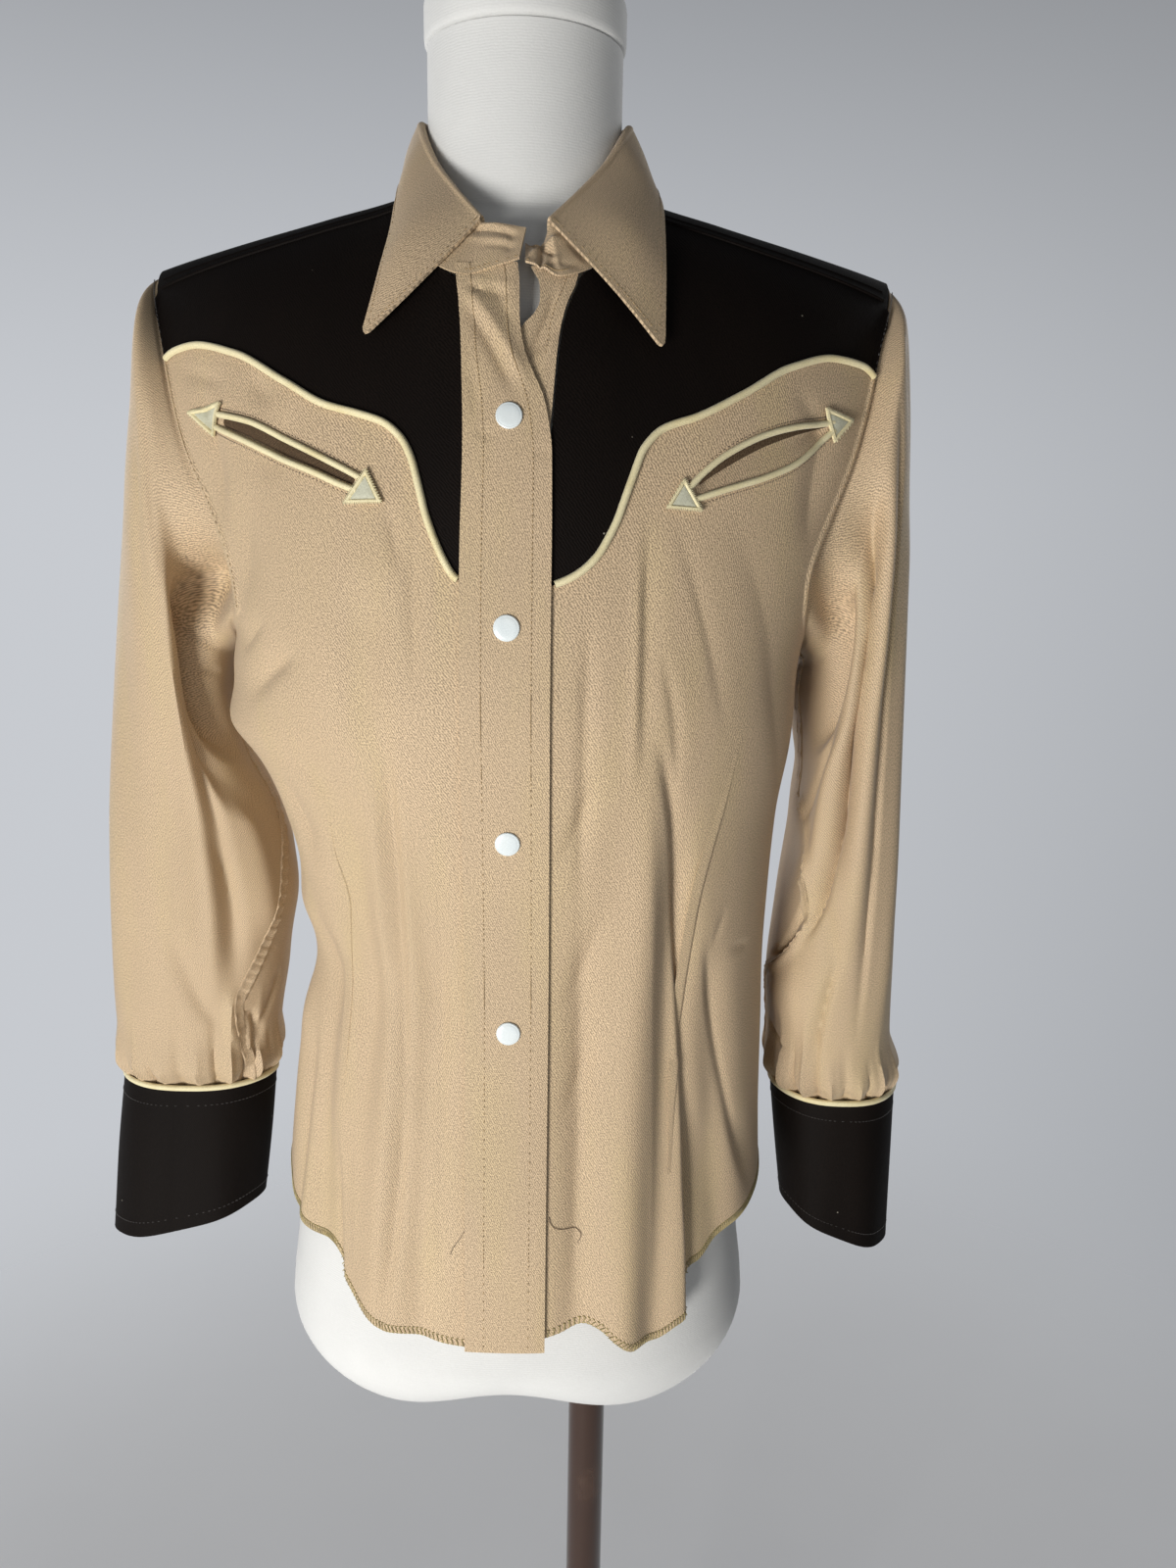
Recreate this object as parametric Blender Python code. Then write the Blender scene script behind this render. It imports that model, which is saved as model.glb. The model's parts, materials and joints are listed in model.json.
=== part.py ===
"""A western snap shirt on a limbless dress form, with its pole and base.

Metres, +Z up. The origin is on the floor under the middle of the base, on the pole's axis. The
garment is worked out about its own centre line, FORM_X to the side of the pole: x grows towards
the wearer's left, y towards the back. An angle round the body is 0 at the centre front, 90 degrees
at the wearer's left side and 180 at the centre back.
"""

import bpy
import numpy as np

# Driving sizes
FORM_X = -0.044  # the form's centre line, beside the pole
CLOTH = 0.0016  # one layer of gabardine with its seam allowances
STIFF_CLOTH = 0.0019  # collar and cuffs, which have two layers and a stiffener
SEAM = 0.0003  # the clear gap between two pieces at a seam
SQUARE = 2.3  # exponent of the body's rounded sections
BUST_Z = 1.000  # height of the fullest section, where the shoulders' curves start
RIDGE_Y = 0.012  # the shoulder line lies just behind the side seams
SHOULDER_DROP = 0.013  # the shoulder seam lies this far below the ridge, in front
SHOULDER_FROM, SHOULDER_TO = 0.0545, 0.1885  # the shoulder seam's ends, from the centre line
NECK_SHARE = 0.30  # the part of the back's width that lies below the neckline
UNDER_COLLAR = 0.0012  # the yokes go on this far under the collar's foot
UNDER_PLACKET = 0.0032  # the wearer's right front goes this far under the placket's edge
PLACKET_BOTTOM, UNDER_PLACKET_BOTTOM, PLACKET_TOP_DROP = 0.6465, 0.6480, 0.0020
SLEEVE_OUT, SLEEVE_ROUND = 0.0012, 0.0003  # the sleeve head stands off the armhole by these
SNAP_RADIUS, SNAP_HEIGHT = 0.0061, 0.0022
SNAP_HEIGHTS = (1.1235, 1.031, 0.928, 0.826)
PIPING_WIDTH, PIPING_HEIGHT = 0.0040, 0.0022
WELT_WIDTH, WELT_HEIGHT = 0.0034, 0.0020
TAB_HEIGHT = 0.0016
NECK_TOP, CAP_TOP, NECK_RADIUS, NECK_Y = 1.3090, 1.3310, 0.0495, 0.0030
LOBE_BOTTOM, LOBE_START, ARCH_HEIGHT, ARCH_WIDTH = 0.551, 0.620, 0.028, 0.050
POLE_RADIUS, POLE_Y, POLE_TOP = 0.0115, 0.0, 0.600
BASE_RADIUS, BASE_HEIGHT, BASE_ROUND = 0.165, 0.010, 0.003

# Numbers of faces
FRONT_COLUMNS, NECK_COLUMNS = 12, 14
PANEL_ROWS, BACK_ROWS, YOKE_ROWS, BACK_YOKE_ROWS = 16, 13, 9, 10
SLEEVE_SIDES, SLEEVE_ROWS, CUFF_SIDES = 22, 16, 22
FORM_SIDES, POLE_SIDES, SNAP_SIDES = 32, 40, 12


def table(names, *rows):
    """A short table, as a dictionary of its named columns."""
    return dict(zip(names.split(), np.array(rows, float).T))


# The shirt's outside, section by section: how far it reaches to each side, front and back
BODY = table(
    "z      right  left   front  back",
    (0.640, 0.1385, 0.148, 0.114, 0.118),
    (0.700, 0.1370, 0.1455, 0.113, 0.118),
    (0.750, 0.1325, 0.143, 0.110, 0.111),
    (0.800, 0.126, 0.142, 0.107, 0.101),
    (0.840, 0.119, 0.141, 0.106, 0.093),
    (0.880, 0.129, 0.142, 0.109, 0.091),
    (0.920, 0.139, 0.144, 0.114, 0.094),
    (0.960, 0.149, 0.150, 0.120, 0.099),
    (1.000, 0.155, 0.155, 0.125, 0.103),
    (1.040, 0.161, 0.161, 0.125, 0.106),
    (1.080, 0.172, 0.172, 0.125, 0.108),
    (1.120, 0.186, 0.186, 0.125, 0.109),
    (1.160, 0.196, 0.196, 0.125, 0.109),
    (1.210, 0.205, 0.205, 0.125, 0.109),
    (1.290, 0.205, 0.205, 0.125, 0.109),
)
# The dress form under it
FORM = table(
    "z      side   front  back",
    (0.551, 0.1395, 0.102, 0.110),
    (0.620, 0.1385, 0.101, 0.110),
    (0.655, 0.1345, 0.100, 0.109),
    (0.700, 0.129, 0.097, 0.104),
    (0.760, 0.116, 0.090, 0.094),
    (0.840, 0.104, 0.087, 0.082),
    (0.900, 0.116, 0.097, 0.083),
    (0.960, 0.136, 0.113, 0.092),
    (1.000, 0.144, 0.1205, 0.098),
    (1.040, 0.145, 0.1205, 0.100),
    (1.100, 0.156, 0.1205, 0.103),
    (1.160, 0.168, 0.1205, 0.104),
    (1.210, 0.186, 0.1205, 0.104),
    (1.290, 0.188, 0.1205, 0.104),
)
# The line along the top of the shoulders, and up the middle into the neck, for the cloth and for
# the form that it rests on
RIDGE = table(
    "x      z       form_z",
    (0.000, 1.2720, 1.2520),
    (0.030, 1.2620, 1.2490),
    (0.056, 1.2430, 1.2382),
    (0.100, 1.2300, 1.2270),
    (0.150, 1.2165, 1.2141),
    (0.193, 1.2040, 1.2016),
    (0.215, 1.1960, 1.1936),
)
# The armhole's edge: degrees round the body from the centre front, and from the centre back
ARMHOLE = table(
    "z      front  back",
    (1.0125, 90.0, 90.0),
    (1.0200, 78.0, 82.0),
    (1.0350, 66.5, 75.0),
    (1.0600, 62.0, 71.0),
    (1.1000, 65.0, 70.0),
    (1.1550, 65.5, 70.0),
    (1.2040, 69.8, 69.8),
)
# The front yokes' seams, from the placket out to the armhole
SEAM_RIGHT = table(
    "x      z",
    (0.0170, 1.0500),
    (0.0235, 1.0530),
    (0.0290, 1.0610),
    (0.0370, 1.0800),
    (0.0405, 1.0930),
    (0.0440, 1.1050),
    (0.0495, 1.1145),
    (0.0580, 1.1210),
    (0.0690, 1.1245),
    (0.0860, 1.1290),
    (0.1060, 1.1395),
    (0.1330, 1.1535),
    (0.1570, 1.1590),
    (0.1690, 1.1575),
    (0.1800, 1.1520),
)
SEAM_LEFT = table(
    "x      z",
    (0.0170, 1.0490),
    (0.0300, 1.0545),
    (0.0400, 1.0630),
    (0.0480, 1.0770),
    (0.0545, 1.0950),
    (0.0605, 1.1110),
    (0.0690, 1.1200),
    (0.0860, 1.1265),
    (0.1080, 1.1380),
    (0.1300, 1.1510),
    (0.1530, 1.1575),
    (0.1690, 1.1560),
    (0.1800, 1.1490),
)
# The back yoke's seam, in shares of the way from the centre back to the armhole
BACK_SEAM = table(
    "share  z",
    (0.00, 1.0900),
    (0.25, 1.0980),
    (0.50, 1.1160),
    (0.75, 1.1300),
    (1.00, 1.1340),
)
# The hem's height against the angle round the body, for each side of the front
HEM_RIGHT = table(
    "angle  z",
    (0.0, 0.6465),
    (8.0, 0.6500),
    (14.0, 0.6540),
    (20.0, 0.6520),
    (30.0, UNDER_PLACKET_BOTTOM),
    (42.0, 0.6650),
    (52.0, 0.6780),
    (66.0, 0.6860),
    (90.0, 0.7080),
)
HEM_LEFT = table(
    "angle  z",
    (0.0, 0.6470),
    (8.0, 0.6570),
    (13.0, 0.6620),
    (18.0, 0.6500),
    (28.0, 0.6490),
    (38.0, 0.6560),
    (44.0, 0.6780),
    (58.0, 0.6860),
    (90.0, 0.7060),
)
HEM_BACK = table("angle  z", (0.0, 0.6400), (30.0, UNDER_PLACKET_BOTTOM), (60.0, 0.6760), (90.0, 0.7070))
# Where the placket and the layer under it lie across the front, up to the neckline
PLACKET = table(
    "z      over_right over_left under_right under_left",
    (0.640, -0.0222, 0.0200, -0.0180, 0.0162),
    (1.060, -0.0222, 0.0200, -0.0180, 0.0162),
    (1.118, -0.0222, 0.0200, -0.0175, 0.0162),
    (1.132, -0.0222, 0.0172, -0.0110, 0.0172),
    (1.148, -0.0250, 0.0070, -0.0040, 0.0195),
    (1.163, -0.0285, 0.0025, 0.0055, 0.0220),
    (1.176, -0.0310, 0.0020, 0.0115, 0.0265),
    (1.1900, -0.0330, 0.0020, 0.0095, 0.0320),
)
# The neckline on the body: how far out, and degrees over the ridge, the front being negative
NECKLINE = table(
    "x      over",
    (0.0005, -46.5),
    (0.0185, -45.0),
    (0.0340, -39.5),
    (0.0470, -30.0),
    (0.0565, -15.0),
    (0.0590, 0.0),
    (0.0510, 16.0),
    (0.0300, 29.0),
    (0.0000, 34.0),
)
# The back yoke's columns along its neckline, from the centre back to the shoulder seam
BACK_NECK = table(
    "step  over",
    (0.00, 34.0),
    (0.35, 29.0),
    (0.75, 5.0),
    (1.00, -17.5),
)
# The collar, from the centre back round to the front: its foot on the neckline, the fold at its
# top, and the fall's edge on the body, with how far each stands off
COLLAR = table(
    "foot_x over  foot_off fold_x  fold_y  fold_z  edge_x edge_over edge_off",
    (0.0000, 34.0, 0.0027, 0.0000, 0.0600, 1.2790, 0.0000, 42.0, 0.0062),
    (0.0300, 29.0, 0.0030, 0.0295, 0.0530, 1.2790, 0.0380, 38.0, 0.0062),
    (0.0510, 16.0, 0.0027, 0.0500, 0.0310, 1.2780, 0.0585, 22.0, 0.0062),
    (0.0590, 0.00, 0.0027, 0.0555, 0.0050, 1.2750, 0.0650, 0.0, 0.0066),
    (0.0565, -15.0, 0.0026, 0.0515, -0.0170, 1.2640, 0.0650, -17.0, 0.0064),
    (0.0470, -30.0, 0.0023, 0.0430, -0.0370, 1.2470, 0.0670, -29.0, 0.0056),
    (0.0340, -39.5, 0.0024, 0.0305, -0.0560, 1.2300, 0.0685, -39.5, 0.0050),
    (0.0185, -45.0, 0.0025, 0.0165, -0.0735, 1.2135, 0.0665, -50.0, 0.0046),
)
FALL_SWELL, FALL_RISE = 0.0038, 0.0026  # the fall's own bow between its fold and its edge
STAND_DROP = 0.0010  # the stand's top lies this far below the fold
STAND_END = table(  # the stand goes on past the fall, to the fastening
    "foot_x over  foot_off fold_x  fold_y  fold_z",
    (0.0100, -46.2, 0.0025, 0.0095, -0.0770, 1.2105),
    (0.0022, -46.5, 0.0025, 0.0022, -0.0785, 1.2090),
)
# Each sleeve's outer and inner lines, and its depth, from below the armhole down to the cuff
SLEEVE_RIGHT = table(
    "outer_x outer_z inner_x inner_z middle_y depth",
    (0.1975, 1.1930, 0.1640, 1.0000, 0.011, 0.063),
    (0.2045, 1.1500, 0.1670, 0.9750, 0.013, 0.063),
    (0.2145, 1.1000, 0.1650, 0.9450, 0.016, 0.060),
    (0.2265, 1.0350, 0.1560, 0.9120, 0.019, 0.055),
    (0.2365, 0.9680, 0.1470, 0.8820, 0.021, 0.050),
    (0.2435, 0.9000, 0.1430, 0.8500, 0.021, 0.046),
    (0.2470, 0.8400, 0.1445, 0.8150, 0.021, 0.044),
    (0.2485, 0.7850, 0.1500, 0.7800, 0.021, 0.040),
    (0.2470, 0.7425, 0.1545, 0.7425, 0.020, 0.031),
)
SLEEVE_LEFT = table(
    "outer_x outer_z inner_x inner_z middle_y depth",
    (0.1985, 1.1900, 0.1640, 1.0000, 0.011, 0.063),
    (0.2035, 1.1500, 0.1670, 0.9750, 0.013, 0.065),
    (0.2070, 1.0950, 0.1650, 0.9450, 0.016, 0.065),
    (0.2120, 1.0350, 0.1600, 0.9150, 0.019, 0.062),
    (0.2165, 0.9680, 0.1570, 0.8880, 0.021, 0.060),
    (0.2210, 0.8950, 0.1540, 0.8520, 0.022, 0.058),
    (0.2235, 0.8350, 0.1510, 0.8120, 0.022, 0.055),
    (0.2250, 0.7850, 0.1520, 0.7780, 0.022, 0.048),
    (0.2315, 0.7425, 0.1555, 0.7425, 0.020, 0.036),
)
# The cuffs, from the seam with the sleeve down to the open end
CUFF_RIGHT = table(
    "outer_x outer_z inner_x inner_z middle_y depth",
    (0.2475, 0.7418, 0.1540, 0.7418, 0.020, 0.0315),
    (0.2545, 0.6900, 0.1580, 0.7000, 0.020, 0.0300),
    (0.2600, 0.6320, 0.1630, 0.6580, 0.020, 0.0290),
)
CUFF_LEFT = table(
    "outer_x outer_z inner_x inner_z middle_y depth",
    (0.2320, 0.7418, 0.1550, 0.7418, 0.020, 0.0365),
    (0.2325, 0.6900, 0.1595, 0.7020, 0.020, 0.0360),
    (0.2325, 0.6370, 0.1640, 0.6640, 0.020, 0.0350),
)
# The body's folds: the line each follows, how wide it is and how deep, a ridge being positive.
# The last column says whether it dies away before its lower end.
BODY_FOLDS = table(
    "angle_top z_top angle_end z_end width depth   fades",
    (33.0, 0.975, 29.0, 0.640, 4.5, -0.0050, 0.0),
    (24.5, 0.985, 22.0, 0.640, 5.0, 0.0040, 0.0),
    (44.0, 0.880, 52.0, 0.670, 6.0, -0.0040, 0.0),
    (12.5, 0.900, 11.5, 0.640, 4.0, -0.0030, 0.0),
    (-31.0, 0.985, -38.0, 0.670, 5.5, -0.0040, 0.0),
    (-21.0, 1.060, -24.0, 0.960, 5.0, -0.0030, 1.0),
    (-52.0, 0.905, -49.0, 0.690, 5.0, -0.0045, 0.0),
    (-68.0, 0.870, -62.0, 0.700, 7.0, 0.0040, 0.0),
    (150.0, 0.960, 156.0, 0.640, 7.0, -0.0045, 0.0),
    (-148.0, 0.980, -152.0, 0.640, 7.0, -0.0045, 0.0),
    (171.0, 0.890, 174.0, 0.640, 6.0, 0.0040, 0.0),
    (-128.0, 0.900, -122.0, 0.690, 8.0, 0.0035, 0.0),
    (126.0, 0.920, 118.0, 0.690, 8.0, 0.0035, 0.0),
)
# The sleeves' folds: degrees round from the outer line towards the front, shares of the length
SLEEVE_FOLDS_RIGHT = table(
    "angle_top from angle_end to   width depth",
    (118.0, 0.06, 140.0, 0.52, 16.0, -0.0090),
    (96.0, 0.05, 112.0, 0.50, 12.0, 0.0040),
    (52.0, 0.30, 66.0, 0.95, 16.0, -0.0040),
    (128.0, 0.55, 120.0, 1.00, 12.0, -0.0060),
    (250.0, 0.20, 235.0, 0.95, 18.0, -0.0060),
    (300.0, 0.35, 310.0, 0.95, 18.0, 0.0040),
)
SLEEVE_FOLDS_LEFT = table(
    "angle_top from angle_end to   width depth",
    (42.0, 0.08, 48.0, 0.96, 13.0, -0.0060),
    (66.0, 0.12, 70.0, 0.90, 14.0, 0.0040),
    (128.0, 0.30, 140.0, 0.75, 16.0, -0.0070),
    (115.0, 0.60, 122.0, 1.00, 12.0, 0.0040),
    (245.0, 0.20, 238.0, 0.95, 18.0, -0.0060),
    (298.0, 0.30, 306.0, 0.95, 18.0, 0.0040),
)
GATHERS, GATHER_DEPTH, GATHER_START = 9, 0.0016, 0.86
# The smile pockets: the two welts' lines, from the side towards the centre
POCKET_RIGHT = table(
    "upper_x upper_z lower_x lower_z",
    (0.1475, 1.1265, 0.1500, 1.1205),
    (0.1320, 1.1215, 0.1345, 1.1135),
    (0.1140, 1.1150, 0.1155, 1.1070),
    (0.0930, 1.1060, 0.0945, 1.0985),
    (0.0725, 1.0960, 0.0750, 1.0915),
)
POCKET_LEFT = table(
    "upper_x upper_z lower_x lower_z",
    (0.1530, 1.1270, 0.1520, 1.1205),
    (0.1350, 1.1245, 0.1370, 1.1085),
    (0.1160, 1.1185, 0.1165, 1.1000),
    (0.0990, 1.1075, 0.0990, 1.0925),
    (0.0850, 1.0950, 0.0880, 1.0890),
)
# The arrow tabs at each pocket's ends: the point, then the two corners of the base
TABS_RIGHT = table(
    "tip_x tip_z upper_x upper_z lower_x lower_z",
    (0.1640, 1.1290, 0.1482, 1.1335, 0.1570, 1.1155),
    (0.0590, 1.0850, 0.0690, 1.1010, 0.0762, 1.0845),
)
TABS_LEFT = table(
    "tip_x tip_z upper_x upper_z lower_x lower_z",
    (0.1675, 1.1300, 0.1540, 1.1350, 0.1600, 1.1150),
    (0.0700, 1.0820, 0.0795, 1.0985, 0.0905, 1.0840),
)

# Colour, roughness and metallic value of each finish
FINISHES = {
    "tan_gabardine": ((0.50, 0.33, 0.20), 0.75, 0.0),
    "brown_gabardine": ((0.016, 0.010, 0.008), 0.75, 0.0),
    "cream_piping": ((0.80, 0.72, 0.45), 0.6, 0.0),
    "white_snap": ((0.75, 0.80, 0.80), 0.25, 0.0),
    "form_jersey": ((0.66, 0.66, 0.64), 0.85, 0.0),
    "brown_metal": ((0.05, 0.02, 0.012), 0.3, 0.6),
}


def smooth(at, stations, values):
    """Reads a curve through the table's points. Each slope is the harmonic mean of its neighbours',
    or nothing where the curve turns, so the curve never overshoots a point."""
    stations, values = np.asarray(stations, float), np.asarray(values, float)
    shape = (-1,) + (1,) * (values.ndim - 1)
    step = np.diff(stations).reshape(shape)
    rise = np.diff(values, axis=0) / step
    before, after = rise[:-1], rise[1:]
    turning = before * after <= 0
    inner = np.where(turning, 0.0, 2 * before * after / np.where(turning, 1.0, before + after))
    slope = np.concatenate([rise[:1], inner, rise[-1:]])
    at = np.clip(np.asarray(at, float), stations[0], stations[-1])
    cell = np.clip(np.searchsorted(stations, at, side="right") - 1, 0, len(stations) - 2)
    width = np.diff(stations)[cell]
    t = (at - stations[cell]) / width
    t, width = (a.reshape(a.shape + (1,) * (values.ndim - 1)) for a in (t, width))
    return (
        (2 * t**3 - 3 * t**2 + 1) * values[cell]
        + (t**3 - 2 * t**2 + t) * width * slope[cell]
        + (3 * t**2 - 2 * t**3) * values[cell + 1]
        + (t**3 - t**2) * width * slope[cell + 1]
    )


def read(tab, key, name, at):
    """One column of a table, read against another."""
    order = np.argsort(tab[key])
    return smooth(at, tab[key][order], tab[name][order])


def ease(t):
    t = np.clip(t, 0.0, 1.0)
    return t * t * (3 - 2 * t)


def mix(a, b, share):
    return a + (b - a) * share


def unit(vectors):
    return vectors / np.linalg.norm(vectors, axis=-1, keepdims=True)


# ---- The body's surface ----


def half_width(side, z):
    return np.where(
        np.asarray(side) >= 0, read(BODY, "z", "left", z), read(BODY, "z", "right", z)
    )


def shouldered(x, section_y, z):
    """Draws a section's front or back in towards the ridge, on a quarter circle between the bust
    and the shoulder line, and leaves it alone below the bust."""
    top = read(RIDGE, "x", "z", np.abs(x))
    down = np.clip((top - z) / (top - BUST_Z), 0.0, 1.0)
    return RIDGE_Y + (section_y - RIDGE_Y) * np.sqrt(1 - (1 - down) ** 2)


def bare_body(angle, z):
    """The shirt's outside without its folds: a rounded section at each height."""
    sine, cosine = np.sin(angle), np.cos(angle)
    x = np.sign(sine) * half_width(sine, z) * np.abs(sine) ** (2 / SQUARE)
    depth = np.where(cosine > 0, read(BODY, "z", "front", z), -read(BODY, "z", "back", z))
    y = shouldered(x, -depth * np.abs(cosine) ** (2 / SQUARE), z)
    return np.stack(np.broadcast_arrays(x, y, z), -1)


def body_normal(angle, z, turn=0.01, climb=0.0005):
    across = bare_body(angle + turn, z) - bare_body(angle - turn, z)
    up = bare_body(angle, z + climb) - bare_body(angle, z - climb)
    return unit(np.cross(across, up))


def fold_relief(angle, z):
    """The folds' heights added up: each a smooth ridge or trough along a straight line."""
    degrees = np.degrees(angle)
    total = np.zeros(np.broadcast(angle, z).shape)
    for i in range(len(BODY_FOLDS["depth"])):
        fold = {name: column[i] for name, column in BODY_FOLDS.items()}
        along = (fold["z_top"] - z) / (fold["z_top"] - fold["z_end"])
        middle = mix(fold["angle_top"], fold["angle_end"], np.clip(along, 0, 1))
        away = (degrees - middle + 180) % 360 - 180
        strength = ease(along / 0.35) * (1 - fold["fades"] * ease((along - 0.6) / 0.4))
        total = total + fold["depth"] * strength * np.exp(-((away / fold["width"]) ** 2))
    return total


def on_body(angle, z, off=0.0):
    """A point of the cloth's outside, or one moved out from it, and the direction outwards."""
    outwards = body_normal(angle, z)
    return bare_body(angle, z) + outwards * (fold_relief(angle, z) + off)[..., None], outwards


def angle_of(x, z):
    """The angle round the front at which the section reaches a given x."""
    share = np.clip(np.abs(x) / half_width(x, z), 0.0, 1.0)
    return np.sign(x) * np.arcsin(share ** (SQUARE / 2))


def over_ridge(x, over):
    """A point above the bust by its x and the angle over the ridge: 0 on it, 90 degrees at the
    bust, positive behind. Gives its angle round the body and its height."""
    top = read(RIDGE, "x", "z", np.abs(x))
    z = BUST_Z + (top - BUST_Z) * np.cos(over)
    front = angle_of(x, z)
    return np.where(over <= 0, front, np.pi - front), z


def ridge_normal(x, over):
    """Outwards near the ridge, where the body's height is no help: from steps in x and over it."""
    step_x, step_over = 0.001, np.radians(1.0)
    across = ridge_point(x + step_x, over) - ridge_point(x - step_x, over)
    back = ridge_point(x, over + step_over) - ridge_point(x, over - step_over)
    return unit(np.cross(across, back))


def ridge_point(x, over):
    top = read(RIDGE, "x", "z", np.abs(x))
    z = BUST_Z + (top - BUST_Z) * np.cos(over)
    share = np.clip(np.abs(x) / half_width(x, z), 0.0, 1.0)
    depth = np.where(over <= 0, -read(BODY, "z", "front", z), read(BODY, "z", "back", z))
    section = depth * (1 - share**SQUARE) ** (1 / SQUARE)
    y = RIDGE_Y + (section - RIDGE_Y) * np.abs(np.sin(over))
    return np.stack(np.broadcast_arrays(x, y, z), -1)


# ---- Meshes ----


def finish(obj, finish_name):
    """The object's material, and its place beside the pole."""
    material = bpy.data.materials.new(obj.name)
    material.use_nodes = True
    colour, roughness, metallic = FINISHES[finish_name]
    shader = material.node_tree.nodes["Principled BSDF"]
    shader.inputs["Base Color"].default_value = (*colour, 1.0)
    shader.inputs["Roughness"].default_value = roughness
    shader.inputs["Metallic"].default_value = metallic
    obj.data.materials.append(material)
    obj.data.shade_smooth()
    obj.data.set_sharp_from_angle(angle=np.radians(40))
    return obj


def mesh_object(name, points, faces, finish_name, at=(FORM_X, 0.0, 0.0)):
    mesh = bpy.data.meshes.new(name)
    mesh.from_pydata(np.asarray(points).reshape(-1, 3).tolist(), [], faces)
    mesh.update()
    obj = bpy.data.objects.new(name, mesh)
    obj.location = at
    bpy.context.scene.collection.objects.link(obj)
    return finish(obj, finish_name)


def grid_faces(rows, columns, start=0, closed=False, flip=False):
    """Four-sided faces between neighbouring rows and columns of a grid of points."""
    faces = []
    for r in range(rows - 1):
        for c in range(columns if closed else columns - 1):
            a, b = start + r * columns + c, start + r * columns + (c + 1) % columns
            face = (a, b, b + columns, a + columns)
            faces.append(face[::-1] if flip else face)
    return faces


def border(rows, columns):
    """The grid's outer edge, once round."""
    bottom = list(range(columns))
    right = [r * columns + columns - 1 for r in range(1, rows)]
    top = [(rows - 1) * columns + c for c in range(columns - 2, -1, -1)]
    left = [r * columns for r in range(rows - 2, 0, -1)]
    return bottom + right + top + left


def wall(name, outside, inside, finish_name):
    """A cloth panel: two grids a thickness apart, joined by a rim round their edge."""
    rows, columns = outside.shape[:2]
    count = rows * columns
    faces = grid_faces(rows, columns) + grid_faces(rows, columns, count, flip=True)
    edge = border(rows, columns)
    for a, b in zip(edge, edge[1:] + edge[:1]):
        faces.append((b, a, a + count, b + count))
    points = np.concatenate([outside.reshape(-1, 3), inside.reshape(-1, 3)])
    return mesh_object(name, points, faces, finish_name)


def tube_wall(name, outside, inside, finish_name):
    """A cloth tube: two closed grids, joined by a rim at each end. Rows run down the tube."""
    rows, columns = outside.shape[:2]
    count = rows * columns
    faces = grid_faces(rows, columns, closed=True)
    faces += grid_faces(rows, columns, count, closed=True, flip=True)
    for c in range(columns):
        after = (c + 1) % columns
        last = (rows - 1) * columns
        faces.append((after, c, c + count, after + count))
        faces.append((last + c, last + after, last + after + count, last + c + count))
    points = np.concatenate([outside.reshape(-1, 3), inside.reshape(-1, 3)])
    return mesh_object(name, points, faces, finish_name)


def solid_rings(name, rings, finish_name, at=(FORM_X, 0.0, 0.0)):
    """A solid of rings from bottom to top, closed by a point in the middle of each end."""
    rows, columns = rings.shape[:2]
    points = np.concatenate([rings.reshape(-1, 3), rings[:1].mean(1), rings[-1:].mean(1)])
    low, high, last = rows * columns, rows * columns + 1, (rows - 1) * columns
    faces = grid_faces(rows, columns, closed=True)
    for c in range(columns):
        after = (c + 1) % columns
        faces += [(low, after, c), (high, last + c, last + after)]
    return mesh_object(name, points, faces, finish_name, at)


def tube_normals(rings):
    """Outwards on a grid of closed rings that run down the tube, from its neighbours' places."""
    around = np.roll(rings, -1, 1) - np.roll(rings, 1, 1)
    down = np.gradient(rings, axis=0)
    return unit(np.cross(down, around))


def grid_normals(grid):
    return unit(np.cross(np.gradient(grid, axis=1), np.gradient(grid, axis=0)))


def strip(name, path, outwards, width, height, finish_name, closed=False, off=2 * SEAM):
    """A half-round strip laid along a line on the cloth, such as piping or a welt."""
    ahead = np.roll(path, -1, 0) - np.roll(path, 1, 0) if closed else np.gradient(path, axis=0)
    across = unit(np.cross(outwards, ahead))
    around = np.radians([0.0, 45.0, 90.0, 135.0, 180.0])
    sideways, up = np.cos(around) * width / 2, np.sin(around) * height
    section = across[:, None] * sideways[None, :, None] + outwards[:, None] * up[None, :, None]
    rings = path[:, None] + outwards[:, None] * off + section
    rows, columns = rings.shape[:2]
    if closed:
        faces = []
        for r in range(rows):
            below, above = r * columns, (r + 1) % rows * columns
            for c in range(columns):
                after = (c + 1) % columns
                faces.append((below + c, below + after, above + after, above + c))
        return mesh_object(name, rings, faces, finish_name)
    faces = grid_faces(rows, columns, closed=True)
    faces += [tuple(range(columns - 1, -1, -1)), tuple(range((rows - 1) * columns, rows * columns))]
    return mesh_object(name, rings, faces, finish_name)


# ---- The shirt's panels ----


def placket_edge(side, z):
    """Where a front stops under the placket: the inner edge of its panel and of its yoke."""
    if side > 0:
        return read(PLACKET, "z", "under_left", z) + 3 * SEAM
    return read(PLACKET, "z", "over_right", z) + UNDER_PLACKET


def neck_edge(z):
    """The neckline's x at a height in front, from the fastening up to the shoulder seam."""
    front = NECKLINE["over"] <= -10
    x, over = NECKLINE["x"][front], np.radians(NECKLINE["over"][front])
    return smooth(z, over_ridge(x, over)[1], x)


def inner_angle(side, z):
    """A front's inner edge: the placket's line and, above its end, the neckline."""
    neck_z = over_ridge(NECKLINE["x"][1], np.radians(NECKLINE["over"][1]))[1]
    placket_x = np.abs(placket_edge(side, np.minimum(z, neck_z)))
    x = np.where(z > neck_z, np.maximum(neck_edge(z) - UNDER_COLLAR, placket_x), placket_x)
    return angle_of(side * x, z)


def side_angle(side, z, kind="front"):
    """A front's outer edge: the side seam and, above it, the armhole."""
    angle = np.radians(read(ARMHOLE, "z", kind, z))
    return side * (angle - SEAM * 0.5 / half_width(side, z) * (1 + 2 * (angle > 1.5)))


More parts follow.
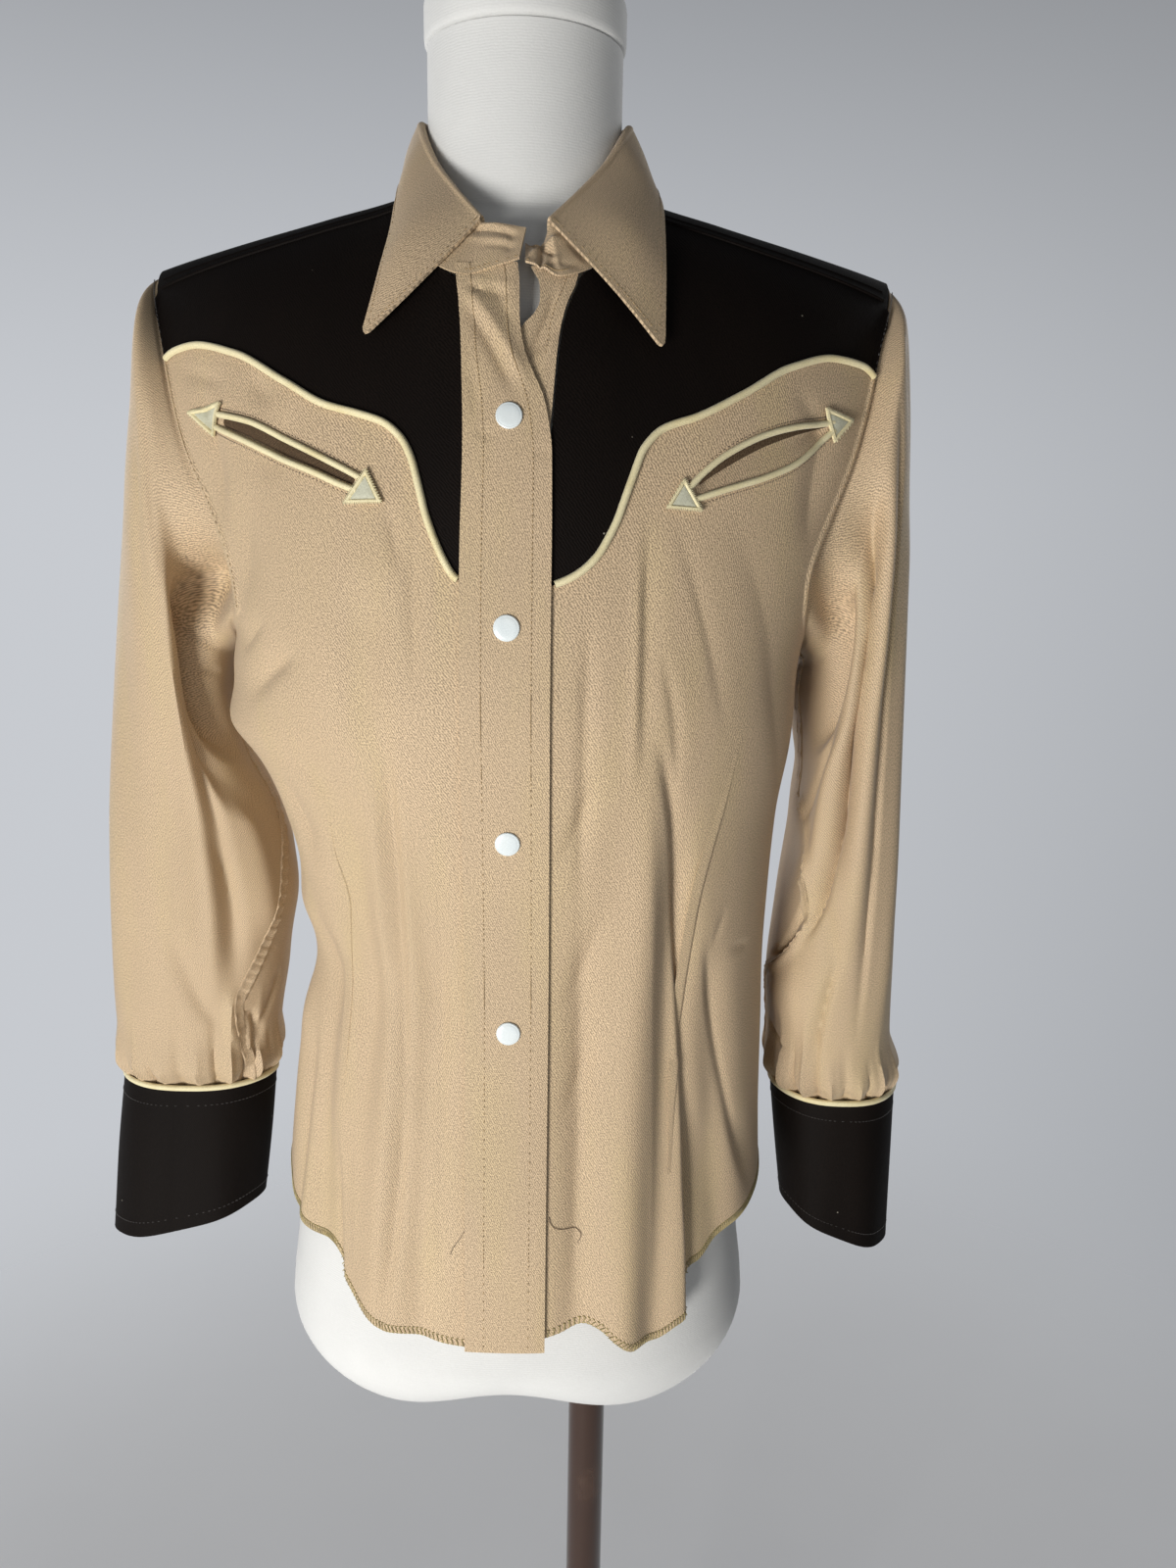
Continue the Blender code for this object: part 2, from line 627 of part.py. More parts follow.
def across_front(side, share, z):
    return mix(inner_angle(side, z), side_angle(side, z), share)


def seam_height(side, share):
    """The front yoke seam's height against the share of the way across the front."""
    line = SEAM_LEFT if side > 0 else SEAM_RIGHT
    x, z = line["x"], line["z"]
    inner, outer = inner_angle(side, z), side_angle(side, z)
    at = (angle_of(side * x, z) - inner) / (outer - inner)
    at[0], at[-1] = min(at[0], 0.0), max(at[-1], 1.0)
    return smooth(share, at, z)


def closing(rows):
    """Rows that come closer together towards the shoulder, where the cloth turns most."""
    return 1 - (1 - np.linspace(0, 1, rows + 1)[:, None]) ** 1.3


def shoulder_x(share):
    """The shoulder seam's stations from the neckline out to the armhole."""
    return mix(SHOULDER_FROM, SHOULDER_TO, share)


def shoulder_over(x):
    """How far in front of the ridge the shoulder seam lies, as an angle over it."""
    top = read(RIDGE, "x", "z", x)
    return -np.arccos(1 - SHOULDER_DROP / (top - BUST_Z))


def build_front(side, name):
    """A front below the yoke, from the hem to the yoke's seam."""
    hem = HEM_LEFT if side > 0 else HEM_RIGHT
    share = np.linspace(0, 1, FRONT_COLUMNS + 1)
    up = np.linspace(0, 1, PANEL_ROWS + 1)[:, None]
    low_angle = np.degrees(np.abs(across_front(side, share, np.full(share.shape, 0.66))))
    bottom = read(hem, "angle", "z", low_angle)
    top = seam_height(side, share) - SEAM / 2
    z = mix(bottom, top, up)
    outside, outwards = on_body(across_front(side, share, z), z)
    if side < 0:
        outside, outwards = outside[:, ::-1], outwards[:, ::-1]
    return wall(name, outside, outside - outwards * CLOTH, "tan_gabardine")


def build_front_yoke(side, name):
    """A front yoke, from its seam up to the shoulder seam just before the ridge."""
    share = np.linspace(0, 1, FRONT_COLUMNS + 1)
    up = closing(YOKE_ROWS)
    bottom = seam_height(side, share) + SEAM / 2
    x = shoulder_x(share)
    top_over = shoulder_over(x)
    top_angle, top = over_ridge(side * x, top_over)
    top = top - SEAM
    z = mix(bottom, top, up)
    angle = across_front(side, share, z)
    angle = mix(angle, top_angle, ease((up - 0.5) / 0.5))
    outside, outwards = on_body(angle, z)
    if side < 0:
        outside, outwards = outside[:, ::-1], outwards[:, ::-1]
    return wall(name, outside, outside - outwards * CLOTH, "brown_gabardine")


def back_columns():
    """The back's columns as shares from the wearer's left armhole, at -1, to the right one."""
    outer = np.linspace(-1, -NECK_SHARE, FRONT_COLUMNS + 1)
    inner = np.linspace(-NECK_SHARE, NECK_SHARE, NECK_COLUMNS + 1)
    return np.concatenate([outer, inner[1:-1], -outer[::-1]])


def back_angle(share, z):
    """The angle round the body of a share of the back's width, at a height."""
    reach = np.radians(read(ARMHOLE, "z", "back", z))
    reach = reach - SEAM * 0.5 / half_width(1, z) * (1 + 2 * (reach > 1.5))
    return np.pi + share * reach


def back_seam(share):
    return read(BACK_SEAM, "share", "z", np.abs(share))


def build_back():
    """The back below its yoke, in one piece from side seam to side seam."""
    share = back_columns()
    up = np.linspace(0, 1, BACK_ROWS + 1)[:, None]
    bottom = read(HEM_BACK, "angle", "z", np.abs(share) * 90)
    z = mix(bottom, back_seam(share) - SEAM / 2, up)
    angle = back_angle(share, z)
    outside, outwards = on_body(angle, z)
    return wall("back_panel", outside, outside - outwards * CLOTH, "tan_gabardine")


def neck_over_at(step):
    """The back neckline's angle over the ridge, from the centre back to the shoulder seam."""
    return np.radians(read(BACK_NECK, "step", "over", step))


def arm_edge_x(side, over):
    """The back armhole's x against the angle over the ridge."""
    tip = read(RIDGE, "x", "z", 0.19)
    z = BUST_Z + (tip - BUST_Z) * np.cos(over)
    reach = np.radians(read(ARMHOLE, "z", "back", z)) - SEAM * 0.5 / half_width(side, z)
    return half_width(side, z) * np.sin(reach) ** (2 / SQUARE)


def build_back_yoke():
    """The back yoke, up over the ridge to the shoulder seams, and round the back neckline."""
    share = back_columns()
    side = np.where(share <= 0, 1.0, -1.0)
    low_z = back_seam(share) + SEAM / 2
    low_x = np.abs(bare_body(back_angle(share, low_z), low_z)[..., 0])
    low_over = np.arccos((low_z - BUST_Z) / (read(RIDGE, "x", "z", low_x) - BUST_Z))
    behind = NECKLINE["over"] > -20
    neck_x, neck_over = NECKLINE["x"][behind], np.radians(NECKLINE["over"][behind])
    step = np.abs(share) / NECK_SHARE
    shoulder = shoulder_x(np.clip((step - 1) * NECK_SHARE / (1 - NECK_SHARE), 0, 1))
    high_over = np.where(step <= 1, neck_over_at(np.clip(step, 0, 1)), shoulder_over(shoulder))
    neck_line = smooth(high_over, neck_over, neck_x) - UNDER_COLLAR
    high_x = np.where(step <= 1, np.maximum(neck_line, 0.0), shoulder)
    low_part, high_part = low_x / arm_edge_x(side, low_over), high_x / arm_edge_x(side, high_over)
    up = closing(BACK_YOKE_ROWS)
    over = mix(low_over, high_over, up)
    x = side * mix(low_part, high_part, up) * arm_edge_x(side, over)
    outside, outwards = ridge_point(x, over), ridge_normal(x, over)
    return wall("back_yoke", outside, outside - outwards * CLOTH, "brown_gabardine")


def build_placket():
    """The band of the opening, laid on both fronts' edges, and the band under it."""
    rows, columns = 26, 4
    top = over_ridge(0.0, np.radians(NECKLINE["over"][0]))[1] - PLACKET_TOP_DROP
    for name, low, high, off, bottom in (
        ("placket", "over_right", "over_left", 2 * SEAM + CLOTH, PLACKET_BOTTOM),
        ("under_placket", "under_right", "under_left", 0.0, UNDER_PLACKET_BOTTOM),
    ):
        z = np.broadcast_to(np.linspace(bottom, top, rows)[:, None], (rows, columns))
        left, right = read(PLACKET, "z", low, z), read(PLACKET, "z", high, z)
        x = mix(left, right, np.linspace(0, 1, columns))
        outside, outwards = on_body(angle_of(x, z), z, np.full(z.shape, off))
        wall(name, outside, outside - outwards * CLOTH, "tan_gabardine")


def seam_path(side, columns=16):
    """The front yoke's seam as points on the cloth, with the directions outwards."""
    share = np.linspace(0.0, 0.975, columns + 1)
    z = seam_height(side, share)
    angle = across_front(side, share, z)
    start = angle_of(side * 0.0235, z[0])
    angle = np.where(np.abs(angle) < np.abs(start), start, angle)
    return on_body(angle, z)


def build_yoke_piping():
    for side, name in ((-1, "front_right_piping"), (1, "front_left_piping")):
        path, outwards = seam_path(side, columns=20)
        keep = np.abs(path[:, 0]) > 0.0236
        strip(name, path[keep], outwards[keep], PIPING_WIDTH, PIPING_HEIGHT, "cream_piping")
    share = np.linspace(-0.972, 0.972, 29)
    z = back_seam(share)
    path, outwards = on_body(back_angle(share, z), z)
    strip("back_piping", path, outwards, PIPING_WIDTH, PIPING_HEIGHT, "cream_piping")


# ---- Collar, sleeves and cuffs ----


def mirrored(half):
    """Rows for the wearer's left, front end first, then round the back to the right front."""
    other = half * np.array([-1.0, 1.0, 1.0])
    return np.concatenate([half[::-1], other[1:]])


def resample(points, count):
    """The same line through more points, evenly in the table's own steps."""
    return smooth(np.linspace(0, len(points) - 1, count), np.arange(len(points)), points)


def collar_lines():
    """The stand's foot, the fold and the fall's edge, as half lines from the back to the front."""
    def on_shirt(x, over, off):
        return ridge_point(x, over) + ridge_normal(x, over) * off[..., None]

    feet = {name: np.append(COLLAR[name], STAND_END[name]) for name in STAND_END}
    foot = on_shirt(feet["foot_x"], np.radians(feet["over"]), feet["foot_off"])
    fold = np.stack([feet["fold_x"], feet["fold_y"], feet["fold_z"]], -1)
    edge = on_shirt(COLLAR["edge_x"], np.radians(COLLAR["edge_over"]), COLLAR["edge_off"])
    return foot, fold, edge


def build_collar():
    foot, fold, edge = collar_lines()
    stations = len(COLLAR["over"])
    low, high = mirrored(resample(foot, 13)), mirrored(resample(fold, 13))
    up = np.linspace(0, 1, 4)[:, None, None]
    under_fold = high - unit(high * np.array([1.0, 1.0, 0.0])) * (STIFF_CLOTH + 3 * SEAM)
    under_fold = under_fold - np.array([0.0, 0.0, STAND_DROP])
    stand = mix(low, under_fold, up)
    wall("collar_stand", stand, stand - grid_normals(stand) * STIFF_CLOTH, "tan_gabardine")
    top, rim = mirrored(resample(fold[:stations], 12)), mirrored(resample(edge, 12))
    down = np.linspace(0, 1, 6)[:, None, None]
    swell = np.sin(down * np.pi) * np.array([0.0, 0.0, 1.0]) * FALL_RISE
    outwards = unit((mix(top, rim, 0.5) - np.array([0.0, 0.005, 0.0])) * np.array([1.0, 1.0, 0.0]))
    fall = mix(top, rim, down) + swell + outwards * np.sin(down * np.pi) * FALL_SWELL
    fall = fall[::-1]
    normals = grid_normals(fall)
    wall("collar_fall", fall, fall - normals * STIFF_CLOTH, "tan_gabardine")


def armhole_loop(side, around):
    """The armhole's edge, once round: 0 at the shoulder tip, 90 degrees in front."""
    top, bottom = ARMHOLE["z"][-1], ARMHOLE["z"][0]
    z = mix(bottom, top, (1 + np.cos(around)) / 2)
    front = np.sin(around) >= 0
    edge = np.where(
        front,
        np.radians(read(ARMHOLE, "z", "front", z)),
        np.pi - np.radians(read(ARMHOLE, "z", "back", z)),
    )
    points = on_body(side * edge, z)[0]
    centre = np.array([side * 0.12, RIDGE_Y, 1.10])
    away = points - centre
    outwards = unit(away * np.array([1.0, 0.0, 0.0]))
    return points + outwards * SLEEVE_OUT + unit(away) * SLEEVE_ROUND


def tube_rings(side, rows_table, around):
    """One ring for each row: an oval whose plane holds the outer and the inner line."""
    outer = np.stack([side * rows_table["outer_x"], rows_table["outer_z"]], -1)
    inner = np.stack([side * rows_table["inner_x"], rows_table["inner_z"]], -1)
    middle, reach = (outer + inner) / 2, (outer - inner) / 2
    cosine, sine = np.cos(around), np.sin(around)
    along = np.sign(cosine) * np.abs(cosine) ** 0.9
    depth = np.sign(sine) * np.abs(sine) ** 0.9
    x = middle[:, :1] + reach[:, :1] * along
    z = middle[:, 1:] + reach[:, 1:] * along
    y = rows_table["middle_y"][:, None] - rows_table["depth"][:, None] * depth
    return np.stack([x, y, z], -1)


def sleeve_relief(folds, around, share):
    degrees = np.degrees(around)
    total = np.zeros(np.broadcast(around, share).shape)
    for i in range(len(folds["depth"])):
        fold = {name: column[i] for name, column in folds.items()}
        along = (share - fold["from"]) / (fold["to"] - fold["from"])
        middle = mix(fold["angle_top"], fold["angle_end"], np.clip(along, 0, 1))
        away = (degrees - middle + 180) % 360 - 180
        strength = ease(along / 0.3) * (1 - ease((along - 0.75) / 0.25))
        total = total + fold["depth"] * strength * np.exp(-((away / fold["width"]) ** 2))
    swell = ease((share - GATHER_START) / 0.08) * (1 - ease((share - 0.97) / 0.03))
    return total + GATHER_DEPTH * swell * np.cos(GATHERS * around + 1.7 * np.sin(2 * around))


def build_sleeve(side, name, rows_table, folds):
    around = np.linspace(0, 2 * np.pi, SLEEVE_SIDES, endpoint=False)
    controls = np.concatenate([armhole_loop(side, around)[None], tube_rings(side, rows_table, around)])
    stations = np.arange(len(controls)) / (len(controls) - 1)
    share = np.linspace(0, 1, SLEEVE_ROWS + 1)
    rings = smooth(share, stations, controls)
    if side > 0:
        rings, turn = rings[:, ::-1], around[::-1]
    else:
        turn = around
    outwards = -tube_normals(rings)
    rings = rings + outwards * sleeve_relief(folds, turn, share[:, None])[..., None]
    outwards[0] = unit(outwards[0] * np.array([0.4, 1.0, 1.0]))
    tube_wall(name, rings, rings - outwards * CLOTH, "tan_gabardine")


def build_cuff(side, word, rows_table):
    """A cuff, its piping over the seam, and the two snaps behind."""
    around = np.linspace(0, 2 * np.pi, CUFF_SIDES, endpoint=False)
    if side > 0:
        around = around[::-1]
    rings = resample(tube_rings(side, rows_table, around), 4)
    outwards = -tube_normals(rings)
    tube_wall(f"cuff_{word}", rings, rings - outwards * STIFF_CLOTH, "brown_gabardine")
    path = rings[0] + outwards[0] * 0.0006 + np.array([0.0, 0.0, 0.0004])
    flat = unit(outwards[0] * np.array([1.0, 1.0, 0.0]))
    strip(f"cuff_piping_{word}", path, flat, PIPING_WIDTH, PIPING_HEIGHT, "cream_piping", closed=True)
    back = int(np.argmax(rings[1, :, 1]))
    for number, row in enumerate((1, 2), 1):
        snap(f"cuff_snap_{word}_{number}", rings[row, back], outwards[row, back], 3 * SEAM)


def snap(name, foot, outwards, off):
    """A snap's cap: a low turned dome, square to the cloth and just off it."""
    profile = table(
        "radius height",
        (0.88, 0.0),
        (1.00, 0.3),
        (0.86, 0.85),
        (0.40, 1.0),
    )
    helper = np.array([0.0, 0.0, 1.0])
    across = unit(np.cross(helper, outwards))
    up = np.cross(outwards, across)
    turn = np.linspace(0, 2 * np.pi, SNAP_SIDES, endpoint=False)
    spoke = np.cos(turn)[:, None] * across + np.sin(turn)[:, None] * up
    rings = (
        foot
        + outwards * off
        + spoke[None] * (profile["radius"] * SNAP_RADIUS)[:, None, None]
        + outwards * (profile["height"] * SNAP_HEIGHT)[:, None, None]
    )
    solid_rings(name, rings, "white_snap")


def build_snaps():
    for number, height in enumerate(SNAP_HEIGHTS, 1):
        z = np.array([height])
        foot, outwards = on_body(angle_of(np.zeros(1), z), z, np.array([2 * SEAM + CLOTH]))
        snap(f"snap_{number}", foot[0], outwards[0], 2 * SEAM)


def build_pocket(side, word, lines, tabs):
    """The two piped welts of a smile pocket, and an arrow tab at each end."""
    for part in ("upper", "lower"):
        x = resample(side * lines[part + "_x"], 9)
        z = resample(lines[part + "_z"], 9)
        path, outwards = on_body(angle_of(x, z), z)
        strip(f"welt_{word}_{part}", path, outwards, WELT_WIDTH, WELT_HEIGHT, "cream_piping")
    for i, place in enumerate(("side", "centre")):
        corners = ("tip", "upper", "lower")
        x = np.array([side * tabs[f"{corner}_x"][i] for corner in corners])
        z = np.array([tabs[f"{corner}_z"][i] for corner in corners])
        x, z = np.append(x, x.mean()), np.append(z, z.mean())
        base, outwards = on_body(angle_of(x, z), z, np.full(4, 3 * SEAM))
        build_tab(f"tab_{word}_{place}", base, outwards)


def build_tab(name, base, outwards):
    """An arrow tab: a triangle with a point in its middle, so that it follows the cloth."""
    if np.cross(base[1] - base[0], base[2] - base[0]) @ outwards[0] < 0:
        base, outwards = base[[0, 2, 1, 3]], outwards[[0, 2, 1, 3]]
    points = np.concatenate([base, base + outwards * TAB_HEIGHT])
    faces = []
    for a, b in ((0, 1), (1, 2), (2, 0)):
        faces += [(b, a, 3), (a + 4, b + 4, 7), (a, b, b + 4, a + 4)]
    mesh_object(name, points, faces, "cream_piping")


# ---- The dress form and its stand ----


def neck_radius(angle, spare=0.0):
    """The round neck seen from the form's axis, which lies a little behind the neck's own."""
    behind = RIDGE_Y - NECK_Y
    lean = behind * np.sin(angle)
    return -lean + np.sqrt(lean**2 + (NECK_RADIUS + spare) ** 2 - behind**2)


def axis_y(z):
    """The form's axis moves back to the shoulders' ridge above the waist."""
    return RIDGE_Y * ease((z - 0.88) / 0.12)


def form_radius(angle, z):
    """How far the form reaches from its axis: a point goes out along each direction and is halved
    back until it sits on the torso, and the neck takes over where the torso ends inside it."""
    shape = np.broadcast(angle, z).shape
    near, far = np.zeros(shape), np.full(shape, 0.26)
    wide = read(FORM, "z", "side", z)
    front, back = -read(FORM, "z", "front", z), read(FORM, "z", "back", z)
    for _ in range(30):
        middle = (near + far) / 2
        x, y = middle * np.cos(angle), axis_y(z) + middle * np.sin(angle)
        rounding = (1 - np.clip(np.abs(x) / wide, 0, 1) ** SQUARE) ** (1 / SQUARE)
        top = read(RIDGE, "x", "form_z", np.abs(x))
        draw = np.sqrt(1 - (1 - np.clip((top - z) / (top - BUST_Z), 0, 1)) ** 2)
        low_y = RIDGE_Y + (front * rounding - RIDGE_Y) * draw
        high_y = RIDGE_Y + (back * rounding - RIDGE_Y) * draw
        inside = (y >= low_y) & (y <= high_y) & (np.abs(x) < wide) & (z < top)
        near, far = np.where(inside, middle, near), np.where(inside, far, middle)
    return np.maximum(near, np.where(z > BUST_Z, neck_radius(angle), 0.0))


def build_form():
    """The torso: rings from the rounded lobes up over the shoulders and the neck."""
    around = np.linspace(0, 2 * np.pi, FORM_SIDES, endpoint=False)
    curl = np.radians([84.0, 66.0, 48.0, 30.0, 14.0])[:, None]
    lobes_z = LOBE_START - (LOBE_START - LOBE_BOTTOM) * np.sin(curl)
    body_z = np.array([0.62, 0.67, 0.72, 0.77, 0.81, 0.85, 0.89, 0.93, 0.97, 1.01, 1.05, 1.09, 1.13])
    top_z = np.array([1.16, 1.18, 1.192, 1.20, 1.207, 1.214, 1.221, 1.228, 1.2345, 1.2385])
    z = np.concatenate([lobes_z[:, 0], body_z, top_z, [1.243, NECK_TOP - SEAM]])[:, None]
    radius = form_radius(around, np.maximum(z, LOBE_START))
    lobes = slice(0, len(curl))
    radius[lobes] *= np.cos(curl) ** 0.75
    x, y = radius * np.cos(around), axis_y(z) + radius * np.sin(around)
    z = z + np.zeros(x.shape)
    z[lobes] += ARCH_HEIGHT * np.sin(curl) * np.exp(-((x[lobes] / ARCH_WIDTH) ** 2))
    torso = solid_rings("form_torso", np.stack([x, y, z], -1), "form_jersey")
    socket_radius = POLE_RADIUS + SEAM
    cutter = turned("pole_socket", ((socket_radius, 0.40), (socket_radius, POLE_TOP + SEAM)))
    cutter.hide_render, cutter.display_type = True, "WIRE"
    cut = torso.modifiers.new("pole_socket", "BOOLEAN")
    cut.operation, cut.object, cut.solver = "DIFFERENCE", cutter, "EXACT"
    cap = table("spare height", (0.0003, 0.0), (0.0015, 0.12), (0.0015, 0.86), (0.0, 1.0))
    cap_radius = neck_radius(around, cap["spare"][:, None])
    x, y = cap_radius * np.cos(around), axis_y(NECK_TOP) + cap_radius * np.sin(around)
    z = mix(NECK_TOP, CAP_TOP, cap["height"])[:, None] + np.zeros(x.shape)
    solid_rings("form_neck_cap", np.stack([x, y, z], -1), "form_jersey")


def turned(name, profile):
    """A solid turned about the pole's axis: radius and height from the bottom to the top."""
    around = np.linspace(0, 2 * np.pi, POLE_SIDES, endpoint=False)
    radius, height = (column[:, None] for column in np.array(profile).T)
    x, y = radius * np.cos(around), POLE_Y + radius * np.sin(around)
    rings = np.stack(np.broadcast_arrays(x, y, height), -1)
    return solid_rings(name, rings, "brown_metal", (0.0, 0.0, 0.0))


def build_stand():
    turned("pole", ((POLE_RADIUS, BASE_HEIGHT + SEAM), (POLE_RADIUS, POLE_TOP)))
    edge = BASE_RADIUS - BASE_ROUND
    turned(
        "base",
        (
            (BASE_RADIUS, 0.0),
            (BASE_RADIUS, BASE_HEIGHT - BASE_ROUND),
            (edge + BASE_ROUND * 0.7, BASE_HEIGHT - BASE_ROUND * 0.3),
            (edge, BASE_HEIGHT),
        ),
    )


def clear_scene():
    for obj in list(bpy.data.objects):
        bpy.data.objects.remove(obj, do_unlink=True)


def main():
    clear_scene()
    build_form()
    build_stand()
    build_front(-1, "front_right")
    build_front(1, "front_left")
    build_back()
    build_front_yoke(-1, "front_right_yoke")
    build_front_yoke(1, "front_left_yoke")
    build_back_yoke()
    build_placket()
    build_yoke_piping()
    build_collar()
    build_sleeve(-1, "sleeve_right", SLEEVE_RIGHT, SLEEVE_FOLDS_RIGHT)
    build_sleeve(1, "sleeve_left", SLEEVE_LEFT, SLEEVE_FOLDS_LEFT)
    build_cuff(-1, "right", CUFF_RIGHT)
    build_cuff(1, "left", CUFF_LEFT)
    build_snaps()
    build_pocket(-1, "right", POCKET_RIGHT, TABS_RIGHT)
    build_pocket(1, "left", POCKET_LEFT, TABS_LEFT)


main()
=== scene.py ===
"""The looks of a western snap shirt on a limbless dress form: cloth, trims, form, stand and studio.

Metres, +Z up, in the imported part's own frame. The garment is worked out about its own centre line,
FORM_X to the side of the pole: x grows towards the wearer's left, y towards the back. An angle
round the body is 0 at the centre front, 90 degrees at the wearer's left side, 180 at the centre
back.
"""

import json
import logging
from dataclasses import dataclass, field
from enum import Enum

import bmesh
import bpy
import numpy as np
from mathutils import Matrix

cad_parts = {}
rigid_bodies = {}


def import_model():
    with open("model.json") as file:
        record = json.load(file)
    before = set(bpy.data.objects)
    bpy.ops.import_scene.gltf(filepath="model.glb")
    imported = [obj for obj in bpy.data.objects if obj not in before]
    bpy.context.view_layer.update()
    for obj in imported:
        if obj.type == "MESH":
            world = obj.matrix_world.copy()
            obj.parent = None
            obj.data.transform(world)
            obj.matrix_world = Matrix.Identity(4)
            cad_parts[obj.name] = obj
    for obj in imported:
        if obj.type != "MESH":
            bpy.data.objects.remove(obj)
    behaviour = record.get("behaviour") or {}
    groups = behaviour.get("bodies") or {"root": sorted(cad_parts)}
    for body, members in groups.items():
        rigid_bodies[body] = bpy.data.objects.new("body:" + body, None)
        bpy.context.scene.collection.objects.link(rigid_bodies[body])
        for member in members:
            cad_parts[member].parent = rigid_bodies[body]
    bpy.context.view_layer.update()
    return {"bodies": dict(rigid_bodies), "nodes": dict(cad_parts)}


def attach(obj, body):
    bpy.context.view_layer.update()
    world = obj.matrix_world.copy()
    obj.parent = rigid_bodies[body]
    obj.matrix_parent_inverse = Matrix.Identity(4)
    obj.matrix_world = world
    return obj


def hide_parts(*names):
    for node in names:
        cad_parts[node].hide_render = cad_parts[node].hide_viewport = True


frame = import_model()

Array = np.ndarray
log = logging.getLogger("western_shirt")

# Driving sizes, the same as the solids'
FORM_X = -0.044  # the form's centre line, beside the pole
SEAM = 0.0003  # the clear gap between two pieces at a seam
SOLID_CLOTH = 0.0016  # the solids' wall, which the placket is laid over
CLOTH = 0.0011  # one layer of gabardine as its edges show it
STIFF_CLOTH = 0.0016  # collar and cuffs: two layers and a stiffener
SQUARE = 2.3  # exponent of the body's rounded sections
FLAT_RADIUS = 0.130  # the body's girth for each radian round it
BUST_Z = 1.000  # height of the fullest section, where the shoulders' curves start
RIDGE_Y = 0.012  # the shoulder line lies just behind the side seams
SHOULDER_DROP = 0.013  # the shoulder seam lies this far below the ridge, in front
SHOULDER_FROM, SHOULDER_TO = 0.0545, 0.1885
NECK_SHARE = 0.30  # the part of the back's width that lies below the neckline
UNDER_COLLAR, UNDER_PLACKET = 0.0012, 0.0032
PLACKET_BOTTOM, UNDER_PLACKET_BOTTOM = 0.6465, 0.6480
SLEEVE_TUCK = 0.0016  # how far a sleeve's first ring lies inside the armhole's edge
SNAP_RADIUS, SNAP_HEIGHT, SNAP_SIDES = 0.0061, 0.0022, 44
SNAP_HEIGHTS = (1.1235, 1.031, 0.928, 0.826)
PIPING_WIDTH, PIPING_HEIGHT = 0.0036, 0.0021
WELT_WIDTH, WELT_HEIGHT = 0.0031, 0.0019
TAB_HEIGHT = 0.0016
NECK_TOP, CAP_TOP, NECK_RADIUS, NECK_Y = 1.3090, 1.3310, 0.0495, 0.0030
LOBE_BOTTOM, LOBE_START, ARCH_HEIGHT, ARCH_WIDTH = 0.551, 0.620, 0.028, 0.050
OVER_FRONTS = 2 * SEAM + SOLID_CLOTH  # the placket's height over the fronts
SIDE_FROM = 1.5  # radians round the body from which an edge belongs to a side seam
UP = np.array([0.0, 0.0, 1.0])
LEVEL = np.array([1.0, 1.0, 0.0])  # leaves a direction its level part

# The finest detail's share of the full number of grid rows and columns
DETAIL = 1.0


def fine(count: int) -> int:
    """The number of grid steps for a full count, fewer while trying things out."""
    return max(4, int(round(count * DETAIL)))


# ---- Curves and short tables ----


def smooth(at: Array, stations: Array, values: Array) -> Array:
    """Reads a curve through a table's points.

    Each point's slope is the harmonic mean of its neighbours' slopes, or nothing where the curve
    turns, so the cubic between two points never overshoots them.

    Args:
        at: where to read it.
        stations: where the points are, in rising order.
        values: the points, one for each station, of any shape.

    Returns:
        The curve's values, in at's shape followed by one value's shape.
    """
    stations, values = np.asarray(stations, float), np.asarray(values, float)
    tail = (1,) * (values.ndim - 1)
    rise = np.diff(values, axis=0) / np.diff(stations).reshape((-1, *tail))
    before, after = rise[:-1], rise[1:]
    turning = before * after <= 0
    inner = np.where(turning, 0.0, 2 * before * after / np.where(turning, 1.0, before + after))
    slope = np.concatenate([rise[:1], inner, rise[-1:]])
    at = np.clip(np.asarray(at, float), stations[0], stations[-1])
    cell = np.clip(np.searchsorted(stations, at, side="right") - 1, 0, len(stations) - 2)
    width = np.diff(stations)[cell]
    t = (at - stations[cell]) / width
    t, width = (a.reshape(a.shape + tail) for a in (t, width))
    return (
        (2 * t**3 - 3 * t**2 + 1) * values[cell]
        + (t**3 - 2 * t**2 + t) * width * slope[cell]
        + (3 * t**2 - 2 * t**3) * values[cell + 1]
        + (t**3 - t**2) * width * slope[cell + 1]
    )


@dataclass(frozen=True)
class Columns:
    """A short table whose columns have names."""

    names: tuple[str, ...]
    rows: tuple[tuple[float, ...], ...]

    def __getitem__(self, name: str) -> Array:
        """One column, from the first row to the last."""
        place = self.names.index(name)
        return np.array([row[place] for row in self.rows], float)

    def read(self, key: str, name: str, at: Array) -> Array:
        """One column as a smooth curve against another."""
        order = np.argsort(self[key])
        return smooth(at, self[key][order], self[name][order])

    def reads(self, key: str, at: Array, *names: str) -> tuple[Array, ...]:
        """Several columns as smooth curves against another."""
        return tuple(self.read(key, name, at) for name in names)

    def each(self) -> list[dict[str, float]]:
        """The rows, each by its columns' names."""
        return [dict(zip(self.names, row)) for row in self.rows]

    def line(self, *names: str) -> Array:
        """Several columns side by side, as the points of a line."""
        return np.stack([self[name] for name in names], -1)


def table(names: str, *rows: tuple[float, ...]) -> Columns:
    """A short table from its columns' names, written in one string, and its rows."""
    return Columns(tuple(names.split()), rows)


def ease(t: Array) -> Array:
    """From 0 to 1 along an S-shaped curve: 3t^2 - 2t^3, level outside that range."""
    t = np.clip(t, 0.0, 1.0)
    return t * t * (3 - 2 * t)


def mix(a: Array, b: Array, share: Array) -> Array:
    """The place a share of the way from a to b."""
    return a + (b - a) * share


def unit(vectors: Array) -> Array:
    """The vectors at a length of one."""
    return vectors / np.maximum(np.linalg.norm(vectors, axis=-1, keepdims=True), 1e-12)


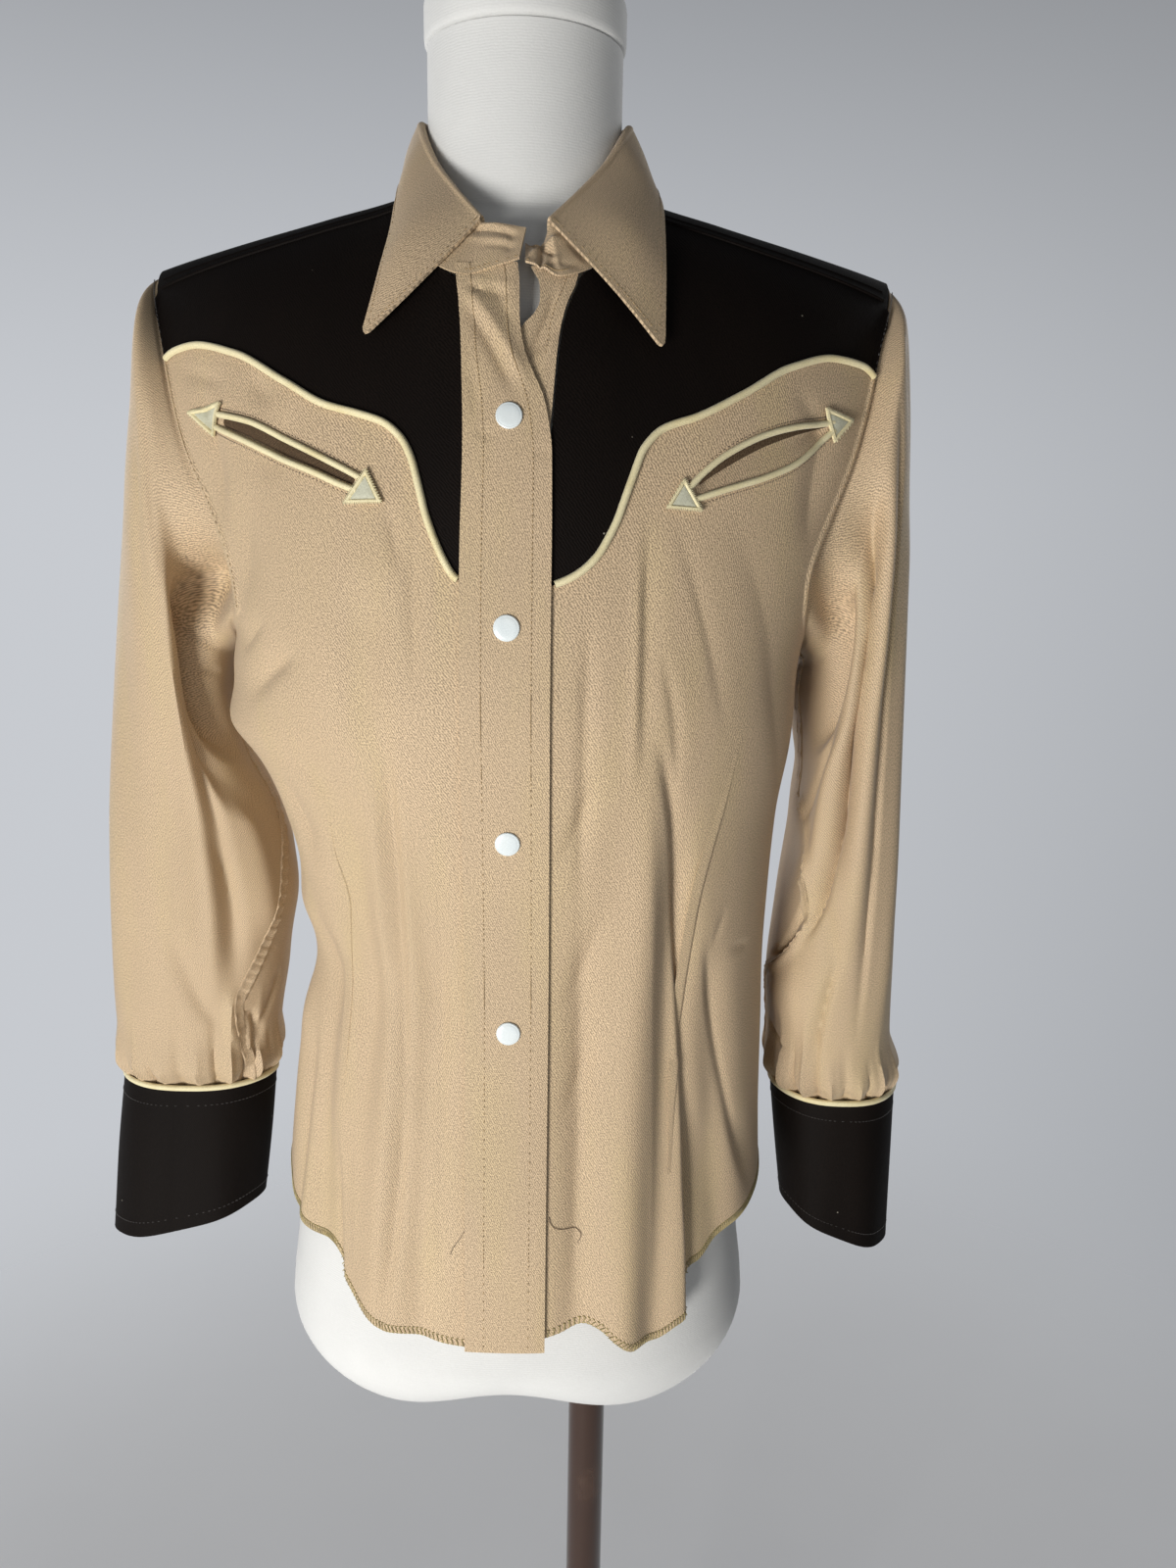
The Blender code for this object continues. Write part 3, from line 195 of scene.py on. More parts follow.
def once_round(count: int) -> Array:
    """That many angles once round, evenly spaced."""
    return np.linspace(0, 2 * np.pi, count, endpoint=False)


def resample(points: Array, count: int) -> Array:
    """The same line through more points, evenly in the table's own steps."""
    return smooth(np.linspace(0, len(points) - 1, count), np.arange(len(points)), points)


def spaced(points: Array, count: int) -> Array:
    """The line again through that many points at even distances along it."""
    steps = np.linalg.norm(np.diff(points, axis=0), axis=1)
    along = np.concatenate([[0.0], np.cumsum(steps)])
    at = np.linspace(0, along[-1], count)
    return np.stack([np.interp(at, along, points[:, k]) for k in range(points.shape[1])], -1)


def length_of(points: Array) -> float:
    """How long a line of points is."""
    return float(np.linalg.norm(np.diff(points, axis=0), axis=1).sum())


# The shirt's outside, section by section: how far it reaches to each side, front and back
BODY = table(
    "z      right  left   front  back",
    (0.640, 0.1385, 0.148, 0.114, 0.118),
    (0.700, 0.1370, 0.1455, 0.113, 0.118),
    (0.750, 0.1325, 0.143, 0.110, 0.111),
    (0.800, 0.126, 0.142, 0.107, 0.101),
    (0.840, 0.119, 0.141, 0.106, 0.093),
    (0.880, 0.129, 0.142, 0.109, 0.091),
    (0.920, 0.139, 0.144, 0.114, 0.094),
    (0.960, 0.149, 0.150, 0.120, 0.099),
    (1.000, 0.155, 0.155, 0.125, 0.103),
    (1.040, 0.161, 0.161, 0.125, 0.106),
    (1.080, 0.172, 0.172, 0.125, 0.108),
    (1.120, 0.186, 0.186, 0.125, 0.109),
    (1.160, 0.196, 0.196, 0.125, 0.109),
    (1.210, 0.205, 0.205, 0.125, 0.109),
    (1.290, 0.205, 0.205, 0.125, 0.109),
)
FORM = table(
    "z      side   front  back",
    (0.551, 0.1395, 0.102, 0.110),
    (0.620, 0.1385, 0.101, 0.110),
    (0.655, 0.1345, 0.100, 0.109),
    (0.700, 0.129, 0.097, 0.104),
    (0.760, 0.116, 0.090, 0.094),
    (0.840, 0.104, 0.087, 0.082),
    (0.900, 0.116, 0.097, 0.083),
    (0.960, 0.136, 0.113, 0.092),
    (1.000, 0.144, 0.1205, 0.098),
    (1.040, 0.145, 0.1205, 0.100),
    (1.100, 0.156, 0.1205, 0.103),
    (1.160, 0.168, 0.1205, 0.104),
    (1.210, 0.186, 0.1205, 0.104),
    (1.290, 0.188, 0.1205, 0.104),
)
# The line along the top of the shoulders, for the cloth and for the form that it rests on
RIDGE = table(
    "x      z       form_z",
    (0.000, 1.2720, 1.2520),
    (0.030, 1.2620, 1.2490),
    (0.056, 1.2430, 1.2382),
    (0.100, 1.2300, 1.2270),
    (0.150, 1.2165, 1.2141),
    (0.193, 1.2040, 1.2016),
    (0.215, 1.1960, 1.1936),
)
# The armhole's edge: degrees round the body from the centre front, and from the centre back
ARMHOLE = table(
    "z      front_left front_right back",
    (1.0125, 90.0, 90.0, 90.0),
    (1.0200, 78.0, 74.0, 82.0),
    (1.0350, 66.5, 58.5, 75.0),
    (1.0600, 62.0, 57.0, 71.0),
    (1.0850, 64.2, 59.5, 70.3),
    (1.1100, 65.2, 62.5, 70.0),
    (1.1550, 65.5, 64.6, 70.0),
    (1.2040, 69.8, 69.8, 69.8),
)
# The front yokes' seams, from the placket out to the armhole
SEAM_RIGHT = table(
    "x      z",
    (0.0170, 1.0500),
    (0.0235, 1.0530),
    (0.0290, 1.0610),
    (0.0370, 1.0800),
    (0.0405, 1.0930),
    (0.0440, 1.1050),
    (0.0495, 1.1145),
    (0.0580, 1.1210),
    (0.0690, 1.1245),
    (0.0860, 1.1290),
    (0.1060, 1.1395),
    (0.1330, 1.1535),
    (0.1570, 1.1590),
    (0.1690, 1.1575),
    (0.1800, 1.1520),
)
SEAM_LEFT = table(
    "x      z",
    (0.0170, 1.0490),
    (0.0300, 1.0545),
    (0.0400, 1.0630),
    (0.0480, 1.0770),
    (0.0545, 1.0950),
    (0.0605, 1.1110),
    (0.0690, 1.1200),
    (0.0860, 1.1265),
    (0.1080, 1.1380),
    (0.1300, 1.1510),
    (0.1530, 1.1575),
    (0.1690, 1.1560),
    (0.1800, 1.1490),
)
# The back yoke's seam, in shares of the way from the centre back to the armhole
BACK_SEAM = table(
    "share  z",
    (0.00, 1.0900),
    (0.25, 1.0980),
    (0.50, 1.1160),
    (0.75, 1.1300),
    (1.00, 1.1340),
)
# The hem's height against the angle round the body
HEM_RIGHT = table(
    "angle  z",
    (0.0, 0.6464),
    (10.0, 0.6484),
    (17.0, 0.6500),
    (26.0, 0.6508),
    (31.0, 0.6542),
    (36.0, 0.6618),
    (40.0, 0.6700),
    (42.5, 0.6800),
    (45.0, 0.6850),
    (52.0, 0.6871),
    (61.0, 0.6960),
    (70.0, 0.7050),
    (90.0, 0.7080),
)
HEM_LEFT = table(
    "angle  z",
    (0.0, 0.6500),
    (6.0, 0.6538),
    (9.0, 0.6557),
    (13.5, 0.6600),
    (17.0, 0.6565),
    (19.5, 0.6498),
    (24.0, 0.6425),
    (30.0, 0.6418),
    (35.0, 0.6481),
    (39.0, 0.6530),
    (41.5, 0.6765),
    (45.0, 0.6796),
    (51.0, 0.6880),
    (58.0, 0.6940),
    (76.0, 0.7010),
    (90.0, 0.7060),
)
HEM_BACK = table("angle  z", (0.0, 0.6400), (30.0, 0.6480), (60.0, 0.6760), (90.0, 0.7070))
# Where the placket and the layer under it lie across the front, up to the neckline
PLACKET = table(
    "z      over_right over_left under_right under_left",
    (0.640, -0.0222, 0.0200, -0.0180, 0.0162),
    (1.060, -0.0214, 0.0198, -0.0180, 0.0162),
    (1.108, -0.0206, 0.0192, -0.0175, 0.0172),
    (1.121, -0.0208, 0.0176, -0.0150, 0.0184),
    (1.132, -0.0212, 0.0151, -0.0110, 0.0192),
    (1.142, -0.0217, 0.0106, -0.0060, 0.0199),
    (1.152, -0.0222, 0.0062, -0.0010, 0.0206),
    (1.165, -0.0231, 0.0037, 0.0052, 0.0222),
    (1.170, -0.0237, 0.0034, 0.0098, 0.0233),
    (1.176, -0.0243, 0.0032, 0.0124, 0.0250),
    (1.184, -0.0255, 0.0029, 0.0121, 0.0283),
    (1.192, -0.0264, 0.0018, 0.0080, 0.0300),
)
# The neckline on the body: how far out, and degrees over the ridge, the front being negative
NECKLINE = table(
    "x      over",
    (0.0005, -44.5),
    (0.0185, -45.0),
    (0.0290, -44.5),
    (0.0400, -40.0),
    (0.0500, -30.0),
    (0.0565, -15.0),
    (0.0590, 0.0),
    (0.0510, 16.0),
    (0.0300, 29.0),
    (0.0000, 34.0),
)
BACK_NECK = table("step  over", (0.00, 34.0), (0.35, 29.0), (0.75, 5.0), (1.00, -17.5))
# The collar, from the centre back round to the front
COLLAR = table(
    "foot_x over  foot_off fold_x  fold_y  fold_z",
    (0.0000, 34.0, 0.0027, 0.0000, 0.0600, 1.2790),
    (0.0300, 29.0, 0.0030, 0.0295, 0.0530, 1.2790),
    (0.0510, 16.0, 0.0027, 0.0500, 0.0310, 1.2780),
    (0.0590, 0.00, 0.0027, 0.0555, 0.0050, 1.2750),
    (0.0565, -15.0, 0.0028, 0.0515, -0.0170, 1.2640),
    (0.0490, -31.0, 0.0024, 0.0430, -0.0370, 1.2470),
    (0.0355, -42.0, 0.0016, 0.0305, -0.0560, 1.2300),
    (0.0210, -45.4, 0.0026, 0.0165, -0.0735, 1.2135),
)
# The fall's free edge on each side, one row for each row above, as the fall lies on the shoulders
FALL_RIGHT = table(
    "x      over  off",
    (0.0000, 42.0, 0.0062),
    (0.0380, 38.0, 0.0062),
    (0.0585, 22.0, 0.0062),
    (0.0618, 0.0, 0.0066),
    (0.0590, -16.0, 0.0060),
    (0.0588, -29.0, 0.0054),
    (0.0622, -39.5, 0.0058),
    (0.0684, -49.2, 0.0056),
)
FALL_LEFT = table(
    "x      over  off",
    (0.0000, 42.0, 0.0062),
    (0.0380, 38.0, 0.0062),
    (0.0590, 22.0, 0.0062),
    (0.0632, 0.0, 0.0066),
    (0.0664, -14.0, 0.0068),
    (0.0686, -24.0, 0.0064),
    (0.0690, -36.0, 0.0060),
    (0.0686, -50.2, 0.0056),
)
FALL_SWELL, FALL_RISE = 0.0014, 0.0010  # the fall's own bow between its fold and its edge
FALL_SAG_RIGHT, FALL_SAG_LEFT = 0.0048, 0.0016  # how far each front edge curves down instead
FALL_FRONT = 0.0046  # how much further it bows out at its front edges, over the stand
STAND_DROP = 0.0010  # the stand's top lies this far below the fold
# The stand's two ends: the wearer's right one laps over the centre, the left one lies under it
STAND_END_RIGHT = table(
    "foot_x over  foot_off fold_x  fold_y  fold_z",
    (0.0100, -45.4, 0.0036, 0.0080, -0.0785, 1.2125),
    (-0.0022, -44.9, 0.0050, -0.0054, -0.0805, 1.2105),
)
STAND_END_LEFT = table(
    "foot_x over  foot_off fold_x  fold_y  fold_z",
    (0.0135, -44.9, 0.0034, 0.0130, -0.0755, 1.2055),
    (0.0052, -44.6, 0.0028, 0.0048, -0.0765, 1.2050),
)
# Creases of the stand's two ends, drawn up where they are sewn and left unfastened
STAND_CREASES = table(
    "x_top   z_top   x_end   z_end   bow     width   depth    lean   fade",
    (-0.0320, 1.2130, 0.0040, 1.2075, 0.0010, 0.0013, 0.0009, 0.20, 0.25),
    (-0.0280, 1.2105, 0.0040, 1.2050, 0.0008, 0.0013, -0.0010, 0.00, 0.25),
    (-0.0260, 1.2060, 0.0040, 1.2022, 0.0000, 0.0015, 0.0008, 0.00, 0.30),
    (-0.0180, 1.2010, 0.0030, 1.1990, 0.0010, 0.0014, -0.0007, 0.00, 0.35),
    (-0.0010, 1.2090, -0.0035, 1.1960, 0.0010, 0.0020, -0.0008, 0.00, 0.30),
    (0.0040, 1.2045, 0.0205, 1.1960, 0.0010, 0.0017, -0.0024, 0.20, 0.20),
    (0.0060, 1.1955, 0.0235, 1.2065, 0.0010, 0.0018, 0.0018, 0.00, 0.20),
    (0.0110, 1.2070, 0.0122, 1.1895, 0.0010, 0.0014, -0.0020, 0.00, 0.20),
    (0.0175, 1.2085, 0.0215, 1.1900, -0.0010, 0.0016, 0.0014, 0.00, 0.25),
    (0.0140, 1.1932, 0.0330, 1.1918, 0.0010, 0.0014, -0.0010, 0.00, 0.25),
    (0.0235, 1.2045, 0.0335, 1.1945, 0.0010, 0.0017, -0.0012, 0.00, 0.25),
)
# Each sleeve's outer and inner lines, and its depth, from below the armhole down to the cuff
SLEEVE_RIGHT = table(
    "outer_x outer_z inner_x inner_z middle_y depth",
    (0.1975, 1.1930, 0.1640, 1.0000, 0.011, 0.063),
    (0.2045, 1.1500, 0.1670, 0.9750, 0.013, 0.063),
    (0.2145, 1.1000, 0.1650, 0.9450, 0.016, 0.060),
    (0.2265, 1.0350, 0.1560, 0.9120, 0.019, 0.055),
    (0.2365, 0.9680, 0.1470, 0.8820, 0.021, 0.050),
    (0.2435, 0.9000, 0.1430, 0.8500, 0.021, 0.046),
    (0.2470, 0.8400, 0.1445, 0.8150, 0.021, 0.044),
    (0.2485, 0.7850, 0.1500, 0.7800, 0.021, 0.040),
    (0.2470, 0.7425, 0.1545, 0.7425, 0.020, 0.031),
)
SLEEVE_LEFT = table(
    "outer_x outer_z inner_x inner_z middle_y depth",
    (0.1985, 1.1900, 0.1640, 1.0000, 0.011, 0.063),
    (0.2035, 1.1500, 0.1670, 0.9750, 0.013, 0.065),
    (0.2070, 1.0950, 0.1650, 0.9450, 0.016, 0.065),
    (0.2120, 1.0350, 0.1600, 0.9150, 0.019, 0.062),
    (0.2165, 0.9680, 0.1570, 0.8880, 0.021, 0.060),
    (0.2210, 0.8950, 0.1540, 0.8520, 0.022, 0.058),
    (0.2235, 0.8350, 0.1510, 0.8120, 0.022, 0.055),
    (0.2250, 0.7850, 0.1520, 0.7780, 0.022, 0.048),
    (0.2315, 0.7425, 0.1555, 0.7425, 0.020, 0.036),
)
CUFF_RIGHT = table(
    "outer_x outer_z inner_x inner_z middle_y depth",
    (0.2475, 0.7418, 0.1540, 0.7418, 0.020, 0.0315),
    (0.2545, 0.6900, 0.1580, 0.7000, 0.020, 0.0300),
    (0.2600, 0.6320, 0.1630, 0.6580, 0.020, 0.0290),
)
CUFF_LEFT = table(
    "outer_x outer_z inner_x inner_z middle_y depth",
    (0.2320, 0.7418, 0.1550, 0.7418, 0.020, 0.0365),
    (0.2325, 0.6900, 0.1595, 0.7020, 0.020, 0.0360),
    (0.2325, 0.6370, 0.1640, 0.6640, 0.020, 0.0350),
)
# The body's large folds, by degrees round the body, which the solids have too
BODY_FOLDS = table(
    "angle_top z_top angle_end z_end width depth   fades",
    (33.0, 0.975, 29.0, 0.640, 4.5, -0.0046, 0.0),
    (24.5, 0.985, 22.0, 0.640, 5.0, 0.0042, 0.0),
    (44.0, 0.880, 52.0, 0.670, 6.0, -0.0040, 0.0),
    (12.5, 0.900, 11.5, 0.640, 4.0, -0.0034, 0.0),
    (-31.0, 0.985, -38.0, 0.670, 5.5, -0.0044, 0.0),
    (-21.0, 1.060, -24.0, 0.960, 5.0, -0.0034, 1.0),
    (-52.0, 0.905, -49.0, 0.690, 5.0, -0.0048, 0.0),
    (-68.0, 0.870, -62.0, 0.700, 7.0, 0.0040, 0.0),
    (-80.0, 0.975, -78.0, 0.830, 19.0, -0.0130, 1.0),
    (-15.5, 0.960, -17.0, 0.640, 3.4, -0.0026, 0.0),
    (-26.0, 0.900, -27.0, 0.640, 4.0, 0.0026, 0.0),
    (150.0, 0.960, 156.0, 0.640, 7.0, -0.0045, 0.0),
    (-148.0, 0.980, -152.0, 0.640, 7.0, -0.0045, 0.0),
    (171.0, 0.890, 174.0, 0.640, 6.0, 0.0040, 0.0),
    (-128.0, 0.900, -122.0, 0.690, 8.0, 0.0035, 0.0),
    (126.0, 0.920, 118.0, 0.690, 8.0, 0.0035, 0.0),
)
# Where the body's sides swell out or sink, each round a middle, and how far it reaches both ways
BODY_SWELLS = table(
    "angle  z      width reach  height",
    (-80.0, 0.974, 28.0, 0.0150, 0.0070),
    (-80.0, 0.876, 26.0, 0.0180, 0.0070),
    (-80.0, 0.836, 26.0, 0.0170, -0.0030),
    (-82.0, 1.020, 26.0, 0.0120, -0.0050),
    (78.0, 1.008, 24.0, 0.0300, -0.0040),
)
# The front's creases on the flat of the front: where each starts and ends, how far its middle bows
# towards the wearer's left, how wide and how deep it is, how much wider on one side, and the share
# of its length over which it dies away at each end
FRONT_CREASES = table(
    "x_top   z_top   x_end   z_end   bow     width   depth    lean   fade",
    (0.0680, 0.9830, 0.0850, 0.8700, 0.0042, 0.0048, -0.0026, 0.55, 0.35),
    (0.0810, 0.9300, 0.0975, 0.6900, 0.0016, 0.0056, -0.0052, 0.66, 0.22),
    (0.0700, 0.9820, 0.0815, 0.9100, 0.0030, 0.0024, -0.0014, 0.50, 0.30),
    (0.0948, 0.7900, 0.1032, 0.5900, 0.0000, 0.0098, -0.0085, 0.78, 0.32),
    (0.0648, 0.9900, 0.0780, 0.6300, 0.0020, 0.0080, 0.0026, 0.00, 0.35),
    (0.1008, 0.8760, 0.1390, 0.6950, -0.0040, 0.0052, -0.0036, 0.40, 0.25),
    (0.1080, 0.8500, 0.1300, 0.7400, -0.0030, 0.0060, 0.0018, 0.00, 0.35),
    (0.1116, 0.8860, 0.1045, 0.8600, 0.0000, 0.0022, -0.0010, 0.00, 0.45),
    (0.1130, 0.8590, 0.1290, 0.8570, 0.0000, 0.0024, -0.0011, 0.00, 0.45),
    (0.0372, 1.0480, 0.0345, 0.8850, 0.0000, 0.0042, -0.0018, 0.20, 0.35),
    (0.0430, 0.9700, 0.0210, 0.9100, 0.0030, 0.0056, -0.0018, 0.30, 0.45),
    (0.0480, 0.9000, 0.0260, 0.8300, 0.0020, 0.0060, -0.0016, 0.20, 0.45),
    (0.0450, 0.8300, 0.0240, 0.7700, 0.0020, 0.0056, -0.0014, 0.20, 0.45),
    (0.0350, 0.9300, 0.0340, 0.6300, 0.0020, 0.0056, -0.0016, 0.20, 0.35),
    (0.0630, 1.0900, 0.0640, 0.9500, 0.0000, 0.0046, -0.0017, 0.45, 0.35),
    (0.0590, 1.0800, 0.0600, 0.9400, 0.0000, 0.0036, 0.0009, 0.00, 0.35),
    (0.0700, 1.0240, 0.0812, 0.9480, 0.0030, 0.0030, -0.0013, 0.20, 0.35),
    (0.0720, 1.0900, 0.1060, 0.9700, 0.0030, 0.0040, -0.0009, 0.30, 0.40),
    (0.0980, 1.0900, 0.1360, 0.9700, 0.0070, 0.0090, -0.0011, 0.20, 0.45),
    (0.1220, 1.0300, 0.1430, 0.9150, 0.0030, 0.0060, -0.0010, 0.20, 0.45),
    (0.1560, 1.1450, 0.1440, 1.0600, -0.0040, 0.0080, -0.0026, 0.00, 0.40),
    (0.1320, 1.1440, 0.1500, 1.1180, 0.0010, 0.0050, -0.0012, 0.00, 0.45),
    (-0.1340, 0.9870, -0.0980, 1.0170, 0.0030, 0.0066, -0.0040, 0.20, 0.40),
    (-0.1380, 1.0100, -0.1180, 1.0300, 0.0020, 0.0046, -0.0018, 0.20, 0.40),
    (-0.1080, 0.9640, -0.0890, 0.9420, 0.0010, 0.0030, -0.0015, 0.10, 0.40),
    (-0.1260, 0.9560, -0.1000, 0.9020, 0.0050, 0.0058, -0.0030, 0.30, 0.40),
    (-0.1180, 0.9350, -0.1120, 0.8750, -0.0030, 0.0040, -0.0020, 0.00, 0.40),
    (-0.0585, 1.0000, -0.0535, 0.7700, 0.0006, 0.0064, -0.0034, -0.45, 0.30),
    (-0.0536, 0.8000, -0.0730, 0.6300, 0.0030, 0.0060, -0.0030, -0.30, 0.25),
    (-0.0660, 0.9700, -0.0650, 0.8000, 0.0000, 0.0060, 0.0018, 0.00, 0.35),
    (-0.0427, 1.0900, -0.0440, 0.9900, 0.0000, 0.0050, -0.0018, 0.00, 0.45),
    (-0.0330, 0.9500, -0.0360, 0.6400, 0.0000, 0.0050, -0.0014, 0.20, 0.35),
    (-0.1070, 0.8300, -0.1275, 0.6400, 0.0000, 0.0066, -0.0044, -0.55, 0.25),
    (-0.0960, 0.7700, -0.0990, 0.6000, 0.0010, 0.0080, -0.0042, -0.70, 0.30),
    (-0.0800, 0.8600, -0.0880, 0.6400, 0.0000, 0.0070, 0.0020, 0.00, 0.35),
    (-0.1560, 1.1450, -0.1420, 1.0700, 0.0040, 0.0066, -0.0034, 0.00, 0.40),
    (-0.1700, 1.1480, -0.1350, 1.1380, 0.0010, 0.0046, -0.0016, 0.00, 0.45),
    (-0.1280, 1.1440, -0.1120, 1.1280, 0.0010, 0.0056, -0.0016, 0.00, 0.45),
    (-0.1000, 1.1320, -0.1180, 1.0900, 0.0000, 0.0080, -0.0018, 0.00, 0.45),
    (-0.1320, 1.0960, -0.1380, 1.0250, 0.0060, 0.0100, -0.0030, 0.00, 0.45),
    (-0.0560, 1.0900, -0.0500, 1.0500, 0.0010, 0.0040, -0.0016, 0.00, 0.45),
)
# The same on the back, seen from the front, x still growing towards the wearer's left
BACK_CREASES = table(
    "x_top   z_top   x_end   z_end   bow     width   depth    lean   fade",
    (0.0300, 0.9300, 0.0220, 0.6300, 0.0030, 0.0080, -0.0024, 0.30, 0.30),
    (-0.0450, 0.9600, -0.0560, 0.6300, 0.0000, 0.0080, -0.0022, -0.30, 0.30),
    (0.0800, 0.9400, 0.0930, 0.6500, 0.0020, 0.0070, -0.0020, 0.20, 0.30),
    (-0.0980, 0.9200, -0.1060, 0.6700, 0.0000, 0.0070, -0.0018, 0.00, 0.30),
    (0.0050, 0.8700, 0.0080, 0.6300, 0.0000, 0.0060, -0.0012, 0.00, 0.35),
    (0.1350, 1.0900, 0.0900, 0.9900, 0.0060, 0.0120, -0.0024, 0.00, 0.40),
    (-0.1380, 1.0800, -0.0850, 1.0000, -0.0060, 0.0120, -0.0024, 0.00, 0.40),
    (0.0900, 0.9050, 0.0200, 0.8750, 0.0040, 0.0060, -0.0016, 0.00, 0.40),
    (-0.1000, 0.8800, -0.0300, 0.8950, 0.0040, 0.0060, -0.0014, 0.00, 0.40),
    (0.1050, 0.8500, 0.0500, 0.8350, 0.0020, 0.0050, -0.0012, 0.00, 0.40),
)
# Creases of the placket's top, where the unfastened neck pulls it askew, and of the layer under it
PLACKET_CREASES = table(
    "x_top   z_top   x_end   z_end   bow     width   depth    lean   fade",
    (-0.0270, 1.1860, 0.0100, 1.1320, 0.0030, 0.0036, 0.0024, 0.20, 0.30),
    (-0.0235, 1.1760, 0.0040, 1.1290, 0.0020, 0.0030, -0.0020, 0.00, 0.35),
    (-0.0120, 1.1880, 0.0030, 1.1600, 0.0000, 0.0030, -0.0012, 0.00, 0.40),
    (-0.0240, 1.1845, 0.0020, 1.1815, 0.0000, 0.0016, 0.0010, 0.00, 0.30),
    (-0.0240, 1.1810, 0.0020, 1.1775, 0.0000, 0.0018, -0.0012, 0.00, 0.30),
    (-0.0190, 1.1500, -0.0160, 1.1180, 0.0020, 0.0034, -0.0012, 0.00, 0.45),
    (-0.0160, 1.1190, -0.0050, 1.1130, 0.0000, 0.0022, -0.0010, 0.00, 0.45),
    (0.0100, 1.1060, 0.0210, 1.1100, 0.0000, 0.0020, -0.0008, 0.00, 0.45),
    (0.0200, 1.1850, 0.0060, 1.1480, 0.0020, 0.0024, -0.0018, 0.00, 0.35),
    (0.0280, 1.1850, 0.0120, 1.1440, 0.0020, 0.0026, 0.0014, 0.00, 0.35),
    (0.0240, 1.1700, 0.0060, 1.1480, 0.0010, 0.0016, -0.0010, 0.00, 0.35),
)
# The sleeves' large folds: degrees round from the outer line to the front, shares of the length
SLEEVE_FOLDS_RIGHT = table(
    "angle_top from angle_end to   width depth",
    (118.0, -0.02, 156.0, 0.37, 14.0, -0.0220),
    (114.0, 0.00, 134.0, 0.50, 19.0, -0.0090),
    (103.0, 0.08, 111.0, 0.86, 5.0, 0.0026),
    (116.0, 0.34, 124.0, 0.84, 8.0, -0.0046),
    (146.0, 0.40, 150.0, 0.74, 10.0, 0.0034),
    (50.0, 0.30, 62.0, 0.95, 18.0, -0.0024),
    (250.0, 0.20, 235.0, 0.95, 18.0, -0.0060),
    (300.0, 0.35, 310.0, 0.95, 18.0, 0.0040),
)
SLEEVE_FOLDS_LEFT = table(
    "angle_top from angle_end to   width depth",
    (99.0, 0.00, 108.0, 0.66, 8.5, -0.0115),
    (82.0, 0.04, 92.0, 0.80, 9.0, 0.0042),
    (128.0, 0.30, 136.0, 0.66, 9.0, 0.0030),
    (42.0, 0.12, 56.0, 0.95, 11.0, 0.0026),
    (120.0, -0.02, 152.0, 0.33, 12.0, -0.0120),
    (245.0, 0.20, 238.0, 0.95, 18.0, -0.0060),
    (298.0, 0.30, 306.0, 0.95, 18.0, 0.0040),
)
# Where the sleeves' cloth swells out or sinks, each round a middle: degrees round, a share of the
# length, how far it reaches both ways, and its height
SLEEVE_SWELLS_RIGHT = table(
    "angle  share width reach height",
    (176.0, 0.47, 24.0, 0.13, 0.0080),
    (214.0, 0.45, 26.0, 0.16, 0.0070),
    (178.0, 0.63, 24.0, 0.09, 0.0050),
)
SLEEVE_SWELLS_LEFT = table(
    "angle  share width reach height",
    (206.0, 0.19, 36.0, 0.10, 0.0130),
    (206.0, 0.31, 30.0, 0.06, 0.0030),
    (176.0, 0.53, 30.0, 0.07, -0.0040),
    (150.0, 0.79, 28.0, 0.06, 0.0044),
)
# The sleeves' creases on the sleeve laid flat: x round from the outer line towards the front, z
# down from the shoulder, and the rest as on the body
SLEEVE_CREASES_RIGHT = table(
    "x_top   z_top   x_end   z_end   bow     width   depth    lean   fade",
    (0.1080, -0.3900, 0.1120, -0.4360, 0.0050, 0.0035, -0.0034, 0.30, 0.25),
    (0.1000, -0.3700, 0.1050, -0.4300, -0.0040, 0.0040, 0.0026, 0.00, 0.30),
    (0.1180, -0.4020, 0.1080, -0.4560, 0.0030, 0.0035, -0.0030, 0.00, 0.25),
    (0.1320, -0.3600, 0.1180, -0.4100, 0.0030, 0.0040, -0.0024, 0.00, 0.30),
    (0.0700, -0.3300, 0.0960, -0.4150, -0.0060, 0.0070, -0.0026, 0.30, 0.40),
    (0.1240, -0.0460, 0.1040, -0.0700, 0.0040, 0.0026, -0.0030, 0.00, 0.30),
    (0.1080, -0.0300, 0.1200, -0.0760, -0.0030, 0.0026, -0.0026, 0.00, 0.30),
    (0.1300, -0.0700, 0.1090, -0.0950, 0.0030, 0.0026, -0.0030, 0.00, 0.30),
    (0.0880, -0.0500, 0.1060, -0.1000, 0.0020, 0.0034, -0.0020, 0.00, 0.40),
    (0.0560, -0.0300, 0.0720, -0.1100, 0.0020, 0.0060, -0.0018, 0.00, 0.40),
    (0.0880, -0.2500, 0.1000, -0.3600, 0.0050, 0.0060, -0.0024, 0.20, 0.35),
    (0.0300, -0.1200, 0.0180, -0.3000, 0.0000, 0.0110, -0.0014, 0.00, 0.45),
    (0.0480, -0.0600, 0.0640, -0.2000, 0.0040, 0.0090, -0.0014, 0.00, 0.45),
    (-0.0700, -0.1200, -0.0400, -0.3000, 0.0060, 0.0120, -0.0024, 0.00, 0.40),
    (-0.0900, -0.2400, -0.0500, -0.3000, 0.0000, 0.0080, -0.0020, 0.00, 0.40),
    (-0.0800, -0.3000, -0.1100, -0.4400, 0.0060, 0.0080, -0.0022, 0.00, 0.35),
    (-0.0300, -0.0400, -0.0500, -0.1500, 0.0000, 0.0100, -0.0018, 0.00, 0.40),
)
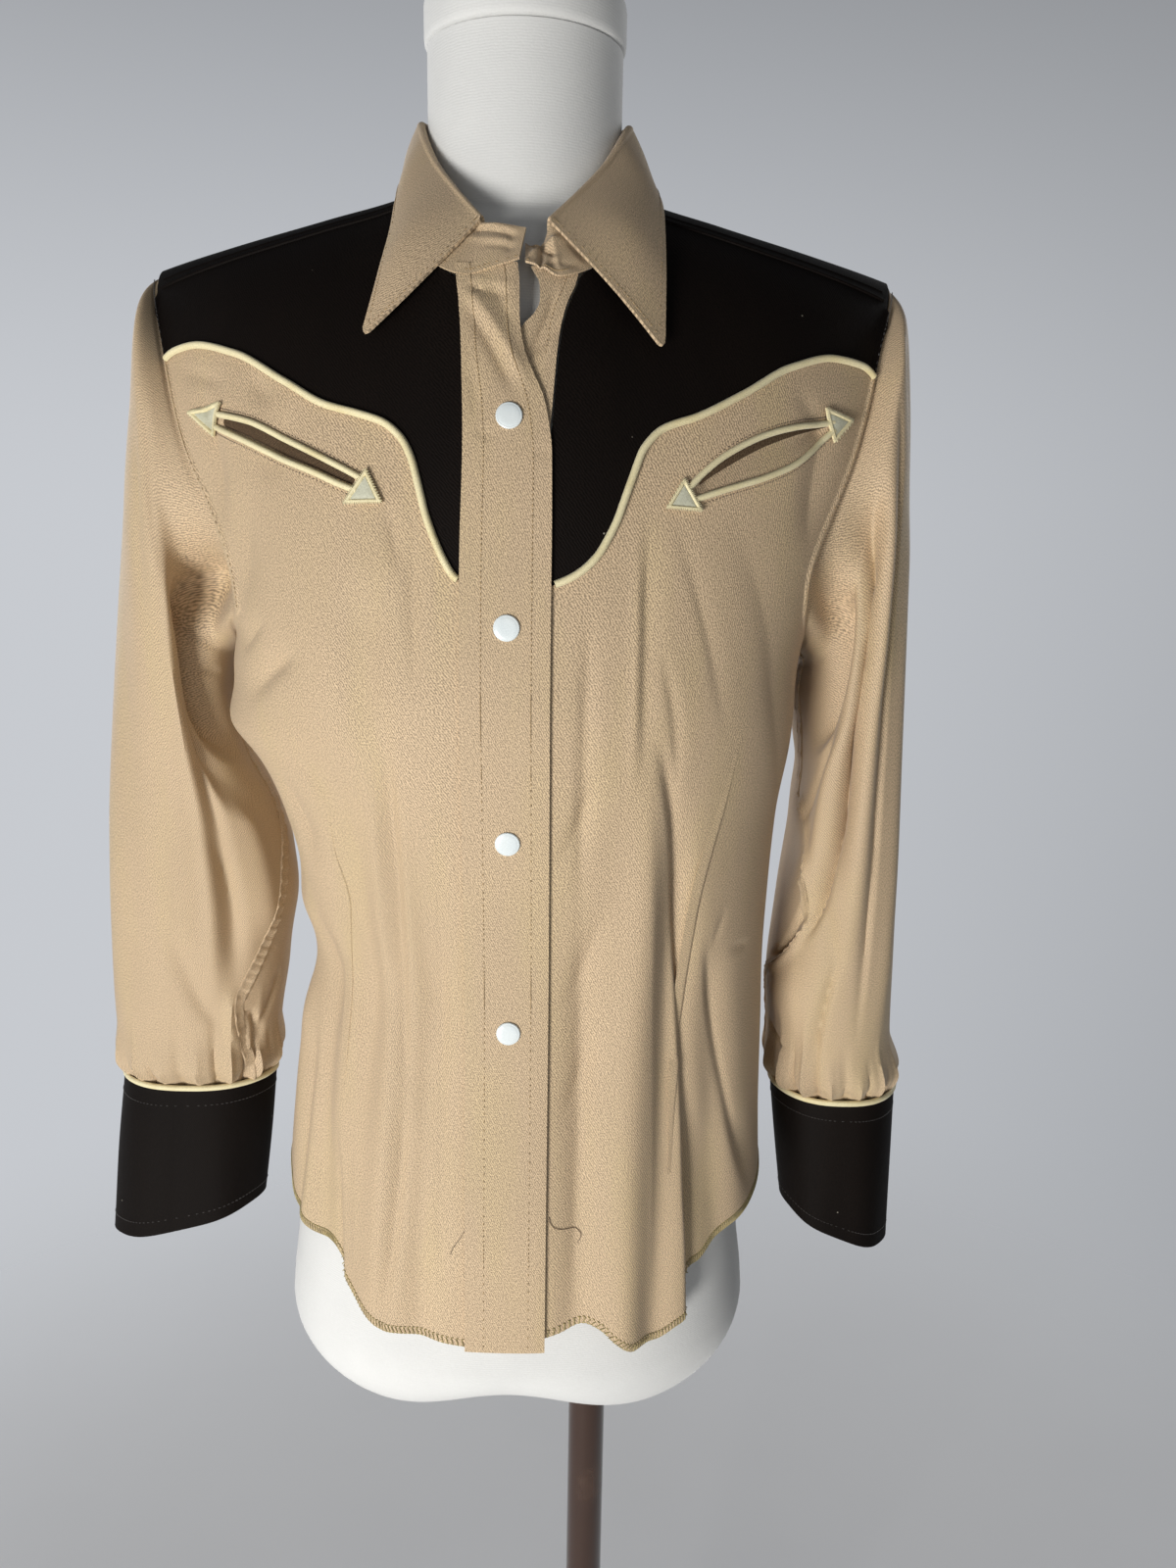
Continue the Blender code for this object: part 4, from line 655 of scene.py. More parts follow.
SLEEVE_CREASES_LEFT = table(
    "x_top   z_top   x_end   z_end   bow     width   depth    lean   fade",
    (0.0500, -0.0300, 0.0640, -0.4200, 0.0010, 0.0036, -0.0026, 0.40, 0.25),
    (0.0300, -0.0300, 0.0360, -0.1700, 0.0010, 0.0060, -0.0020, 0.00, 0.35),
    (0.0900, -0.0300, 0.0820, -0.1500, 0.0020, 0.0050, -0.0026, 0.00, 0.35),
    (0.0850, -0.2350, 0.1070, -0.3240, -0.0030, 0.0050, -0.0064, 0.20, 0.25),
    (0.1450, -0.1800, 0.1120, -0.2980, -0.0050, 0.0036, -0.0036, 0.55, 0.25),
    (0.1400, -0.1800, 0.1060, -0.2980, -0.0050, 0.0030, 0.0030, 0.00, 0.18),
    (0.1090, -0.2900, 0.1440, -0.3480, -0.0060, 0.0038, -0.0048, -0.40, 0.25),
    (0.1030, -0.2960, 0.1400, -0.3560, -0.0060, 0.0036, 0.0032, 0.00, 0.20),
    (0.0780, -0.3300, 0.0900, -0.4250, 0.0020, 0.0040, -0.0030, 0.30, 0.30),
    (0.1420, -0.4000, 0.1120, -0.4180, 0.0020, 0.0034, -0.0032, 0.00, 0.30),
    (0.1060, -0.1300, 0.1260, -0.2300, 0.0030, 0.0050, -0.0028, 0.00, 0.35),
    (0.0760, -0.0300, 0.0720, -0.1000, 0.0010, 0.0036, -0.0018, 0.00, 0.40),
    (0.0700, -0.1200, 0.0980, -0.3400, 0.0050, 0.0060, -0.0020, 0.00, 0.35),
    (0.1000, -0.2400, 0.0720, -0.3600, 0.0060, 0.0060, -0.0020, 0.00, 0.35),
    (0.0200, -0.2000, 0.0180, -0.4200, 0.0000, 0.0090, -0.0012, 0.00, 0.40),
    (-0.0700, -0.1000, -0.0400, -0.2900, 0.0060, 0.0120, -0.0024, 0.00, 0.40),
    (-0.0900, -0.2400, -0.0500, -0.3100, 0.0000, 0.0080, -0.0020, 0.00, 0.40),
    (-0.0800, -0.3100, -0.1100, -0.4400, 0.0060, 0.0080, -0.0022, 0.00, 0.35),
)
# The gathers into each cuff: degrees round, how far up the sleeve each reaches, width and height
GATHERS = table(
    "angle  reach  width  height",
    (6.0, 0.046, 3.0, 0.0027),
    (19.0, 0.030, 2.6, -0.0029),
    (31.0, 0.052, 2.8, 0.0032),
    (44.0, 0.034, 2.5, -0.0032),
    (55.0, 0.062, 2.6, 0.0034),
    (67.0, 0.044, 2.5, -0.0037),
    (77.0, 0.034, 2.5, 0.0032),
    (88.0, 0.056, 2.6, -0.0039),
    (99.0, 0.048, 2.6, 0.0039),
    (111.0, 0.072, 2.8, -0.0049),
    (122.0, 0.088, 3.0, 0.0054),
    (134.0, 0.070, 2.8, -0.0051),
    (146.0, 0.094, 3.0, 0.0051),
    (159.0, 0.050, 2.8, -0.0039),
    (173.0, 0.060, 3.1, 0.0034),
    (190.0, 0.044, 3.0, -0.0032),
    (206.0, 0.066, 3.1, 0.0037),
    (224.0, 0.040, 3.0, -0.0032),
    (241.0, 0.070, 3.1, 0.0037),
    (258.0, 0.044, 3.0, -0.0032),
    (276.0, 0.058, 3.1, 0.0034),
    (295.0, 0.040, 3.0, -0.0029),
    (313.0, 0.056, 3.1, 0.0032),
    (336.0, 0.036, 3.0, -0.0027),
)
# Each sleeve's felled inner seam: degrees round and shares of the length
SLEEVE_SEAM_RIGHT = table(
    "angle  share",
    (182.0, 0.06),
    (181.0, 0.42),
    (176.0, 0.50),
    (168.0, 0.57),
    (161.0, 0.64),
    (150.0, 0.72),
    (134.0, 0.80),
    (128.0, 0.84),
    (132.0, 0.90),
    (139.0, 0.96),
    (141.0, 0.998),
)
SLEEVE_SEAM_LEFT = table(
    "angle  share",
    (184.0, 0.06),
    (180.0, 0.40),
    (161.0, 0.48),
    (145.0, 0.56),
    (137.0, 0.62),
    (138.0, 0.67),
    (148.0, 0.71),
    (166.0, 0.745),
    (182.0, 0.78),
    (196.0, 0.86),
    (200.0, 0.998),
)
# The smile pockets' welts, from the side towards the centre, and their arrow tabs' corners
POCKET_RIGHT = table(
    "upper_x upper_z lower_x lower_z",
    (0.1420, 1.1256, 0.1460, 1.1205),
    (0.1240, 1.1216, 0.1266, 1.1130),
    (0.1057, 1.1137, 0.1055, 1.1040),
    (0.0907, 1.1071, 0.0905, 1.0986),
    (0.0762, 1.1004, 0.0785, 1.0936),
    (0.0660, 1.0954, 0.0690, 1.0902),
)
POCKET_LEFT = table(
    "upper_x upper_z lower_x lower_z",
    (0.1540, 1.1275, 0.1545, 1.1235),
    (0.1326, 1.1236, 0.1440, 1.1140),
    (0.1177, 1.1192, 0.1331, 1.1064),
    (0.0987, 1.1094, 0.1182, 1.1000),
    (0.0880, 1.1008, 0.0990, 1.0940),
    (0.0810, 1.0935, 0.0850, 1.0893),
)
TABS_RIGHT = table(
    "tip_x tip_z upper_x upper_z lower_x lower_z",
    (0.1596, 1.1270, 0.1396, 1.1306, 0.1468, 1.1154),
    (0.0568, 1.0852, 0.0645, 1.1002, 0.0752, 1.0846),
)
TABS_LEFT = table(
    "tip_x tip_z upper_x upper_z lower_x lower_z",
    (0.1640, 1.1290, 0.1488, 1.1338, 0.1546, 1.1180),
    (0.0708, 1.0850, 0.0790, 1.0984, 0.0878, 1.0840),
)
# The waist darts: each one's line down the front
DART_LEFT = table(
    "x      z",
    (0.1147, 0.9845),
    (0.1075, 0.9444),
    (0.0964, 0.8907),
    (0.0914, 0.8233),
    (0.0880, 0.7850),
    (0.0865, 0.7400),
)
DART_RIGHT = table(
    "x      z",
    (-0.0905, 0.9450),
    (-0.0892, 0.9179),
    (-0.0829, 0.8841),
    (-0.0835, 0.8450),
    (-0.0864, 0.8072),
    (-0.0915, 0.7700),
)


def crease_relief(creases: Columns, x: Array, z: Array) -> Array:
    """Adds up creases, each a bell-shaped trough or ridge across a line.

    A point's t is its share of the way along the line, and the line bows sideways by
    4 bow t(1 - t). With d the distance across the line and w its width, wider on one side by the
    lean, the height is depth times 0.66 exp(-(d / w)^2) + 0.34 exp(-|d| / 0.4 w), a soft bell with
    a crisp middle, and it fades at both ends.

    Args:
        creases: the table of creases.
        x: the points' places across.
        z: the points' heights.

    Returns:
        The relief at each point, outwards being positive.
    """
    total = np.zeros(np.broadcast(x, z).shape)
    for crease in creases.each():
        along = np.array([crease["x_end"] - crease["x_top"], crease["z_end"] - crease["z_top"]])
        length = np.linalg.norm(along)
        ahead = along / length
        dx, dz = x - crease["x_top"], z - crease["z_top"]
        t = (dx * ahead[0] + dz * ahead[1]) / length
        across = -dx * ahead[1] + dz * ahead[0] - crease["bow"] * 4 * t * (1 - t)
        width = crease["width"] * (1 + crease["lean"] * np.sign(across))
        strength = ease(t / crease["fade"]) * ease((1 - t) / crease["fade"])
        soft = np.exp(-((across / width) ** 2))
        crisp = np.exp(0.2 - np.sqrt((across / (0.4 * width)) ** 2 + 0.04))
        total = total + crease["depth"] * strength * (0.66 * soft + 0.34 * crisp)
    return total


def turned_from(degrees: Array, middle: Array | float) -> Array:
    """How far round an angle lies from a middle, between -180 and 180 degrees."""
    return (degrees - middle + 180) % 360 - 180


def fold_height(fold: dict[str, float], degrees: Array, along: Array, strength: Array) -> Array:
    """One fold's height: a bell across a line that runs down from one angle to another."""
    middle = mix(fold["angle_top"], fold["angle_end"], np.clip(along, 0, 1))
    away = turned_from(degrees, middle)
    return fold["depth"] * strength * np.exp(-((away / fold["width"]) ** 2))


def swell_heights(swells: Columns, key: str, degrees: Array, at: Array) -> Array:
    """Swells added up, each a bell round the cloth and another along it, by the key's column."""
    total = np.zeros(np.broadcast(degrees, at).shape)
    for swell in swells.each():
        away = turned_from(degrees, swell["angle"]) / swell["width"]
        along = (at - swell[key]) / swell["reach"]
        total = total + swell["height"] * np.exp(-(away**2) - along**2)
    return total


def round_share(x: Array, half_width: Array) -> Array:
    """The depth of a rounded section beside its middle, as a share of its full depth."""
    share = np.clip(np.abs(x) / half_width, 0.0, 1.0)
    return (1 - share**SQUARE) ** (1 / SQUARE)


def shoulder_share(top: Array, z: Array) -> Array:
    """A section's share of its depth: a quarter circle from the bust up to nothing at the top."""
    down = np.clip((top - z) / (top - BUST_Z), 0.0, 1.0)
    return np.sqrt(1 - (1 - down) ** 2)


# ---- Shader nodes ----


Colour = tuple[float, float, float]


class Tree:
    """A short way to lay and join nodes in one shader tree."""

    def __init__(self, tree: bpy.types.NodeTree) -> None:
        """Takes the tree to work in."""
        self.tree = tree

    def add(self, kind: str, **settings: object) -> bpy.types.Node:
        """Adds a node of a kind and sets its properties."""
        node = self.tree.nodes.new(kind)
        for name, value in settings.items():
            setattr(node, name, value)
        return node

    def put(self, value: object, socket: bpy.types.NodeSocket) -> None:
        """Joins an output to a socket, or sets the socket's own value."""
        if isinstance(value, bpy.types.NodeSocket):
            self.tree.links.new(value, socket)
        else:
            socket.default_value = value

    def math(self, operation: str, *values: object) -> bpy.types.NodeSocket:
        """One step of arithmetic on numbers or outputs."""
        node = self.add("ShaderNodeMath", operation=operation)
        for value, socket in zip(values, node.inputs):
            self.put(value, socket)
        return node.outputs[0]

    def noise(self, vector: object, scale: object, detail: float) -> bpy.types.NodeSocket:
        """A soft noise between 0 and 1, at so many cells a metre."""
        node = self.add("ShaderNodeTexNoise")
        for name, value in (("Vector", vector), ("Scale", scale), ("Detail", detail)):
            self.put(value, node.inputs[name])
        return node.outputs[0]

    def stretch(self, vector: object, scale: tuple[float, float, float]) -> bpy.types.NodeSocket:
        """A vector scaled by its three axes."""
        node = self.add("ShaderNodeMapping")
        self.put(vector, node.inputs["Vector"])
        node.inputs["Scale"].default_value = scale
        return node.outputs[0]

    def step(self, value: object, low: object, high: object) -> bpy.types.NodeSocket:
        """From 0 at low to 1 at high, level outside."""
        node = self.add("ShaderNodeMapRange", interpolation_type="SMOOTHSTEP")
        for given, name in ((value, "Value"), (low, "From Min"), (high, "From Max")):
            self.put(given, node.inputs[name])
        return node.outputs[0]

    def blend(self, share: object, first: object, second: object) -> bpy.types.NodeSocket:
        """A colour a share of the way from the first to the second, each fixed or an output."""
        node = self.add("ShaderNodeMix", data_type="RGBA")
        self.put(share, node.inputs[0])
        for colour, socket in ((first, node.inputs[6]), (second, node.inputs[7])):
            self.put((*colour, 1.0) if isinstance(colour, tuple) else colour, socket)
        return node.outputs[2]

    def group(self, tree: bpy.types.NodeTree, **values: object) -> bpy.types.Node:
        """Places a node group, with its inputs by name, a space being written _."""
        node = self.add("ShaderNodeGroup", node_tree=tree)
        for name, value in values.items():
            self.put(value, node.inputs[name.replace("_", " ")])
        return node


def new_group(
    name: str, inputs: dict[str, object], outputs: tuple[str, ...]
) -> tuple[Tree, bpy.types.Node, bpy.types.Node]:
    """A shader node group with named inputs and outputs.

    Args:
        name: the group's name.
        inputs: each input's starting value, or None for a vector.
        outputs: the names of its number outputs.

    Returns:
        The group's tree, its input node and its output node.
    """
    group = bpy.data.node_groups.new(name, "ShaderNodeTree")
    for label, value in inputs.items():
        kind = "NodeSocketVector" if value is None else "NodeSocketFloat"
        socket = group.interface.new_socket(label, in_out="INPUT", socket_type=kind)
        if value is not None:
            socket.default_value = value
    for label in outputs:
        group.interface.new_socket(label, in_out="OUTPUT", socket_type="NodeSocketFloat")
    tree = Tree(group)
    return tree, tree.add("NodeGroupInput"), tree.add("NodeGroupOutput")


def twill_group() -> bpy.types.NodeTree:
    """A steep fine twill on flat cloth: ribs at a slant, broken up by noise, and an uneven grain.

    The rib's phase is (x + y / Slant) / Pitch plus a noise, its height half a sine wave up.
    """
    tree, given, out = new_group(
        "twill_weave", {"Flat": None, "Pitch": 0.001, "Slant": 2.0}, ("Height", "Tone")
    )
    flat, pitch = given.outputs["Flat"], given.outputs["Pitch"]
    parts = tree.add("ShaderNodeSeparateXYZ")
    tree.put(flat, parts.inputs[0])
    wobble = tree.noise(flat, 380.0, 1.0)
    slanted = tree.math("DIVIDE", parts.outputs[1], given.outputs["Slant"])
    phase = tree.math("DIVIDE", tree.math("ADD", parts.outputs[0], slanted), pitch)
    phase = tree.math("MULTIPLY_ADD", wobble, 1.6, phase)
    rib = tree.math("SINE", tree.math("MULTIPLY", phase, 6.2832))
    grain = tree.noise(flat, 1300.0, 2.0)
    grain = tree.math("MULTIPLY", tree.math("SUBTRACT", grain, 0.5), 3.6)
    for name, rib_share, grain_share in (("Height", 0.30, 0.16), ("Tone", 0.40, 0.90)):
        ribs = tree.math("MULTIPLY_ADD", rib, rib_share, 0.5)
        tree.put(tree.math("MULTIPLY_ADD", grain, grain_share, ribs), out.inputs[name])
    return tree.tree


def mottle_group() -> bpy.types.NodeTree:
    """Broad soft unevenness of colour: a large noise and a finer one, eased between two levels."""
    tree, given, out = new_group(
        "mottle", {"Place": None, "Size": 8.0, "Low": 0.4, "High": 0.7}, ("Mask",)
    )
    place, size, low, high = (given.outputs[name] for name in ("Place", "Size", "Low", "High"))
    tree.put(tree.step(tree.noise(place, size, 4.0), low, high), out.inputs["Mask"])
    return tree.tree


def speck_group() -> bpy.types.NodeTree:
    """Small scattered specks, such as lint: the middles of a few cells of a cell pattern."""
    tree, given, out = new_group("specks", {"Place": None, "Density": 90.0, "Size": 0.1}, ("Mask",))
    cells = tree.add("ShaderNodeTexVoronoi")
    tree.put(given.outputs["Place"], cells.inputs["Vector"])
    tree.put(given.outputs["Density"], cells.inputs["Scale"])
    near = tree.math("LESS_THAN", cells.outputs["Distance"], given.outputs["Size"])
    parts = tree.add("ShaderNodeSeparateXYZ")
    tree.put(cells.outputs["Color"], parts.inputs[0])
    some = tree.math("GREATER_THAN", parts.outputs[0], 0.75)
    tree.put(tree.math("MULTIPLY", near, some), out.inputs["Mask"])
    return tree.tree


class Groups:
    """The node groups that the finishes share, each built once."""

    def __init__(self) -> None:
        """Builds the groups."""
        self.twill = twill_group()
        self.mottle = mottle_group()
        self.specks = speck_group()


LINT_COLOUR: Colour = (0.6, 0.55, 0.45)


def dimmed(colour: Colour, share: float) -> Colour:
    """The colour at a share of its brightness."""
    return tuple(share * part for part in colour)


class Draft:
    """A material in the making: its tree, its shader and the places on the piece."""

    def __init__(self, name: str, groups: Groups) -> None:
        """Starts a new material."""
        self.groups = groups
        self.material = bpy.data.materials.new(name)
        self.material.use_nodes = True
        self.tree = Tree(self.material.node_tree)
        self.shader = self.material.node_tree.nodes["Principled BSDF"]
        self.place = self.tree.add("ShaderNodeTexCoord").outputs["Object"]

    def mask(
        self, size: float, low: float, high: float, place: bpy.types.NodeSocket | None = None
    ) -> bpy.types.NodeSocket:
        """A soft mask of patches, so many a metre, here or at places of its own."""
        place = place or self.place
        return self.tree.group(self.groups.mottle, Place=place, Size=size, Low=low, High=high).outputs[0]

    def weave(self, pitch: float, slant: float) -> bpy.types.Node:
        """A twill on the cloth's own flat coordinates."""
        flat = self.tree.add("ShaderNodeUVMap", uv_map="flat").outputs[0]
        return self.tree.group(self.groups.twill, Flat=flat, Pitch=pitch, Slant=slant)

    def shaded(
        self, colour: bpy.types.NodeSocket, weave: bpy.types.Node, grain: float, deep: Colour
    ) -> bpy.types.NodeSocket:
        """Darkens a colour between the weave's threads."""
        hollow = self.tree.math("SUBTRACT", 1.0, weave.outputs["Tone"])
        return self.tree.blend(self.tree.math("MULTIPLY", hollow, grain), colour, deep)

    def bump(self, height: bpy.types.NodeSocket, distance: float, amount: float) -> None:
        """Feeds a height to the shader's normal, at a real distance in metres."""
        node = self.tree.add("ShaderNodeBump")
        for name, value in (("Strength", amount), ("Distance", distance), ("Height", height)):
            self.tree.put(value, node.inputs[name])
        self.tree.put(node.outputs[0], self.shader.inputs["Normal"])

    def settle(self, colour: bpy.types.NodeSocket, **values: object) -> bpy.types.Material:
        """Sets the colour and the shader's other inputs by name, a space being written _."""
        self.tree.put(colour, self.shader.inputs["Base Color"])
        for name, value in values.items():
            self.tree.put(value, self.shader.inputs[name.replace("_", " ")])
        return self.material


@dataclass(frozen=True)
class Gabardine:
    """A fine steep twill with a soft sheen, faintly uneven and aged."""

    name: str
    colour: Colour
    shade: Colour
    aged: Colour
    aged_share: float
    lint: float
    sheen: float
    gloss: float
    grain: float = 0.95
    pitch: float = 0.00110
    slant: float = 1.9

    def material(self, groups: Groups) -> bpy.types.Material:
        """Builds the cloth's material on its own flat coordinates."""
        draft = Draft(self.name, groups)
        tree, place = draft.tree, draft.place
        weave = draft.weave(self.pitch, self.slant)
        colour = tree.blend(draft.mask(9.0, 0.35, 0.7), self.colour, self.shade)
        streaks = draft.mask(1.0, 0.45, 0.75, tree.stretch(place, (34.0, 34.0, 7.0)))
        colour = tree.blend(tree.math("MULTIPLY", streaks, self.aged_share), colour, self.aged)
        colour = draft.shaded(colour, weave, self.grain, dimmed(self.colour, 0.4))
        specks = tree.group(groups.specks, Place=place, Density=85.0, Size=0.035)
        share = tree.math("MULTIPLY", specks.outputs[0], self.lint)
        colour = tree.blend(share, colour, LINT_COLOUR)
        fuzz = tree.noise(place, 420.0, 3.0)
        height = tree.math("MULTIPLY_ADD", fuzz, 0.3, weave.outputs["Height"])
        unpressed = tree.noise(tree.stretch(place, (1.0, 1.0, 0.5)), 24.0, 1.0)
        draft.bump(tree.math("MULTIPLY_ADD", unpressed, 2.0, height), 0.00022, 0.55)
        return draft.settle(
            colour,
            Roughness=0.66,
            Specular_IOR_Level=self.gloss,
            Sheen_Weight=self.sheen,
            Sheen_Roughness=0.4,
        )


@dataclass(frozen=True)
class Satin:
    """A satin-covered cord or patch, ribbed across and a little soiled."""

    name: str
    colour: Colour
    soil: Colour
    rib: float = 0.0007

    def material(self, groups: Groups) -> bpy.types.Material:
        """Builds the satin's material on its own flat coordinates."""
        draft = Draft(self.name, groups)
        weave = draft.weave(self.rib, 1.0)
        colour = draft.tree.blend(draft.mask(60.0, 0.45, 0.8), self.colour, self.soil)
        colour = draft.shaded(colour, weave, 0.3, dimmed(self.soil, 0.5))
        draft.bump(weave.outputs["Height"], 0.00015, 0.6)
        return draft.settle(colour, Roughness=0.5, Sheen_Weight=0.2)


@dataclass(frozen=True)
class Thread:
    """Twisted sewing thread."""

    name: str
    colour: Colour

    def material(self, groups: Groups) -> bpy.types.Material:
        """Builds the thread's material."""
        draft = Draft(self.name, groups)
        colour = draft.tree.blend(draft.mask(300.0, 0.3, 0.7), self.colour, dimmed(self.colour, 0.6))
        draft.bump(draft.tree.noise(draft.place, 3000.0, 1.0), 0.0001, 0.4)
        return draft.settle(colour, Roughness=0.6, Sheen_Weight=0.3)


@dataclass(frozen=True)
class Pearl:
    """A pearly snap cap, smooth and slightly cloudy."""

    name: str
    colour: Colour
    cloud: Colour

    def material(self, groups: Groups) -> bpy.types.Material:
        """Builds the cap's material."""
        draft = Draft(self.name, groups)
        cloudy = draft.mask(160.0, 0.35, 0.7)
        rough = draft.tree.math("MULTIPLY_ADD", cloudy, 0.12, 0.2)
        draft.bump(draft.tree.noise(draft.place, 500.0, 2.0), 0.00006, 0.3)
        colour = draft.tree.blend(cloudy, self.colour, self.cloud)
        return draft.settle(colour, Roughness=rough, Coat_Weight=0.4, Coat_Roughness=0.1)


@dataclass(frozen=True)
class Jersey:
    """The form's cover: a fine knit, stretched smooth, slightly grey where it is handled."""

    name: str
    colour: Colour
    grey: Colour

    def material(self, groups: Groups) -> bpy.types.Material:
        """Builds the cover's material."""
        draft = Draft(self.name, groups)
        tree = draft.tree
        colour = tree.blend(draft.mask(14.0, 0.35, 0.75), self.colour, self.grey)
        fleck = tree.noise(draft.place, 900.0, 2.0)
        share = tree.math("MULTIPLY", fleck, 0.22)
        colour = tree.blend(share, colour, dimmed(self.grey, 0.72))
        rows = tree.add("ShaderNodeTexWave", bands_direction="Z")
        for name, value in (("Vector", draft.place), ("Scale", 240.0), ("Distortion", 3.0)):
            tree.put(value, rows.inputs[name])
        draft.bump(tree.math("MULTIPLY_ADD", rows.outputs["Fac"], 0.4, fleck), 0.00018, 0.5)
        return draft.settle(colour, Roughness=0.85, Sheen_Weight=0.25, Specular_IOR_Level=0.25)


@dataclass(frozen=True)
class Enamel:
    """Glossy brown enamel on metal, with a slight orange peel and faint rubbed patches."""

    name: str
    colour: Colour
    rubbed: Colour

    def material(self, groups: Groups) -> bpy.types.Material:
        """Builds the stand's material."""
        draft = Draft(self.name, groups)
        worn = draft.mask(26.0, 0.5, 0.85)
        rough = draft.tree.math("MULTIPLY_ADD", worn, 0.18, 0.2)
        draft.bump(draft.tree.noise(draft.place, 220.0, 2.0), 0.0001, 0.25)
        colour = draft.tree.blend(worn, self.colour, self.rubbed)
        return draft.settle(colour, Roughness=rough, Coat_Weight=0.5, Coat_Roughness=0.12)


@dataclass(frozen=True)
class Plaster:
    """The studio's pale floor, which fades out into the background."""

    name: str
    colour: Colour
    near: float = 0.5  # it starts to fade this far from the middle
    far: float = 1.6

    def material(self, groups: Groups) -> bpy.types.Material:
        """Builds the floor's material."""
        draft = Draft(self.name, groups)
        tree = draft.tree
        colour = tree.blend(draft.mask(3.0, 0.3, 0.8), self.colour, dimmed(self.colour, 0.96))
        away = tree.add("ShaderNodeVectorMath", operation="LENGTH")
        tree.put(draft.place, away.inputs[0])
        gone = tree.step(away.outputs["Value"], self.near, self.far)
        return draft.settle(colour, Roughness=0.8, Alpha=tree.math("SUBTRACT", 1.0, gone))


class Finish(Enum):
    """The finishes that the pieces are dressed in."""

    TAN = Gabardine(
        name="tan_gabardine",
        colour=(0.730, 0.545, 0.349),
        shade=(0.668, 0.500, 0.316),
        aged=(0.745, 0.585, 0.305),
        aged_share=0.5,
        lint=0.0,
        sheen=0.15,
        gloss=0.35,
    )
    BROWN = Gabardine(
        name="brown_gabardine",
        colour=(0.0076, 0.0050, 0.0038),
        shade=(0.0058, 0.0038, 0.0030),
        aged=(0.0130, 0.0084, 0.0060),
        aged_share=0.4,
        lint=0.5,
        sheen=0.0,
        gloss=0.08,
    )
    # painted shade: tan darkened to stand for the shadow inside the pocket mouths
    POCKET_BAG = Gabardine(
        name="pocket_bag",
        colour=(0.130, 0.085, 0.050),
        shade=(0.110, 0.070, 0.040),
        aged=(0.140, 0.100, 0.055),
        aged_share=0.4,
        lint=0.0,
        sheen=0.0,
        gloss=0.1,
    )
    PIPING = Satin("cream_piping", (0.860, 0.770, 0.480), (0.760, 0.640, 0.340))
    PATCH = Satin("arrow_satin", (0.640, 0.640, 0.500), (0.420, 0.390, 0.250), 0.0006)
    EDGE_THREAD = Thread("cream_thread", (0.820, 0.740, 0.460))
    WELT_THREAD = Thread("welt_thread", (0.130, 0.080, 0.045))
    SEAM_THREAD = Thread("tan_thread", (0.400, 0.270, 0.125))
    HEM_THREAD = Thread("olive_thread", (0.400, 0.320, 0.130))
    DARK_THREAD = Thread("brown_thread", (0.020, 0.014, 0.011))
    SNAP = Pearl("pearl_snap", (0.770, 0.820, 0.820), (0.700, 0.760, 0.770))
    COVER = Jersey("form_jersey", (0.720, 0.720, 0.700), (0.660, 0.660, 0.645))
    ENAMEL = Enamel("brown_enamel", (0.040, 0.018, 0.010), (0.085, 0.045, 0.026))
    FLOOR = Plaster("studio_floor", (0.76, 0.765, 0.775))


class Wardrobe:
    """Gives pieces their finishes, and builds each material once."""

    def __init__(self) -> None:
        """Builds the shared node groups."""
        self.groups = Groups()
        self.made: dict[Finish, bpy.types.Material] = {}

    def dress(self, obj: bpy.types.Object, finish: Finish) -> bpy.types.Object:
        """Puts one finish on a piece, in place of any that it has."""
        if finish not in self.made:
            self.made[finish] = finish.value.material(self.groups)
        obj.data.materials.clear()
        obj.data.materials.append(self.made[finish])
        return obj


# ---- Meshes ----


def add_object(name: str, data: bpy.types.ID) -> bpy.types.Object:
    """Puts a new object with its data into the scene."""
    obj = bpy.data.objects.new(name, data)
    bpy.context.scene.collection.objects.link(obj)
    return obj


def place_mesh(
    name: str, points: Array, faces: list[Array], flats: list[Array] | None = None, sharp: float = 50.0
) -> bpy.types.Object:
    """Puts points and faces into a new object at the origin.

    Args:
        name: the object's name.
        points: the points about the garment's centre line.
        faces: arrays of faces with three or four corners each, by point number.
        flats: for each array of faces, each corner's place on the flat cloth.
        sharp: edges that turn by more degrees than this stay sharp.

    Returns:
        The new object.
    """
    mesh = bpy.data.meshes.new(name)
    points = np.asarray(points, float).reshape(-1, 3) + np.array([FORM_X, 0.0, 0.0])
    corners = np.concatenate([f.ravel() for f in faces]).astype(np.int32)
    sizes = np.concatenate([np.full(len(f), f.shape[1]) for f in faces]).astype(np.int32)
    mesh.vertices.add(len(points))
    mesh.vertices.foreach_set("co", points.astype(np.float32).ravel())
    mesh.loops.add(len(corners))
    mesh.loops.foreach_set("vertex_index", corners)
    mesh.polygons.add(len(sizes))
    starts = np.concatenate([[0], np.cumsum(sizes)[:-1]]).astype(np.int32)
    mesh.polygons.foreach_set("loop_start", starts)
    mesh.polygons.foreach_set("loop_total", sizes)
    mesh.update(calc_edges=True)
    if flats is not None:
        layer = mesh.uv_layers.new(name="flat")
        places = np.concatenate([f.reshape(-1, 2) for f in flats]).astype(np.float32)
        layer.data.foreach_set("uv", places.ravel())
    mesh.validate()
    mesh.shade_smooth()
    mesh.set_sharp_from_angle(angle=np.radians(sharp))
    return add_object(name, mesh)


